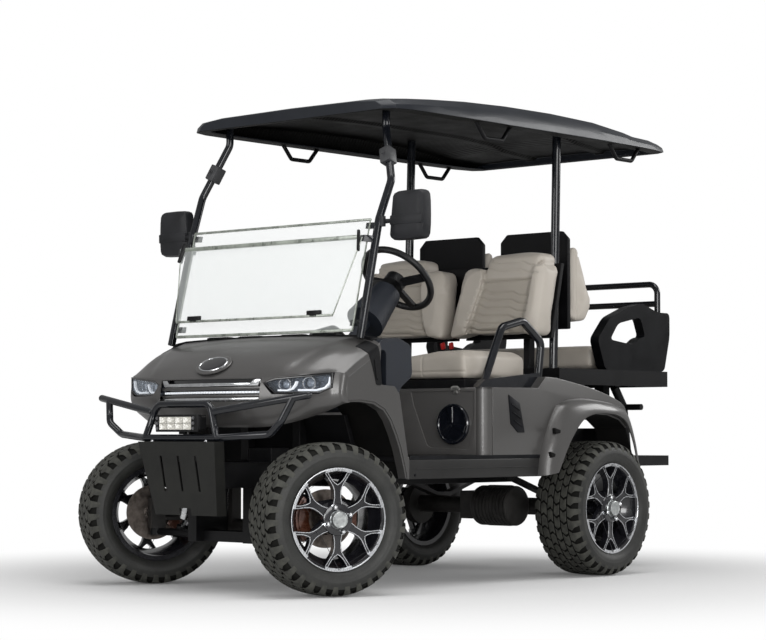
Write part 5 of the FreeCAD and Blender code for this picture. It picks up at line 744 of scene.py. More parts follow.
bm = bmesh.new()
hood_skin(bm, HOOD_ROWS, 5, 6, HOOD_PANEL_RISE)
hood_skin(bm, FACE_ROWS, 4, 6)
bmesh.ops.remove_doubles(bm, verts=bm.verts, dist=0.0008)
bmesh.ops.translate(bm, verts=bm.verts, vec=(SHIFT, 0, 0))
bmesh.ops.recalc_face_normals(bm, faces=bm.faces)
centre = Vector((0.8 + SHIFT, 0, 0.7))
outward = sum(1 if f.normal.dot(f.calc_center_median() - centre) > 0 else -1 for f in bm.faces)
if outward < 0:
    bmesh.ops.reverse_faces(bm, faces=bm.faces)
open_window(bm, GRILLE_OUTLINE, 0.9 + SHIFT)
for side in (1, -1):
    open_window(bm, [(y * side, z) for y, z in LAMP_OUTLINE], 0.8 + SHIFT)
bmesh.ops.solidify(bm, geom=bm.faces[:], thickness=0.006)
for side in (1, -1):
    leg = set_back((
        (0.640, 0.944), (0.652, 0.806), (0.560, 0.800), (0.531, 0.771), (0.480, 0.525), (0.473, 0.525), (0.473, 0.437),
        (0.483, 0.437), (0.497, 0.490), (0.520, 0.560), (0.547, 0.616), (0.580, 0.672), (0.618, 0.712), (0.680, 0.738),
        (0.760, 0.746), (0.830, 0.742), (0.838, 0.752), (0.840, 0.800), (0.832, 0.832), (0.816, 0.840), (0.796, 0.852),
        (0.768, 0.868), (0.736, 0.884), (0.688, 0.914),
    ))
    plate(bm, leg, 0.5885 * side, 0.5990 * side, "XZ", 0.0012, 1)
    lip = set_back((
        (0.484, 0.440), (0.498, 0.490), (0.521, 0.560), (0.548, 0.616), (0.581, 0.672), (0.619, 0.712), (0.680, 0.738),
        (0.760, 0.746), (0.832, 0.742), (0.832, 0.736), (0.760, 0.738), (0.683, 0.730), (0.624, 0.705), (0.587, 0.666),
        (0.555, 0.611), (0.529, 0.556), (0.506, 0.487), (0.492, 0.440),
    ))
    plate(bm, lip, 0.556 * side, 0.597 * side, "XZ", 0.002, 1)
built("cowl_moulding", bm, "chassis", [body_paint], 32, ["front_cowl"])

# Front wheel arch liners: black felt-like sheets that close the arches behind the wheels.
FRONT_LINER = (
    (0.476, 0.440), (0.490, 0.492), (0.513, 0.563), (0.541, 0.621), (0.575, 0.678), (0.616, 0.722), (0.680, 0.748),
    (0.760, 0.756), (0.828, 0.750),
)
bm = bmesh.new()
for side in (1, -1):
    outline = list(FRONT_LINER) + [(x - 0.004, z + 0.004) for x, z in FRONT_LINER[::-1]]
    plate(bm, set_back(outline), 0.345 * side, 0.586 * side, "XZ")
built("front_arch_liners", bm, "chassis", [liner_black], 32)


# Side bodies: the painted walls beside the seat box, rounded into the kick panel in front and running
# back as the rear fenders. Each fender carries a moulded flare with two small black vents.
WALL_OUTLINE = (
    (-0.052, 0.527), (-0.052, 0.806), (-0.362, 0.808), (-0.390, 0.834), (-0.414, 0.856), (-0.480, 0.853),
    (-0.560, 0.842), (-0.680, 0.824), (-0.801, 0.800), (-0.900, 0.774), (-0.957, 0.754), (-0.985, 0.736),
    (-1.001, 0.712), (-0.998, 0.640), (-0.945, 0.676), (-0.861, 0.696), (-0.730, 0.702), (-0.661, 0.696),
    (-0.592, 0.666), (-0.509, 0.581), (-0.462, 0.527),
)
FENDER_CREST = (
    (-0.362, 0.808), (-0.390, 0.834), (-0.414, 0.856), (-0.480, 0.853), (-0.560, 0.842), (-0.680, 0.824),
    (-0.801, 0.800), (-0.900, 0.774), (-0.957, 0.754), (-0.985, 0.736), (-1.001, 0.712),
)
ARCH_LINER = (
    (-0.462, 0.500), (-0.509, 0.581), (-0.592, 0.666), (-0.661, 0.696), (-0.730, 0.702), (-0.861, 0.696),
    (-0.945, 0.676), (-1.000, 0.640), (-1.066, 0.490),
)
FLARE_ROOT = (
    (-0.352, 0.439), (-0.381, 0.565), (-0.456, 0.702), (-0.511, 0.748), (-0.648, 0.767), (-0.800, 0.758),
    (-0.900, 0.742), (-0.965, 0.722), (-1.016, 0.672), (-1.060, 0.580), (-1.090, 0.487),
)
FLARE_LIP = (
    (-0.430, 0.452), (-0.509, 0.581), (-0.592, 0.666), (-0.661, 0.694), (-0.730, 0.701), (-0.800, 0.700),
    (-0.861, 0.694), (-0.941, 0.672), (-1.000, 0.625), (-1.040, 0.560), (-1.067, 0.487),
)
FLARE_REACH = (0.058, 0.062, 0.064, 0.064, 0.064, 0.062, 0.056, 0.040, 0.024, 0.016, 0.011)
FLARE_SECTION = (
    (0.0, 0.0), (0.02, 0.16), (0.07, 0.38), (0.18, 0.62), (0.36, 0.80), (0.60, 0.92), (0.86, 1.0), (0.97, 0.99),
    (1.0, 0.93), (1.0, 0.66),
)
KICK_WINDOW = (
    (0.205, 0.790), (0.220, 0.735), (0.286, 0.582), (0.296, 0.566), (0.315, 0.558), (0.505, 0.551), (0.520, 0.560),
    (0.533, 0.610), (0.545, 0.700), (0.545, 0.790),
)


def banded(points, drop):
    """A band under a line of side-view points."""
    return list(points) + [(x, z - drop) for x, z in points[::-1]]


def faced(own, way):
    """Turn a skin's faces so that on the whole they look one way."""
    bmesh.ops.recalc_face_normals(own, faces=own.faces)
    if sum(f.normal.dot(way) for f in own.faces) < 0:
        bmesh.ops.reverse_faces(own, faces=own.faces)


def make_flare(side):
    """The flare as one skin swept along the arch, then given a wall."""
    own = bmesh.new()
    rows, columns = 80, len(FLARE_SECTION) - 1
    grid = bmesh.ops.create_grid(own, x_segments=rows, y_segments=columns, size=0.5)
    for v in grid["verts"]:
        t = (v.co.x + 0.5) * (len(FLARE_ROOT) - 1)
        inward, out = FLARE_SECTION[round((v.co.y + 0.5) * columns)]
        root = along_curve(FLARE_ROOT, t)
        lip = along_curve(FLARE_LIP, t)
        reach = along_curve([(r, 0) for r in FLARE_REACH], t).x
        place = root.lerp(lip, inward)
        v.co = (place.x + SHIFT, (0.5985 + reach * out) * side, place.y)
    faced(own, Vector((0, side, 0)))
    bmesh.ops.solidify(own, geom=own.faces[:], thickness=0.004)
    return own


for side, word in ((1, "left"), (-1, "right")):
    bm = bmesh.new()
    plate(bm, set_back(WALL_OUTLINE), 0.590 * side, 0.600 * side, "XZ", 0.003, 3)
    plate(bm, set_back(banded(FENDER_CREST, 0.009)), 0.470 * side, 0.5975 * side, "XZ", 0.002, 1)
    plate(
        bm, set_back(((-0.052, 0.797), (-0.052, 0.806), (-0.368, 0.808), (-0.368, 0.797))), 0.545 * side,
        0.5975 * side, "XZ", 0.002, 1
    )
    corner = []
    for radius, steps in ((0.050, range(13)), (0.042, range(12, -1, -1))):
        for step in steps:
            a = math.radians(7.5 * step)
            corner.append((-0.046 + math.sin(a) * radius, (0.550 + math.cos(a) * radius) * side))
    plate(bm, [(x + SHIFT, y) for x, y in corner], 0.527, 0.806, "XY")
    cap = [(-0.046 + SHIFT, 0.545 * side)] + [(x + SHIFT, y) for x, y in corner[:13]]
    plate(bm, cap, 0.799, 0.8065, "XY")
    join(bm, make_flare(side))
    built("side_moulding_%s" % word, bm, "chassis", [body_paint], 32, ["side_body_%s" % word])
    bm = bmesh.new()
    plate(bm, set_back(banded(ARCH_LINER, -0.006)), 0.424 * side, 0.592 * side, "XZ")
    plate(
        bm,
        set_back(
            (
                (-0.462, 0.500), (-0.592, 0.668), (-0.730, 0.704), (-0.941, 0.676), (-1.000, 0.640),
                (-1.001, 0.712), (-0.9, 0.765), (-0.56, 0.835), (-0.40, 0.79), (-0.40, 0.50)
            )
        ),
        0.424 * side, 0.432 * side, "XZ"
    )
    built("arch_liner_%s" % word, bm, "chassis", [liner_black], 32)
    bm = bmesh.new()
    for x, z, long in ((-0.432, 0.628, 0.036), (-0.400, 0.528, 0.028)):
        vent = (
            (x + long * 0.55, z + 0.012), (x - long * 0.55, z + 0.003), (x - long * 0.50, z - 0.010),
            (x + long * 0.45, z - 0.013)
        )
        plate(bm, set_back(vent), 0.632 * side, 0.6485 * side, "XZ", 0.002, 2)
    built("flare_vents_%s" % word, bm, "chassis", [liner_black], 32)


# Kick panel and sills: the painted front of the seat box with a sunk field round each speaker, in a brighter copy of
# the body paint that paints light onto these sheltered faces; the sill mouldings below the doors' opening, in a dark
# grey that is partly painted shade along the bottom of the body; and the black strip that closes the joint between
# them.
def outwards(side):
    """The turn that points a cone out of the cart's side."""
    return Matrix.Rotation(math.radians(-90 * side), 4, "X")


def ring_plate(bm, outer, window, low, high):
    """A plate seen from ahead with a window in it, whose two outlines have as many corners."""
    own = bmesh.new()
    loops = []
    for outline in (outer, window):
        verts = [own.verts.new((low, y, z)) for y, z in outline]
        loops.append([own.edges.new((verts[i], verts[(i + 1) % len(verts)])) for i in range(len(verts))])
    made = bmesh.ops.bridge_loops(own, edges=loops[0] + loops[1])["faces"]
    grown = bmesh.ops.extrude_face_region(own, geom=made)["geom"]
    bmesh.ops.translate(own, verts=[v for v in grown if isinstance(v, bmesh.types.BMVert)], vec=(high - low, 0, 0))
    bmesh.ops.recalc_face_normals(own, faces=own.faces)
    slab_edges(own, 0.0016, 30.0, 2)
    join(bm, own)


KICK_BORDER = (
    (0.004, 0.8045), (0.004, 0.735), (0.004, 0.600), (0.004, 0.529), (0.150, 0.529), (0.400, 0.529), (0.555, 0.529),
    (0.555, 0.610), (0.555, 0.700), (0.555, 0.8045),
)
bm = bmesh.new()
for side in (1, -1):
    ring_plate(
        bm, [(y * side, z) for y, z in KICK_BORDER], [(y * side, z) for y, z in KICK_WINDOW],
        SHIFT - 0.001, SHIFT + 0.0045,
    )
# The kick panel and the seat box's front get the body paint at 1.8 times its brightness: painted light on faces the
# lamps barely reach.
kick_panel_painted_light = taupe("metallic_taupe_painted_light", 1.8)
built("kick_panel", bm, "chassis", [kick_panel_painted_light])
nodes["seat_box"].data.materials.clear()
nodes["seat_box"].data.materials.append(kick_panel_painted_light)

# The sills' dark grey is their own darker paint, made darker still as painted shade along the bottom of the body.
sill_grey_and_painted_shade = worn_finish(
    "sill_grey_painted_shade", (0.013, 0.0127, 0.0123), (0.019, 0.0186, 0.018), (0.42, 0.54), 900, 0.0002, patch=5,
    metal=0.1, coat=0.05, shine=0.3
)
strip_black = worn_finish(
    "strip_black", (0.0028, 0.003, 0.004), (0.0055, 0.0058, 0.0075), (0.3, 0.44), 500, 0.0002, patch=12,
    shine=0.14
)
bm = bmesh.new()
for side in (1, -1):
    plate(
        bm, set_back(((0.473, 0.437), (0.473, 0.514), (-0.416, 0.514), (-0.416, 0.437))), 0.574 * side,
        0.600 * side, "XZ", 0.004, 3
    )
    plate(
        bm, set_back(((0.430, 0.4755), (0.430, 0.4795), (-0.360, 0.4795), (-0.360, 0.4755))), 0.598 * side,
        0.6016 * side, "XZ", 0.001, 1
    )
built("sill_moulding", bm, "chassis", [sill_grey_and_painted_shade], 32, ["rocker_panels"])
bm = bmesh.new()
for side in (1, -1):
    plate(
        bm, set_back(((0.468, 0.513), (0.468, 0.5285), (-0.440, 0.5285), (-0.428, 0.513))), 0.580 * side,
        0.6006 * side, "XZ", 0.0015, 1
    )
    for x, z in ((-0.40, 0.452), (0.44, 0.452)):
        bmesh.ops.create_cone(
            bm, cap_ends=True, segments=12, radius1=0.006, radius2=0.005, depth=0.004,
            matrix=Matrix.Translation((x + SHIFT, 0.6005 * side, z)) @ outwards(side),
        )
built("sill_strip", bm, "chassis", [strip_black], 32)

# Speakers, blade vents and latches: gloss black grilles with a three-armed cover, slanted black vents in
# the side walls, and the silver latch of the seat lid on the box's top edge.
speaker_gloss = worn_finish(
    "speaker_gloss", (0.004, 0.005, 0.008), (0.008, 0.009, 0.013), (0.08, 0.16), 300, 0.0001, patch=20, coat=0.6
)
FACE_AHEAD = Matrix.Rotation(math.radians(-90), 4, "Z")
SPEAKER_SECTION = (
    (0.000, 0.0001), (0.000, 0.084), (0.010, 0.0838), (0.0135, 0.0800), (0.0125, 0.0745), (0.0095, 0.0715),
    (0.0085, 0.0660), (0.0100, 0.0300), (0.0110, 0.0001)
)
bm = bmesh.new()
for side in (1, -1):
    own = bmesh.new()
    profile_ring(own, SPEAKER_SECTION, 48)
    cleaned(own)
    for arm in range(3):
        turn = Matrix.Rotation(math.radians(120 * arm + 12), 4, "Y")
        blade = bmesh.new()
        plate(
            blade, ((-0.004, 0.006), (0.004, 0.006), (0.016, 0.070), (-0.016, 0.070)), 0.008, 0.0128, "XZ",
            0.0012, 1
        )
        bmesh.ops.transform(blade, verts=blade.verts, matrix=turn)
        join(own, blade)
    place = Matrix.Translation((SHIFT + 0.0005, 0.436 * side, 0.655)) @ FACE_AHEAD
    bmesh.ops.transform(own, verts=own.verts, matrix=place)
    join(bm, own)
built("speaker_covers", bm, "chassis", [speaker_gloss], 30, ["speakers"])
VENT_OUTLINE = ((-0.1535, 0.778), (-0.2285, 0.743), (-0.2615, 0.620), (-0.2165, 0.620), (-0.1685, 0.656))
bm = bmesh.new()
for side in (1, -1):
    plate(bm, set_back(VENT_OUTLINE), 0.596 * side, 0.6045 * side, "XZ", 0.003, 2)
    for step in range(3):
        z = 0.738 - step * 0.034
        x = -0.167 - step * 0.009
        louvre = ((x, z + 0.004), (x - 0.056, z - 0.022), (x - 0.058, z - 0.028), (x - 0.002, z - 0.002))
        plate(bm, set_back(louvre), 0.600 * side, 0.607 * side, "XZ", 0.001, 1)
built("blade_vents", bm, "chassis", [strip_black], 32)
latch_steel = worn_finish(
    "latch_steel", (0.42, 0.42, 0.41), (0.62, 0.61, 0.58), (0.25, 0.4), 600, 0.0002, patch=60, metal=0.9
)
bm = bmesh.new()
for side in (1, -1):
    own = bmesh.new()
    plate(
        own,
        ((-0.022, 0.797), (0.022, 0.797), (0.022, 0.812), (0.010, 0.817), (-0.010, 0.817), (-0.022, 0.812)),
        SHIFT + 0.003, SHIFT + 0.012, "YZ", 0.002, 2
    )
    plate(
        own, ((-0.009, 0.784), (0.009, 0.784), (0.009, 0.800), (-0.009, 0.800)), SHIFT + 0.003, SHIFT + 0.009,
        "YZ", 0.0015, 2
    )
    bmesh.ops.translate(own, verts=own.verts, vec=(0, 0.450 * side, -0.004))
    join(bm, own)
built("lid_latches", bm, "chassis", [latch_steel], 32)


# Badge and scuttle: a bare black oval in a bright ring on the hood's slope, the textured black strip
# between hood and windscreen, and the grained strip that wraps each fender beside the dash.
def hood_height(across, x):
    """The hood's height at a place along one of its rows."""
    low, high = 0.0, len(HOOD_ROWS[0]) - 1.0
    for halving in range(20):
        middle = (low + high) / 2
        if blended(HOOD_ROWS, middle, across)[0] < x:
            low = middle
        else:
            high = middle
    return blended(HOOD_ROWS, low, across)[1]


def oval(bm, half_wide, half_high, section, finish):
    """A turned button stretched to an oval, facing along Y."""
    own = bmesh.new()
    profile_ring(own, section, 48)
    cleaned(own)
    bmesh.ops.scale(own, verts=own.verts, vec=(half_wide, 1, half_high))
    painted(own.faces, finish)
    join(bm, own)


BADGE_SLOPE = Matrix.Rotation(math.radians(50), 4, "X")
BADGE_TURN = Matrix.Translation((0.9585 + SHIFT, 0, 0.8845)) @ FACE_AHEAD @ BADGE_SLOPE
badge_black = worn_finish(
    "badge_black", (0.003, 0.003, 0.004), (0.006, 0.006, 0.008), (0.06, 0.12), 400, 0.0, patch=30, coat=0.8
)
bm = bmesh.new()
oval(bm, 0.092, 0.058, ((0.0, 0.0001), (0.0, 1.0), (0.002, 1.0), (0.0042, 0.95), (0.0048, 0.90), (0.0048, 0.0001)), 0)
oval(
    bm, 0.074, 0.045,
    ((0.002, 0.0001), (0.002, 1.0), (0.0075, 1.0), (0.0090, 0.97), (0.0090, 0.93), (0.0070, 0.90), (0.0070, 0.0001)),
    1
)
oval(
    bm, 0.067, 0.040,
    ((0.004, 0.0001), (0.004, 1.0), (0.0080, 0.99), (0.0095, 0.90), (0.0105, 0.60), (0.0110, 0.0001)), 2
)
bmesh.ops.transform(bm, verts=bm.verts, matrix=BADGE_TURN)
built("hood_badge", bm, "chassis", [body_paint, chrome, badge_black], 30)

grained_black = worn_finish(
    "grained_black", (0.0022, 0.0022, 0.0027), (0.005, 0.005, 0.0058), (0.42, 0.58), 1100, 0.0006, patch=9,
    shine=0.16
)
SCUTTLE_TOP = [(y, row[0][1]) for y, row in zip(HOOD_Y, HOOD_ROWS)][:7]
bm = bmesh.new()
line = [(-y, z) for y, z in SCUTTLE_TOP[:0:-1]] + SCUTTLE_TOP
plate(
    bm, [(y, z + 0.0085) for y, z in line] + [(y, z - 0.008) for y, z in line[::-1]], 0.596 + SHIFT,
    0.652 + SHIFT, "YZ", 0.003, 2
)
for side in (1, -1):
    for y in (0.12, 0.30):
        plate(
            bm,
            [
                (y * side - 0.065, 1.004), (y * side + 0.065, 1.004), (y * side + 0.062, 1.0125),
                (y * side - 0.062, 1.0125)
            ],
            0.606 + SHIFT, 0.644 + SHIFT, "YZ", 0.002, 1
        )
        for slot in range(9):
            middle = y * side - 0.052 + slot * 0.013
            plate(
                bm,
                [
                    (middle - 0.002, 1.008), (middle + 0.002, 1.008), (middle + 0.002, 1.0142),
                    (middle - 0.002, 1.0142)
                ],
                0.610 + SHIFT, 0.640 + SHIFT, "YZ"
            )
built("scuttle_strip", bm, "chassis", [grained_black], 32)

bm = bmesh.new()
for side in (1, -1):
    own = bmesh.new()
    grid = bmesh.ops.create_grid(own, x_segments=26, y_segments=6, size=0.5)
    for v in grid["verts"]:
        down, wide = v.co.x + 0.5, v.co.y + 0.5
        if down < 0.4:
            t = down / 0.4
            across = 5.2 + 3.8 * t
            x = (0.664 - 0.012 * t) + (0.058 - 0.006 * t) * wide
            y = blended([((a, 0), (a, 0)) for a in HOOD_Y], 0.0, across)[0]
            z = hood_height(across, x)
        else:
            t = (down - 0.4) / 0.6
            x = (0.652 - 0.014 * t) + (0.052 - 0.020 * t) * wide
            y = HOOD_Y[-1]
            z = hood_height(9.0, x) * (1 - t) + (0.806 - 0.004 * math.sin(wide * math.pi)) * t
        v.co = (x + SHIFT, y * side, z)
    faced(own, Vector((0, side, 0)))
    own.normal_update()
    for v in own.verts:
        v.co += v.normal * 0.0022
    bmesh.ops.solidify(own, geom=own.faces[:], thickness=0.004)
    join(bm, own)
    plate(
        bm,
        set_back(((0.676, 0.905), (0.683, 0.900), (0.672, 0.832), (0.664, 0.822), (0.657, 0.824), (0.666, 0.836))),
        0.599 * side, 0.6035 * side, "XZ", 0.001, 1
    )
built("fender_strips", bm, "chassis", [grained_black], 32)


# Headlights: black-framed wedges with two projectors each, white guide strips below them, and a clear
# bluish cover. The whole unit leans back with the nose.
def lens_finish(name, colour, low, high, rough):
    """Clear plastic or glass whose pale colour shows more the flatter it is seen: a painted reflection of the sky, over
    the real gloss.
    """
    made, tree, shader = new_finish(name)
    shader.inputs["Base Color"].default_value = (*colour, 1)
    sheen = tree.nodes.new("ShaderNodeFresnel")
    sheen.inputs["IOR"].default_value = 1.5
    tree.links.new(spread(tree, sheen.outputs[0], low, high, 0.04, 0.7), shader.inputs["Alpha"])
    smudge = noise_at(tree, 14.0, 4.0, 0.6)
    tree.links.new(spread(tree, smudge, rough * 0.6, rough * 1.6), shader.inputs["Roughness"])
    return made


def lamp_glow_and_painted_glint(name, first, second, strength, grain):
    """A glowing lamp part: lit on the lamps, and on the mirror-bright reflector cells a painted reflection."""
    made, tree, shader = new_finish(name)
    cells = noise_at(tree, grain, 2.0, 0.5)
    colour = tinted(tree, cells, first, second)
    tree.links.new(colour, shader.inputs["Base Color"])
    tree.links.new(colour, shader.inputs["Emission Color"])
    shader.inputs["Emission Strength"].default_value = strength
    shader.inputs["Roughness"].default_value = 0.2
    return made


# The cover's pale bluish colour, stronger at flat angles, is a painted reflection of the sky.
lamp_cover = lens_finish("lamp_cover", (0.72, 0.80, 0.90), 0.04, 0.26, 0.03)
lamp_bowl = worn_finish(
    "lamp_bowl", (0.045, 0.055, 0.075), (0.12, 0.14, 0.18), (0.16, 0.3), 200, 0.0, patch=34, metal=0.7
)
lamp_white = lamp_glow_and_painted_glint("lamp_white", (0.80, 0.84, 0.90), (0.95, 0.97, 1.0), 0.35, 300)
# The light bar's reflector cells glow faintly: a painted reflection standing in for their mirror shine.
reflector_painted_glint = lamp_glow_and_painted_glint("reflector_painted_glint", (0.42, 0.41, 0.37), (0.80, 0.79, 0.74), 0.10, 190)
lamp_glass = worn_finish(
    "lamp_glass", (0.16, 0.19, 0.24), (0.34, 0.38, 0.44), (0.04, 0.1), 100, 0.0, patch=60, metal=0.3, coat=1.0,
    shine=0.02
)


def to_side(own, side, ahead):
    """Carry a half drawn on the left to its side, moved ahead by an amount of its own at each point."""
    for v in own.verts:
        v.co = (v.co.x + ahead(v.co) + SHIFT, v.co.y * side, v.co.z)
    if side < 0:
        bmesh.ops.reverse_faces(own, faces=own.faces)


def lamp_lean(y):
    """How far ahead the nose stands at a distance from the middle."""
    return 0.982 - 0.3525 * (abs(y) - 0.288)


def ribbon(points, width):
    """The outline of a flat strip along a line, of even width either side of it."""
    left, right = [], []
    for i, (a, b) in enumerate(points):
        a0, b0 = points[max(i - 1, 0)]
        a1, b1 = points[min(i + 1, len(points) - 1)]
        run = math.hypot(a1 - a0, b1 - b0)
        left.append((a - (b1 - b0) / run * width, b + (a1 - a0) / run * width))
        right.append((a + (b1 - b0) / run * width, b - (a1 - a0) / run * width))
    return left + right[::-1]


LAMP_FRAME = ((0.290, 0.812), (0.334, 0.769), (0.520, 0.769), (0.564, 0.791), (0.564, 0.849), (0.334, 0.828))
LAMP_FRAME_INNER = ((0.302, 0.811), (0.338, 0.777), (0.516, 0.776), (0.556, 0.795), (0.556, 0.841), (0.336, 0.821))
GUIDE_LOW = ((0.342, 0.7825), (0.380, 0.7815), (0.398, 0.787), (0.410, 0.802), (0.416, 0.816))
GUIDE_HIGH = ((0.422, 0.7825), (0.495, 0.7820), (0.528, 0.790), (0.545, 0.808), (0.549, 0.832))
bm = bmesh.new()
for side in (1, -1):
    own = bmesh.new()
    ring_plate(own, LAMP_FRAME, LAMP_FRAME_INNER, -0.018, -0.002)
    plate(own, LAMP_FRAME, -0.062, -0.046, "YZ", 0.0, 1, 1)
    for line, width in ((GUIDE_LOW, 0.0032), (GUIDE_HIGH, 0.0036)):
        plate(own, ribbon(line, width), -0.022, -0.010, "YZ", 0.001, 1, 3)
    for y, z, radius in ((0.366, 0.8045, 0.0215), (0.462, 0.8085, 0.0225)):
        unit = bmesh.new()
        for finish, section in (
            (1, (
                (0.0, 0.0001), (0.0, radius * 1.15), (0.030, radius * 1.15), (0.030, radius * 0.96),
                (0.012, radius * 0.90), (0.012, 0.0001),
            )),
            (2, (
                (0.010, 0.0001), (0.010, radius * 0.84), (0.017, radius * 0.82), (0.024, radius * 0.60),
                (0.0275, radius * 0.30), (0.0285, 0.0001),
            )),
            (4, ((0.029, radius * 0.97), (0.029, radius * 1.16), (0.0325, radius * 1.14), (0.0325, radius * 1.0))),
        ):
            ring = bmesh.new()
            profile_ring(ring, section, 32)
            painted(ring.faces, finish)
            join(unit, ring)
        cleaned(unit)
        bmesh.ops.transform(unit, verts=unit.verts, matrix=Matrix.Translation((-0.050, y, z)) @ FACE_AHEAD)
        join(own, unit)
    to_side(own, side, lambda co: lamp_lean(co.y))
    join(bm, own)
built(
    "lamp_units", bm, "chassis", [badge_black, lamp_bowl, lamp_glass, lamp_white, chrome], 32,
    ["headlights"]
)
bm = bmesh.new()
for side in (1, -1):
    own = bmesh.new()
    plate(own, LAMP_FRAME_INNER, -0.009, -0.006, "YZ")
    to_side(own, side, lambda co: lamp_lean(co.y))
    join(bm, own)
built("lamp_covers", bm, "chassis", [lamp_cover], 32)

# Grille: a black carrier between the headlights with a chromed upper bar whose ends turn up, a row of
# small white lights, painted bars, and a tapering chromed lower bar.
GRILLE_FACE = 1.0135
CHROME_UPPER = (
    (-0.276, 0.8275), (-0.244, 0.8275), (-0.228, 0.8135), (0.228, 0.8135), (0.244, 0.8275), (0.276, 0.8275),
    (0.262, 0.8000), (-0.262, 0.8000)
)
CHROME_LOWER = (
    (-0.279, 0.7555), (0.279, 0.7555), (0.262, 0.7440), (0.150, 0.7415), (-0.150, 0.7415), (-0.262, 0.7440)
)
bm = bmesh.new()
plate(bm, ((-0.279, 0.741), (0.279, 0.741), (0.279, 0.828), (-0.279, 0.828)), -0.034, -0.020, "YZ", 0.0, 1, 0)
plate(bm, CHROME_UPPER, -0.020, -0.001, "YZ", 0.0025, 3, 1)
plate(bm, CHROME_LOWER, -0.020, -0.001, "YZ", 0.0025, 3, 1)
for low, high in ((0.7865, 0.7985), (0.7570, 0.7670)):
    plate(bm, ((-0.279, low), (0.279, low), (0.279, high), (-0.279, high)), -0.020, -0.004, "YZ", 0.002, 2, 2)
for i in range(36):
    y = -0.2625 + i * 0.015
    plate(
        bm, ((y - 0.0050, 0.7725), (y + 0.0035, 0.7725), (y + 0.0050, 0.7805), (y - 0.0035, 0.7805)), -0.020,
        -0.008, "YZ", 0.0008, 1, 3
    )
for i in range(1, 12):
    for side in (1, -1):
        every = bm.verts[:] + bm.edges[:] + bm.faces[:]
        bmesh.ops.bisect_plane(bm, geom=every, dist=1e-6, plane_co=(0, 0.022 * i * side, 0), plane_no=(0, 1, 0))
for v in bm.verts:
    y = abs(v.co.y)
    middle_bow = 0.012 * (y / 0.15) ** 2 * (1 if y < 0.15 else 0)
    outer_bow = (0.012 + 0.026 * (y - 0.15) / 0.138) if y >= 0.15 else 0
    v.co.x += GRILLE_FACE - middle_bow - outer_bow + SHIFT
built("grille_bars", bm, "chassis", [badge_black, chrome, body_paint, lamp_white], 30, ["grille_trim"])


# Bumper guard and skid plate: bent and welded steel tube in gloss black over a folded plate in matte
# grey, with bolts through the plate's flanges.
FLAT_ANGLE = 0.6
ROUND_ANGLE = 32.0
BEND_ANGLE = 12
ALONG_SHARE = 0.98


def rounded_copy(
    name, node, width, finishes, body="chassis", steps=2, crease=35.0, pick=None, bend=None
):
    """A node's own shape with rounded edges; bend rounds the corners that run along one axis first."""
    bm = bmesh.new()
    bm.from_mesh(nodes[node].data)
    bmesh.ops.remove_doubles(bm, verts=bm.verts, dist=1e-5)
    bmesh.ops.dissolve_limit(
        bm, angle_limit=math.radians(FLAT_ANGLE), use_dissolve_boundaries=False, verts=bm.verts, edges=bm.edges
    )
    if bend:
        turns = [
            e for e in bm.edges if e.is_manifold and e.calc_face_angle(0) > math.radians(BEND_ANGLE)
            and abs((e.verts[0].co - e.verts[1].co).normalized()[bend[0]]) > ALONG_SHARE
        ]
        bmesh.ops.bevel(
            bm, geom=turns, offset=bend[1], offset_type="OFFSET", segments=5, profile=0.5, affect="EDGES",
            material=-1, clamp_overlap=True,
        )
    if width:
        slab_edges(bm, width, ROUND_ANGLE, steps)
    for f in bm.faces:
        f.material_index = pick(f) if pick else 0
    made = built(name, bm, body, finishes, crease, [node])
    made.modifiers.new("flat_faces", "WEIGHTED_NORMAL").keep_sharp = True
    return made


guard_gloss = worn_finish(
    "guard_gloss", (0.004, 0.005, 0.007), (0.007, 0.008, 0.011), (0.14, 0.24), 260, 0.0002, patch=16, coat=0.35,
    shine=0.35
)
powder_black = worn_finish(
    "powder_black", (0.0025, 0.0025, 0.003), (0.0055, 0.0055, 0.006), (0.34, 0.5), 900, 0.0004, patch=12,
    shine=0.22
)
skid_grey = worn_finish(
    "skid_grey", (0.013, 0.013, 0.012), (0.020, 0.020, 0.018), (0.5, 0.64), 1300, 0.0005, patch=7, metal=0.1,
    shine=0.22
)
rounded_copy("guard_tubes", "brush_guard", 0.0, [guard_gloss], crease=50)
rounded_copy("skid_sheet", "skid_plate", 0.0016, [skid_grey])
bolt_steel = worn_finish(
    "bolt_steel", (0.24, 0.24, 0.25), (0.40, 0.40, 0.41), (0.28, 0.42), 700, 0.0002, patch=50, metal=0.95
)


def bolt(bm, place, turn, radius=0.007, finish=0):
    """A hexagon head with its washer, facing along the turned Z axis."""
    own = bmesh.new()
    bmesh.ops.create_cone(own, cap_ends=True, segments=20, radius1=radius * 1.45, radius2=radius * 1.4, depth=0.0016)
    bmesh.ops.create_cone(
        own, cap_ends=True, segments=6, radius1=radius, radius2=radius * 0.94, depth=0.0055,
        matrix=Matrix.Translation((0, 0, 0.0034)),
    )
    bmesh.ops.transform(own, verts=own.verts, matrix=Matrix.Translation(place) @ turn)
    painted(own.faces, finish)
    join(bm, own)


FORWARD = Matrix.Rotation(math.radians(90), 4, "Y")
UPWARD = Matrix.Identity(4)
bm = bmesh.new()
for side in (1, -1):
    for along in (1.128, 1.148):
        bolt(bm, (along + SHIFT, 0.150 * side, 0.5855), UPWARD, 0.006)
    bolt(bm, (1.0815 + SHIFT, 0.030 * side, 0.345), FORWARD, 0.006)
built("skid_bolts", bm, "chassis", [bolt_steel], 32)
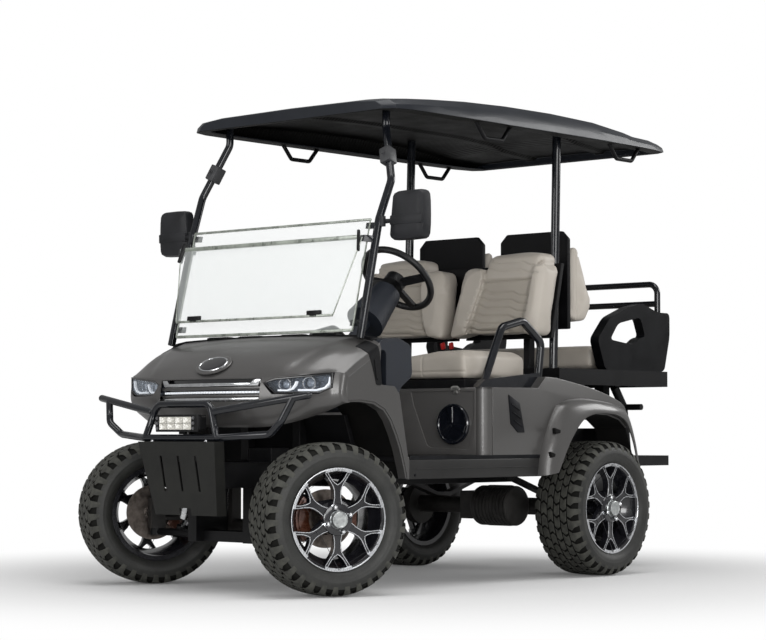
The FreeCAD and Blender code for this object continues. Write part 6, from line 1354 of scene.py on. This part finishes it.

# Light bar: a finned black housing on the hoop with two rows of four reflector cells, whose glow is a painted
# reflection, end plates, side brackets and their bolts.
bm = bmesh.new()
ring_plate(
    bm, (
        (-0.118, 0.6225), (0.118, 0.6225), (0.121, 0.640), (0.121, 0.673), (0.118, 0.6895), (-0.118, 0.6895),
        (-0.121, 0.673), (-0.121, 0.640)
    ),
    (
        (-0.100, 0.6305), (0.078, 0.6305), (0.080, 0.640), (0.080, 0.673), (0.078, 0.6815), (-0.100, 0.6815),
        (-0.102, 0.673), (-0.102, 0.640)
    ),
    1.140 + SHIFT, 1.159 + SHIFT,
)
plate(
    bm, ((-0.104, 0.628), (0.104, 0.628), (0.104, 0.684), (-0.104, 0.684)), 1.124 + SHIFT, 1.142 + SHIFT, "YZ",
    0.001, 1
)
for fin in range(9):
    z = 0.6260 + fin * 0.0072
    plate(
        bm, ((-0.116, z), (0.116, z), (0.116, z + 0.0032), (-0.116, z + 0.0032)), 1.115 + SHIFT, 1.142 + SHIFT,
        "YZ"
    )
for side in (1, -1):
    plate(
        bm, set_back(((1.117, 0.632), (1.153, 0.632), (1.153, 0.680), (1.117, 0.680))), 0.1185 * side,
        0.1219 * side, "XZ", 0.001, 1
    )
plate(
    bm, ((-0.016, 0.6135), (0.016, 0.6135), (0.016, 0.626), (-0.016, 0.626)), 1.117 + SHIFT, 1.133 + SHIFT,
    "YZ", 0.001, 1
)
for y in (0.091, -0.110):
    for z in (0.636, 0.656, 0.676):
        bolt(bm, (1.1585 + SHIFT, y, z), FORWARD, 0.0042, 1)
for column in range(4):
    for row in range(2):
        y = -0.0795 + column * 0.0445
        z = 0.6435 + row * 0.0250
        ring = (
            (y - 0.0215, z - 0.0120), (y + 0.0215, z - 0.0120), (y + 0.0215, z + 0.0120),
            (y - 0.0215, z + 0.0120)
        )
        core = (
            (y - 0.0100, z - 0.0055), (y + 0.0100, z - 0.0055), (y + 0.0100, z + 0.0055),
            (y - 0.0100, z + 0.0055)
        )
        own = bmesh.new()
        low = [own.verts.new((1.1435 + SHIFT, a, b)) for a, b in core]
        high = [own.verts.new((1.1555 + SHIFT, a, b)) for a, b in ring]
        edges = [own.edges.new((r[i], r[(i + 1) % 4])) for r in (low, high) for i in range(4)]
        bmesh.ops.bridge_loops(own, edges=edges)
        own.faces.new(low)
        faced(own, Vector((1, 0, 0)))
        painted(own.faces, 2)
        join(bm, own)
built("light_bar_unit", bm, "chassis", [powder_black, bolt_steel, reflector_painted_glint], 32, ["light_bar"])

# Canopy struts and mirrors: bent black tube with grey clamp blocks under the roof, and grained black
# mirror housings on short arms, each with a raised band across its back.
clamp_grey = worn_finish(
    "clamp_grey", (0.030, 0.031, 0.033), (0.050, 0.051, 0.054), (0.4, 0.55), 900, 0.0005, patch=18
)
rounded_copy("strut_tubes", "canopy_struts", 0.0, [guard_gloss], crease=50)
bm = bmesh.new()
for side in (1, -1):
    own = bmesh.new()
    plate(own, ((-0.026, -0.034), (0.026, -0.034), (0.026, 0.034), (-0.026, 0.034)), -0.024, 0.024, "XZ", 0.004, 2)
    splay = Matrix.Rotation(math.radians(20 * side), 4, "X")
    rake = Matrix.Rotation(math.radians(-18), 4, "Y")
    turn = Matrix.Translation((0.4735 + SHIFT, 0.488 * side, 1.719)) @ rake @ splay
    bmesh.ops.transform(own, verts=own.verts, matrix=turn)
    bolt(own, turn @ Vector((0.034, 0, 0)), turn.to_3x3().to_4x4() @ FORWARD, 0.005)
    join(bm, own)
built("strut_clamps", bm, "chassis", [clamp_grey], 32)
MIRROR_OUTLINE = (
    (0.566, 1.392), (0.571, 1.381), (0.582, 1.3745), (0.650, 1.3725), (0.722, 1.3745), (0.735, 1.381), (0.742, 1.394),
    (0.7455, 1.430), (0.7460, 1.470), (0.7450, 1.520), (0.7420, 1.548), (0.734, 1.560), (0.720, 1.5665),
    (0.650, 1.5675), (0.606, 1.5660), (0.590, 1.560), (0.582, 1.548), (0.573, 1.470),
)
bm = bmesh.new()
for side in (1, -1):
    own = bmesh.new()
    face = own.faces.new([own.verts.new((0.514, y, z)) for y, z in MIRROR_OUTLINE])
    stages = ((0.028, 0.0), (0.014, 0.004), (0.006, 0.012), (0.0028, 0.026))
    top = face
    for forward, inward in stages:
        grown = bmesh.ops.extrude_discrete_faces(own, faces=[top])["faces"][0]
        centre = grown.calc_center_median()
        for v in grown.verts:
            share = 1 - inward / 0.09
            y = centre.y + (v.co.y - centre.y) * share
            v.co = Vector((v.co.x + forward, y, centre.z + (v.co.z - centre.z) * share))
        top = grown
    bmesh.ops.recalc_face_normals(own, faces=own.faces)
    band = ((0.5760, 1.432), (0.7400, 1.432), (0.7415, 1.470), (0.5775, 1.470))
    plate(own, band, 0.5400, 0.5668, "YZ", 0.004, 2)
    to_side(own, side, lambda co: 0.0)
    join(bm, own)
    arm = bmesh.new()
    bmesh.ops.create_cone(
        arm, cap_ends=True, segments=20, radius1=0.0095, radius2=0.0085, depth=0.044,
        matrix=Matrix.Translation((0.555 + SHIFT, 0.560 * side, 1.450)) @ outwards(side),
    )
    bmesh.ops.create_cone(
        arm, cap_ends=True, segments=20, radius1=0.016, radius2=0.016, depth=0.040,
        matrix=Matrix.Translation((0.565 + SHIFT, 0.535 * side, 1.450)),
    )
    join(bm, arm)
mirror_black = worn_finish(
    "mirror_black", (0.007, 0.0075, 0.009), (0.014, 0.0145, 0.017), (0.4, 0.56), 800, 0.0009, patch=10,
    shine=0.35
)
built("mirror_housings", bm, "chassis", [mirror_black], 34, ["mirrors"])
mirror_glass = worn_finish(
    "mirror_glass", (0.55, 0.57, 0.60), (0.62, 0.64, 0.66), (0.02, 0.05), 60, 0.0, patch=5, metal=1.0
)
bm = bmesh.new()
for side in (1, -1):
    inset = [(0.656 + (y - 0.656) * 0.90, 1.470 + (z - 1.470) * 0.90) for y, z in MIRROR_OUTLINE]
    plate(bm, [(y * side, z) for y, z in inset], 0.5125 + SHIFT, 0.5145 + SHIFT, "YZ")
built("mirror_glass", bm, "chassis", [mirror_glass], 34)

# Windscreen: clear panes with silvery edge seals. The upper pane is folded down in front of the lower
# one, and black clips at its free edge hold it when it is up.
# The panes' pale colour, stronger at flat angles, is a painted reflection of the sky.
screen_clear = lens_finish("screen_clear", (0.90, 0.94, 0.93), 0.006, 0.30, 0.02)
edge_seal = worn_finish(
    "edge_seal", (0.20, 0.22, 0.19), (0.44, 0.47, 0.42), (0.22, 0.4), 300, 0.0003, patch=22, metal=0.3, coat=0.3
)
for name in ("windscreen_lower", "windscreen_upper"):
    rounded_copy(name.replace("windscreen", "pane"), name, 0.0012, [screen_clear])


def edge_strip(bm, start, end, tall, deep, finish=0):
    """A thin seal from one point to another."""
    own = bmesh.new()
    length = (Vector(end) - Vector(start)).length
    bmesh.ops.create_cube(own, size=1.0)
    bmesh.ops.scale(own, verts=own.verts, vec=(length, deep, tall))
    slab_edges(own, min(tall, deep) * 0.3, 30.0, 2)
    turn = (Vector(end) - Vector(start)).to_track_quat("X", "Z").to_matrix().to_4x4()
    bmesh.ops.transform(own, verts=own.verts, matrix=Matrix.Translation((Vector(start) + Vector(end)) / 2) @ turn)
    painted(own.faces, finish)
    join(bm, own)


bm = bmesh.new()
for start, end, tall, deep in (
    ((0.5825, -0.496, 1.4585), (0.5825, 0.496, 1.4585), 0.010, 0.008),
    ((0.6500, -0.500, 1.3850), (0.6500, 0.500, 1.3850), 0.018, 0.009),
    ((0.7460, -0.440, 1.0765), (0.7460, 0.440, 1.0765), 0.010, 0.008),
    ((0.6930, -0.494, 1.0180), (0.6930, 0.494, 1.0180), 0.012, 0.008),
):
    edge_strip(bm, (start[0] + SHIFT, start[1], start[2]), (end[0] + SHIFT, end[1], end[2]), tall, deep)
for side in (1, -1):
    edge_strip(bm, (0.694 + SHIFT, 0.4945 * side, 1.016), (0.585 + SHIFT, 0.4945 * side, 1.458), 0.006, 0.005)
    edge_strip(bm, (0.746 + SHIFT, 0.441 * side, 1.078), (0.652 + SHIFT, 0.511 * side, 1.384), 0.005, 0.004)
built("pane_seals", bm, "chassis", [edge_seal], 32)
bm = bmesh.new()
for side in (1, -1):
    edge_strip(bm, (0.742 + SHIFT, 0.300 * side, 1.0860), (0.742 + SHIFT, 0.375 * side, 1.0860), 0.026, 0.014)
    edge_strip(bm, (0.748 + SHIFT, 0.318 * side, 1.0800), (0.748 + SHIFT, 0.357 * side, 1.0800), 0.014, 0.004)
    edge_strip(bm, (0.648 + SHIFT, 0.488 * side, 1.412), (0.668 + SHIFT, 0.503 * side, 1.330), 0.022, 0.012)
built("pane_clips", bm, "chassis", [powder_black], 32)

# Dash and steering: a grained blue-black moulding, the column in its shroud, and a soft-rimmed wheel
# with a padded hub.
dash_black = worn_finish(
    "dash_black", (0.008, 0.010, 0.015), (0.014, 0.017, 0.024), (0.45, 0.62), 1200, 0.0008, shine=0.3
)
rounded_copy("dash_moulding", "dashboard", 0.006, [dash_black], steps=3, bend=(1, 0.03))
rim_soft = worn_finish(
    "wheel_rim_soft", (0.004, 0.004, 0.0045), (0.009, 0.009, 0.0095), (0.36, 0.5), 1500, 0.0005, patch=20,
    shine=0.35
)
rounded_copy("steering_rim", "steering_wheel", 0.003, [rim_soft], "steering_wheel", crease=50)
rounded_copy("column_shroud", "steering_column", 0.006, [dash_black], steps=3, crease=50)
rounded_copy("floor_mat", "floor_pan", 0.003, [grained_black])

# Canopy: a crowned moulding in dark paint above, tinted blue as a painted reflection of the sky, lined below with a
# ribbed dark headliner made darker still as painted shade under the canopy, and its four grab handles.
# The roof paint's blue tint is a painted reflection of the sky's bluish sheen on the dark paint.
roof_paint_sky_tinted = worn_finish(
    "roof_paint_sky_tinted", (0.005, 0.007, 0.011), (0.008, 0.010, 0.015), (0.34, 0.46), 500, 0.0001, patch=4, coat=0.12,
    shine=0.35
)
# The headliner's near-black, darker than the roof paint, is partly painted shade under the canopy.
headliner_painted_shade, tree, shader = new_finish("headliner_painted_shade")
patches = noise_at(tree, 5.0, 3.0, 0.6)
tree.links.new(tinted(tree, patches, (0.0012, 0.0012, 0.0010), (0.0030, 0.0030, 0.0026)), shader.inputs["Base Color"])
tree.links.new(spread(tree, patches, 0.5, 0.7), shader.inputs["Roughness"])
shader.inputs["Specular IOR Level"].default_value = 0.12
ribs = tree.nodes.new("ShaderNodeTexWave")
ribs.bands_direction = "X"
ribs.inputs["Scale"].default_value = 16.0
tree.links.new(tree.nodes["Texture Coordinate"].outputs["Object"], ribs.inputs["Vector"])
raised(tree, shader, ribs.outputs["Fac"], 0.6, 0.003)
# Faces that look down take the headliner finish, darkened as painted shade.
rounded_copy(
    "canopy_shell", "roof", 0.004, [roof_paint_sky_tinted, headliner_painted_shade], crease=30,
    pick=lambda f: 1 if f.normal.z < -0.4 else 0,
)
rounded_copy("canopy_handles", "roof_handles", 0.0, [grained_black], crease=50)


# Front bench: foam cushions in greige leatherette, smooth at the bolsters and quilted in wavy rows in
# the middle, sewn with sunk seams. Each pad is blown up as cloth from a slightly smaller block.
SEAT_VOXEL = 0.006
BENCH_VOXEL = 0.0076
PAD_PRESSURE = 4.0
PAD_STIFFNESS = 12
PAD_BENDING = 1.5
PAD_FRAMES = 20
BENCH_UNDERSIDE = 0.846
REAR_BENCH_UNDERSIDE = 0.9065
REAR_BACK_FACE = -0.8235
QUILT_BOW = 0.012
QUILT_PITCH = 0.040
BACK_FOOT = (-0.470, 1.028)
BACK_LEAN = (-0.560 + 0.470) / (1.418 - 1.028)
MIDDLE_OUTLINE = (
    (0.120, 1.036), (0.424, 1.036), (0.440, 1.100), (0.446, 1.280), (0.482, 1.318), (0.488, 1.360), (0.482, 1.392),
    (0.462, 1.408), (0.330, 1.411), (0.215, 1.409), (0.186, 1.398), (0.172, 1.370), (0.166, 1.320), (0.176, 1.285),
)
INNER_BOLSTER = (
    (0.014, 1.040), (0.030, 1.034), (0.112, 1.036), (0.142, 1.110), (0.180, 1.250), (0.186, 1.300), (0.176, 1.336),
    (0.154, 1.346), (0.080, 1.345), (0.056, 1.330), (0.044, 1.290), (0.026, 1.160),
)
OUTER_BOLSTER = (
    (0.424, 1.052), (0.436, 1.036), (0.492, 1.034), (0.509, 1.050), (0.512, 1.200), (0.512, 1.318), (0.502, 1.348),
    (0.480, 1.356), (0.452, 1.350), (0.440, 1.326), (0.432, 1.200),
)
QUILT_ROWS = (1.362, 1.328, 1.2285, 1.195, 1.161, 1.127, 1.093, 1.060)
HEAD_SEAM = 1.285


def vinyl(name, first, second, grain):
    """Leatherette: a soft sheen over a fine pebbled grain."""
    made, tree, shader = new_finish(name)
    patches = noise_at(tree, 3.5, 3.0, 0.55)
    tree.links.new(tinted(tree, patches, first, second), shader.inputs["Base Color"])
    tree.links.new(spread(tree, patches, 0.44, 0.56), shader.inputs["Roughness"])
    pebbles = tree.nodes.new("ShaderNodeTexVoronoi")
    pebbles.inputs["Scale"].default_value = grain
    place = tree.nodes["Texture Coordinate"]
    tree.links.new(place.outputs["Object"], pebbles.inputs["Vector"])
    raised(tree, shader, pebbles.outputs["Distance"], 0.35, 0.0006)
    shader.inputs["Sheen Weight"].default_value = 0.12
    shader.inputs["Sheen Roughness"].default_value = 0.4
    return made


vinyl_smooth = vinyl("greige_smooth", (0.400, 0.365, 0.318), (0.452, 0.414, 0.364), 700.0)
vinyl_quilted = vinyl("greige_quilted", (0.335, 0.302, 0.258), (0.385, 0.350, 0.300), 900.0)


def mesh_of(own, name, modifiers):
    """The mesh that a shape has once its modifiers are applied."""
    mesh = bpy.data.meshes.new(name)
    own.to_mesh(mesh)
    own.free()
    holder = bpy.data.objects.new(name, mesh)
    scene.collection.objects.link(holder)
    for kind, settings in modifiers:
        added = holder.modifiers.new(kind.lower(), kind)
        for key, value in settings.items():
            setattr(added, key, value)
    shaped = bpy.data.meshes.new_from_object(holder.evaluated_get(bpy.context.evaluated_depsgraph_get()))
    bpy.data.objects.remove(holder)
    bpy.data.meshes.remove(mesh)
    return shaped


def blown_up(own, name, cap, voxel=SEAT_VOXEL):
    """Remesh a block, blow it up as cloth, and hand back its finer mesh."""
    skin = mesh_of(own, name, [("REMESH", {"mode": "VOXEL", "voxel_size": voxel, "use_smooth_shade": True})])
    start = [v.co.copy() for v in skin.vertices]
    holder = bpy.data.objects.new(name, skin)
    scene.collection.objects.link(holder)
    cloth = holder.modifiers.new("cloth", "CLOTH")
    cloth.settings.quality = 4
    cloth.settings.use_pressure = True
    cloth.settings.uniform_pressure_force = PAD_PRESSURE
    cloth.settings.effector_weights.gravity = 0
    cloth.settings.tension_stiffness = PAD_STIFFNESS
    cloth.settings.compression_stiffness = PAD_STIFFNESS
    cloth.settings.bending_stiffness = PAD_BENDING
    cloth.point_cache.frame_start = 1
    cloth.point_cache.frame_end = PAD_FRAMES
    for step in range(1, PAD_FRAMES + 1):
        scene.frame_set(step)
    grown = bpy.data.meshes.new_from_object(holder.evaluated_get(bpy.context.evaluated_depsgraph_get()))
    for v, first in zip(grown.vertices, start):
        moved = v.co - first
        if moved.length > cap:
            v.co = first + moved * (cap / moved.length)
    bpy.data.objects.remove(holder)
    scene.frame_set(1)
    skin = grown
    bm = bmesh.new()
    bm.from_mesh(skin)
    bpy.data.meshes.remove(skin)
    for turn in range(3):
        bmesh.ops.smooth_vert(bm, verts=bm.verts, factor=0.5, use_axis_x=True, use_axis_y=True, use_axis_z=True)
    fine = mesh_of(bm, name, [("SUBSURF", {"levels": 1, "render_levels": 1})])
    bm = bmesh.new()
    bm.from_mesh(fine)
    bpy.data.meshes.remove(fine)
    bm.normal_update()
    return bm


def stitch(bm, flat, lines, width, depth, facing):
    """Sink sewn lines into a pad, as seen flat from one side."""
    places = np.array([flat(v.co) for v in bm.verts])
    nearest = np.full(len(places), 9.0)
    for line in lines:
        for a, b in zip(line, line[1:]):
            a, b = np.array(a, float), np.array(b, float)
            run = b - a
            share = np.clip((places - a) @ run / (run @ run), 0.0, 1.0)
            nearest = np.minimum(nearest, np.hypot(*(places - a - share[:, None] * run).T))
    sink = depth * np.exp(-(nearest / width) ** 2)
    normals = [v.normal.copy() for v in bm.verts]
    for v, normal, down in zip(bm.verts, normals, sink):
        if down > 1e-5 and facing(normal):
            v.co -= normal * float(down)
    bm.normal_update()


def quilt_line(z, start, end):
    """A row of the quilting: it steps down twice on its way across."""
    wide = end - start
    steps = ((0.0, 0.016), (0.10, 0.015), (0.22, 0.002), (0.66, 0.0), (0.80, -0.016), (1.0, -0.019))
    return [(start + wide * share, z + lift) for share, lift in steps]


def bench_rows(first, spans):
    """Eight sewn rows across a bench, each bowed to the back in its middle."""
    rows = []
    for step in range(8):
        x = first - step * QUILT_PITCH
        for a, b, c, d in spans:
            rows.append([(x, a), (x - QUILT_BOW, b), (x - QUILT_BOW, c), (x, d)])
    return rows


def back_face(z):
    """How far back the front backrests' face lies at a height."""
    return BACK_FOOT[0] + (z - BACK_FOOT[1]) * BACK_LEAN


for side, word in ((1, "left"), (-1, "right")):
    own = bmesh.new()
    for outline, low, high in (
        (MIDDLE_OUTLINE, -0.104, -0.010), (INNER_BOLSTER, -0.102, 0.010), (OUTER_BOLSTER, -0.102, 0.010)
    ):
        plate(own, outline, low, high, "YZ", 0.014, 3)
    to_side(own, side, lambda co: back_face(co.z))
    pad = blown_up(own, "back_pad", 0.014)
    edge_in = [(0.112, 1.036), (0.142, 1.110), (0.178, 1.250), (0.186, 1.300), (0.170, 1.346)]
    edge_out = [(0.426, 1.036), (0.436, 1.120), (0.440, 1.200), (0.444, 1.326), (0.470, 1.358)]
    to_flat = lambda co, side=side: (co.y * side, co.z)
    ahead = lambda normal: normal.x > 0.15
    stitch(pad, to_flat, [edge_in, edge_out], 0.0060, 0.0120, ahead)
    stitch(pad, to_flat, [[(0.176, HEAD_SEAM), (0.444, HEAD_SEAM)]], 0.0055, 0.0095, ahead)
    rows = []
    for z in QUILT_ROWS:
        start = 0.100 + (z - 1.030) * 0.32 if z < HEAD_SEAM else 0.176
        end = 0.440 if z < HEAD_SEAM else 0.476
        row = quilt_line(z, start, end)
        rows.append(row if side > 0 else [(start + end - y, level) for y, level in row])
    stitch(pad, to_flat, rows, 0.0050, 0.0042, ahead)
    insert = [
        (0.112, 1.036), (0.142, 1.110), (0.178, 1.250), (0.182, 1.285), (0.444, 1.285), (0.440, 1.200),
        (0.426, 1.036)
    ]
    for f in pad.faces:
        c = f.calc_center_median()
        f.material_index = 1 if f.normal.x > 0.3 and inside(insert, c.y * side, c.z) else 0
    made = built(
        "back_cushion_%s" % word, pad, "chassis", [vinyl_smooth, vinyl_quilted], 60, ["seat_backs"]
        if side > 0 else []
    )

bm = bmesh.new()
half = 0.503
crest = [(0.503, 0.945), (0.480, 0.9515), (0.320, 0.948), (0.155, 0.930)]
saddle = [(half, 0.850)] + crest + [(-y, z) for y, z in crest[::-1]] + [(-half, 0.850)]
plate(bm, saddle, -0.413 + SHIFT, 0.010 + SHIFT, "YZ", 0.016, 3)
pad = blown_up(bm, "bench_pad", 0.012, BENCH_VOXEL)
for v in pad.verts:
    v.co.z = max(v.co.z, BENCH_UNDERSIDE)
over = lambda co: (co.x - SHIFT, co.y)
up = lambda normal: normal.z > 0.4
stitch(
    pad, over,
    [
        [(-0.03, -0.47), (-0.03, 0.47)], [(-0.36, -0.30), (-0.03, -0.30)], [(-0.36, 0.30), (-0.03, 0.30)],
        [(-0.03, -0.03), (-0.36, -0.03)], [(-0.03, 0.03), (-0.36, 0.03)]
    ],
    0.005, 0.006, up
)
rows = bench_rows(-0.060, ((-0.30, -0.20, -0.12, -0.03), (0.03, 0.12, 0.20, 0.30)))
stitch(pad, over, rows, 0.0042, 0.0035, up)
front_flat = lambda co: (co.y, co.z)
stitch(
    pad, front_flat,
    [[(-0.26, 0.856), (-0.26, 0.945)], [(0.26, 0.856), (0.26, 0.945)], [(-0.49, 0.872), (0.49, 0.872)]], 0.0045,
    0.0040, lambda normal: normal.x > 0.5
)
for f in pad.faces:
    c = f.calc_center_median()
    f.material_index = 1 if f.normal.z > 0.5 and -0.37 < c.x - SHIFT < -0.03 and 0.03 < abs(c.y) < 0.30 else 0
made = built("bench_cushion", pad, "front_seat_lid", [vinyl_smooth, vinyl_quilted], 60, ["front_cushion"])

buckle_red = worn_finish(
    "buckle_red", (0.36, 0.012, 0.012), (0.50, 0.022, 0.020), (0.25, 0.4), 300, 0.0002, patch=30, coat=0.3
)
bm = bmesh.new()
for y in (-0.036, 0.012):
    edge_strip(bm, (-0.552 + SHIFT, y, 0.842), (-0.513 + SHIFT, y, 0.955), 0.018, 0.006, 0)
    edge_strip(bm, (-0.513 + SHIFT, y, 0.952), (-0.496 + SHIFT, y, 1.010), 0.020, 0.011, 0)
    edge_strip(bm, (-0.502 + SHIFT, y, 0.990), (-0.494 + SHIFT, y, 1.018), 0.0225, 0.0135, 1)
built("belt_buckles", bm, "chassis", [powder_black, buckle_red], 32)
rounded_copy("back_shell_panels", "back_shells", 0.003, [grained_black])
rounded_copy("bench_frame", "seat_frame", 0.002, [powder_black])
rounded_copy("hip_hoops", "hip_restraints", 0.003, [guard_gloss], crease=50)

# Rear bench: two leatherette backrests with headrest rolls against black moulded shells, and a hinged
# cushion over the storage tray.
for side, word in ((1, "left"), (-1, "right")):
    own = bmesh.new()
    outline = (
        (-0.829, 1.110), (-0.829, 1.440), (-0.862, 1.444), (-0.918, 1.312), (-0.953, 1.212), (-0.948, 1.170),
        (-0.910, 1.112)
    )
    plate(own, set_back(outline), 0.032 * side, 0.448 * side, "XZ", 0.016, 3)
    head = ((-0.829, 1.400), (-0.829, 1.486), (-0.842, 1.498), (-0.868, 1.490), (-0.880, 1.460), (-0.876, 1.400))
    plate(own, set_back(head), 0.105 * side, 0.385 * side, "XZ", 0.012, 3)
    pad = blown_up(own, "rear_pad", 0.010)
    for v in pad.verts:
        v.co.x = min(v.co.x, REAR_BACK_FACE + SHIFT)
    flat = lambda co, side=side: (co.y * side, co.z)
    behind = lambda normal: normal.x < -0.2
    stitch(
        pad, flat,
        [[(0.035, 1.405), (0.445, 1.405)], [(0.110, 1.115), (0.110, 1.405)], [(0.370, 1.115), (0.370, 1.405)]],
        0.005, 0.0065, behind
    )
    stitch(pad, flat, [quilt_line(1.150 + step * 0.036, 0.112, 0.368) for step in range(7)], 0.0042, 0.0035, behind)
    stitch(
        pad, lambda co: (co.x - SHIFT, co.z), [[(-0.848, 1.118), (-0.848, 1.43), (-0.862, 1.44)]], 0.004, 0.004,
        lambda normal: abs(normal.y) > 0.5
    )
    for f in pad.faces:
        c = f.calc_center_median()
        f.material_index = 1 if f.normal.x < -0.3 and 0.110 < c.y * side < 0.370 and c.z < 1.405 else 0
    made = built(
        "rear_back_%s" % word, pad, "chassis", [vinyl_smooth, vinyl_quilted], 60, ["rear_backs"]
        if side > 0 else []
    )
bm = bmesh.new()
plate(
    bm, [(-0.428, 0.912), (-0.428, 0.996), (-0.400, 1.000), (0.400, 1.000), (0.428, 0.996), (0.428, 0.912)],
    -1.392 + SHIFT, -0.974 + SHIFT, "YZ", 0.016, 3
)
pad = blown_up(bm, "rear_bench_pad", 0.010, BENCH_VOXEL)
for v in pad.verts:
    v.co.z = max(v.co.z, REAR_BENCH_UNDERSIDE)
stitch(
    pad, over,
    [
        [(-1.34, -0.39), (-1.34, 0.39)], [(-1.34, -0.28), (-1.00, -0.28)], [(-1.34, 0.28), (-1.00, 0.28)],
        [(-1.34, 0.0), (-1.00, 0.0)]
    ],
    0.005, 0.006, up
)
rows = bench_rows(-1.020, [(low, low + 0.09, low + 0.19, low + 0.28) for low in (-0.28, 0.0)])
stitch(pad, over, rows, 0.0042, 0.0035, up)
for f in pad.faces:
    c = f.calc_center_median()
    f.material_index = 1 if f.normal.z > 0.5 and -1.34 < c.x - SHIFT < -0.99 and abs(c.y) < 0.28 else 0
made = built("rear_bench_cushion", pad, "rear_seat_lid", [vinyl_smooth, vinyl_quilted], 60, ["rear_cushion"])
rounded_copy("rear_shell_panels", "rear_shells", 0.006, [grained_black], steps=3)


# Rear kit: moulded armrest loops, a deck tray with a plain skirt, the bent grab bar, and the folding
# footrest on its tubes.
trim_black = worn_finish(
    "trim_black", (0.0015, 0.0017, 0.0023), (0.0034, 0.0037, 0.0046), (0.34, 0.48), 800, 0.0005, patch=10,
    shine=0.12
)
rounded_copy("armrest_loops", "armrests", 0.007, [trim_black], steps=3, bend=(1, 0.022))
rounded_copy("deck_tray", "rear_deck", 0.004, [grained_black], steps=3, bend=(2, 0.02))
rounded_copy("grab_tube", "grab_bar", 0.0, [guard_gloss], crease=50)
rounded_copy("footrest_kit", "footrest", 0.003, [powder_black], crease=50)
rounded_copy("hitch_socket", "hitch_receiver", 0.001, [powder_black])


# Chassis and running gear: welded frame in black powder coat, cast knuckles with copper-brown brake
# calipers, silver dampers, spring leaves, the axle with its motor, and the battery box.
cast_iron = worn_finish(
    "cast_iron", (0.018, 0.017, 0.016), (0.034, 0.032, 0.030), (0.5, 0.7), 500, 0.0012, patch=22, metal=0.4
)
spring_steel = worn_finish(
    "spring_steel", (0.014, 0.014, 0.015), (0.030, 0.029, 0.029), (0.35, 0.5), 600, 0.0004, patch=18, metal=0.5
)
caliper_copper = worn_finish(
    "caliper_copper", (0.060, 0.018, 0.009), (0.105, 0.034, 0.016), (0.2, 0.34), 400, 0.0006, patch=26,
    metal=0.3, coat=0.4
)
battery_grey = worn_finish(
    "battery_grey", (0.020, 0.020, 0.021), (0.032, 0.032, 0.033), (0.5, 0.65), 800, 0.0005, patch=9
)
damper_silver = worn_finish(
    "damper_silver", (0.46, 0.47, 0.48), (0.64, 0.65, 0.66), (0.16, 0.3), 500, 0.0001, patch=40, metal=1.0
)
for name, node, width, finish, slot, body in (
    ("frame_rail_boxes", "frame_rails", 0.003, powder_black, "black_frame", "chassis"),
    ("front_rail_boxes", "front_rails", 0.002, powder_black, "black_frame", "chassis"),
    ("frame_cross_boxes", "cross_members", 0.002, powder_black, "black_frame", "chassis"),
    ("outrigger_arms", "outriggers", 0.002, powder_black, "black_frame", "chassis"),
    ("bulkhead_hoop", "bulkhead", 0.002, powder_black, "black_frame", "chassis"),
    ("front_arms", "front_suspension", 0.0015, powder_black, "black_frame", "chassis"),
    ("rear_axle_casting", "rear_axle", 0.002, cast_iron, "black_frame", "chassis"),
    ("steering_rack_housing", "steering_rack", 0.001, cast_iron, "black_frame", "chassis"),
    ("tie_rod_pair", "tie_rods", 0.0, bolt_steel, "steel", "rack_bar"),
    ("seat_ledge", "seat_base", 0.003, grained_black, "black_plastic", "chassis"),
    ("battery_case", "battery_pack", 0.006, battery_grey, "black_plastic", "chassis"),
    ("spring_leaves", "rear_springs", 0.001, spring_steel, "black_frame", "chassis"),
    ("damper_pair", "front_shocks", 0.0, damper_silver, "steel", "chassis"),
):
    rounded_copy(name, node, width, [finish], body, crease=45)

for side, word in ((1, "left"), (-1, "right")):
    place = wheel_matrix("front_%s" % word, side)
    back = place.inverted()

    def is_caliper(face, back=back):
        """The finish of a knuckle's face: copper on the caliper, else cast iron."""
        local = back @ face.calc_center_median()
        return 1 if local.x < -0.045 and local.y > -0.050 else 0

    rounded_copy(
        "knuckle_casting_%s" % word, "knuckle_%s" % word, 0.0015, [cast_iron, caliper_copper],
        "knuckle_%s" % word, crease=45, pick=is_caliper,
    )
    bm = bmesh.new()
    arc = [math.radians(-42 + 7 * i) for i in range(13)]
    for low, high, inner, outer in (
        (-0.044, -0.0275, 0.070, 0.126), (-0.0125, -0.002, 0.076, 0.126), (-0.044, -0.002, 0.1155, 0.131)
    ):
        outline = [(math.cos(a) * outer, math.sin(a) * outer) for a in arc]
        outline += [(math.cos(a) * inner, math.sin(a) * inner) for a in arc[::-1]]
        plate(bm, outline, low, high, "XZ", 0.0025, 2)
    plate(bm, ((0.020, -0.022), (0.110, -0.030), (0.110, 0.030), (0.020, 0.022)), -0.056, -0.043, "XZ", 0.003, 2)
    bmesh.ops.transform(bm, verts=bm.verts, matrix=place)
    built("brake_caliper_%s" % word, bm, "knuckle_%s" % word, [caliper_copper], 32)

MOTOR_RADIUS = 0.0875
MOTOR_GROOVE = 0.0840
MOTOR_RINGS = [(0.080, 0.0001), (0.080, 0.070), (0.086, 0.084), (0.094, MOTOR_RADIUS)]
for ring in range(9):
    y = 0.100 + ring * 0.019
    MOTOR_RINGS += [
        (y, MOTOR_RADIUS), (y + 0.012, MOTOR_RADIUS), (y + 0.0125, MOTOR_GROOVE), (y + 0.0185, MOTOR_GROOVE)
    ]
MOTOR_RINGS += [(0.276, MOTOR_RADIUS), (0.284, 0.084), (0.290, 0.070), (0.290, 0.0001)]
bm = bmesh.new()
profile_ring(bm, MOTOR_RINGS, 48)
cleaned(bm)
bmesh.ops.translate(bm, verts=bm.verts, vec=(-0.620 + SHIFT, 0, 0.300))
built("motor_can", bm, "chassis", [cast_iron], 32, ["drive_motor"])
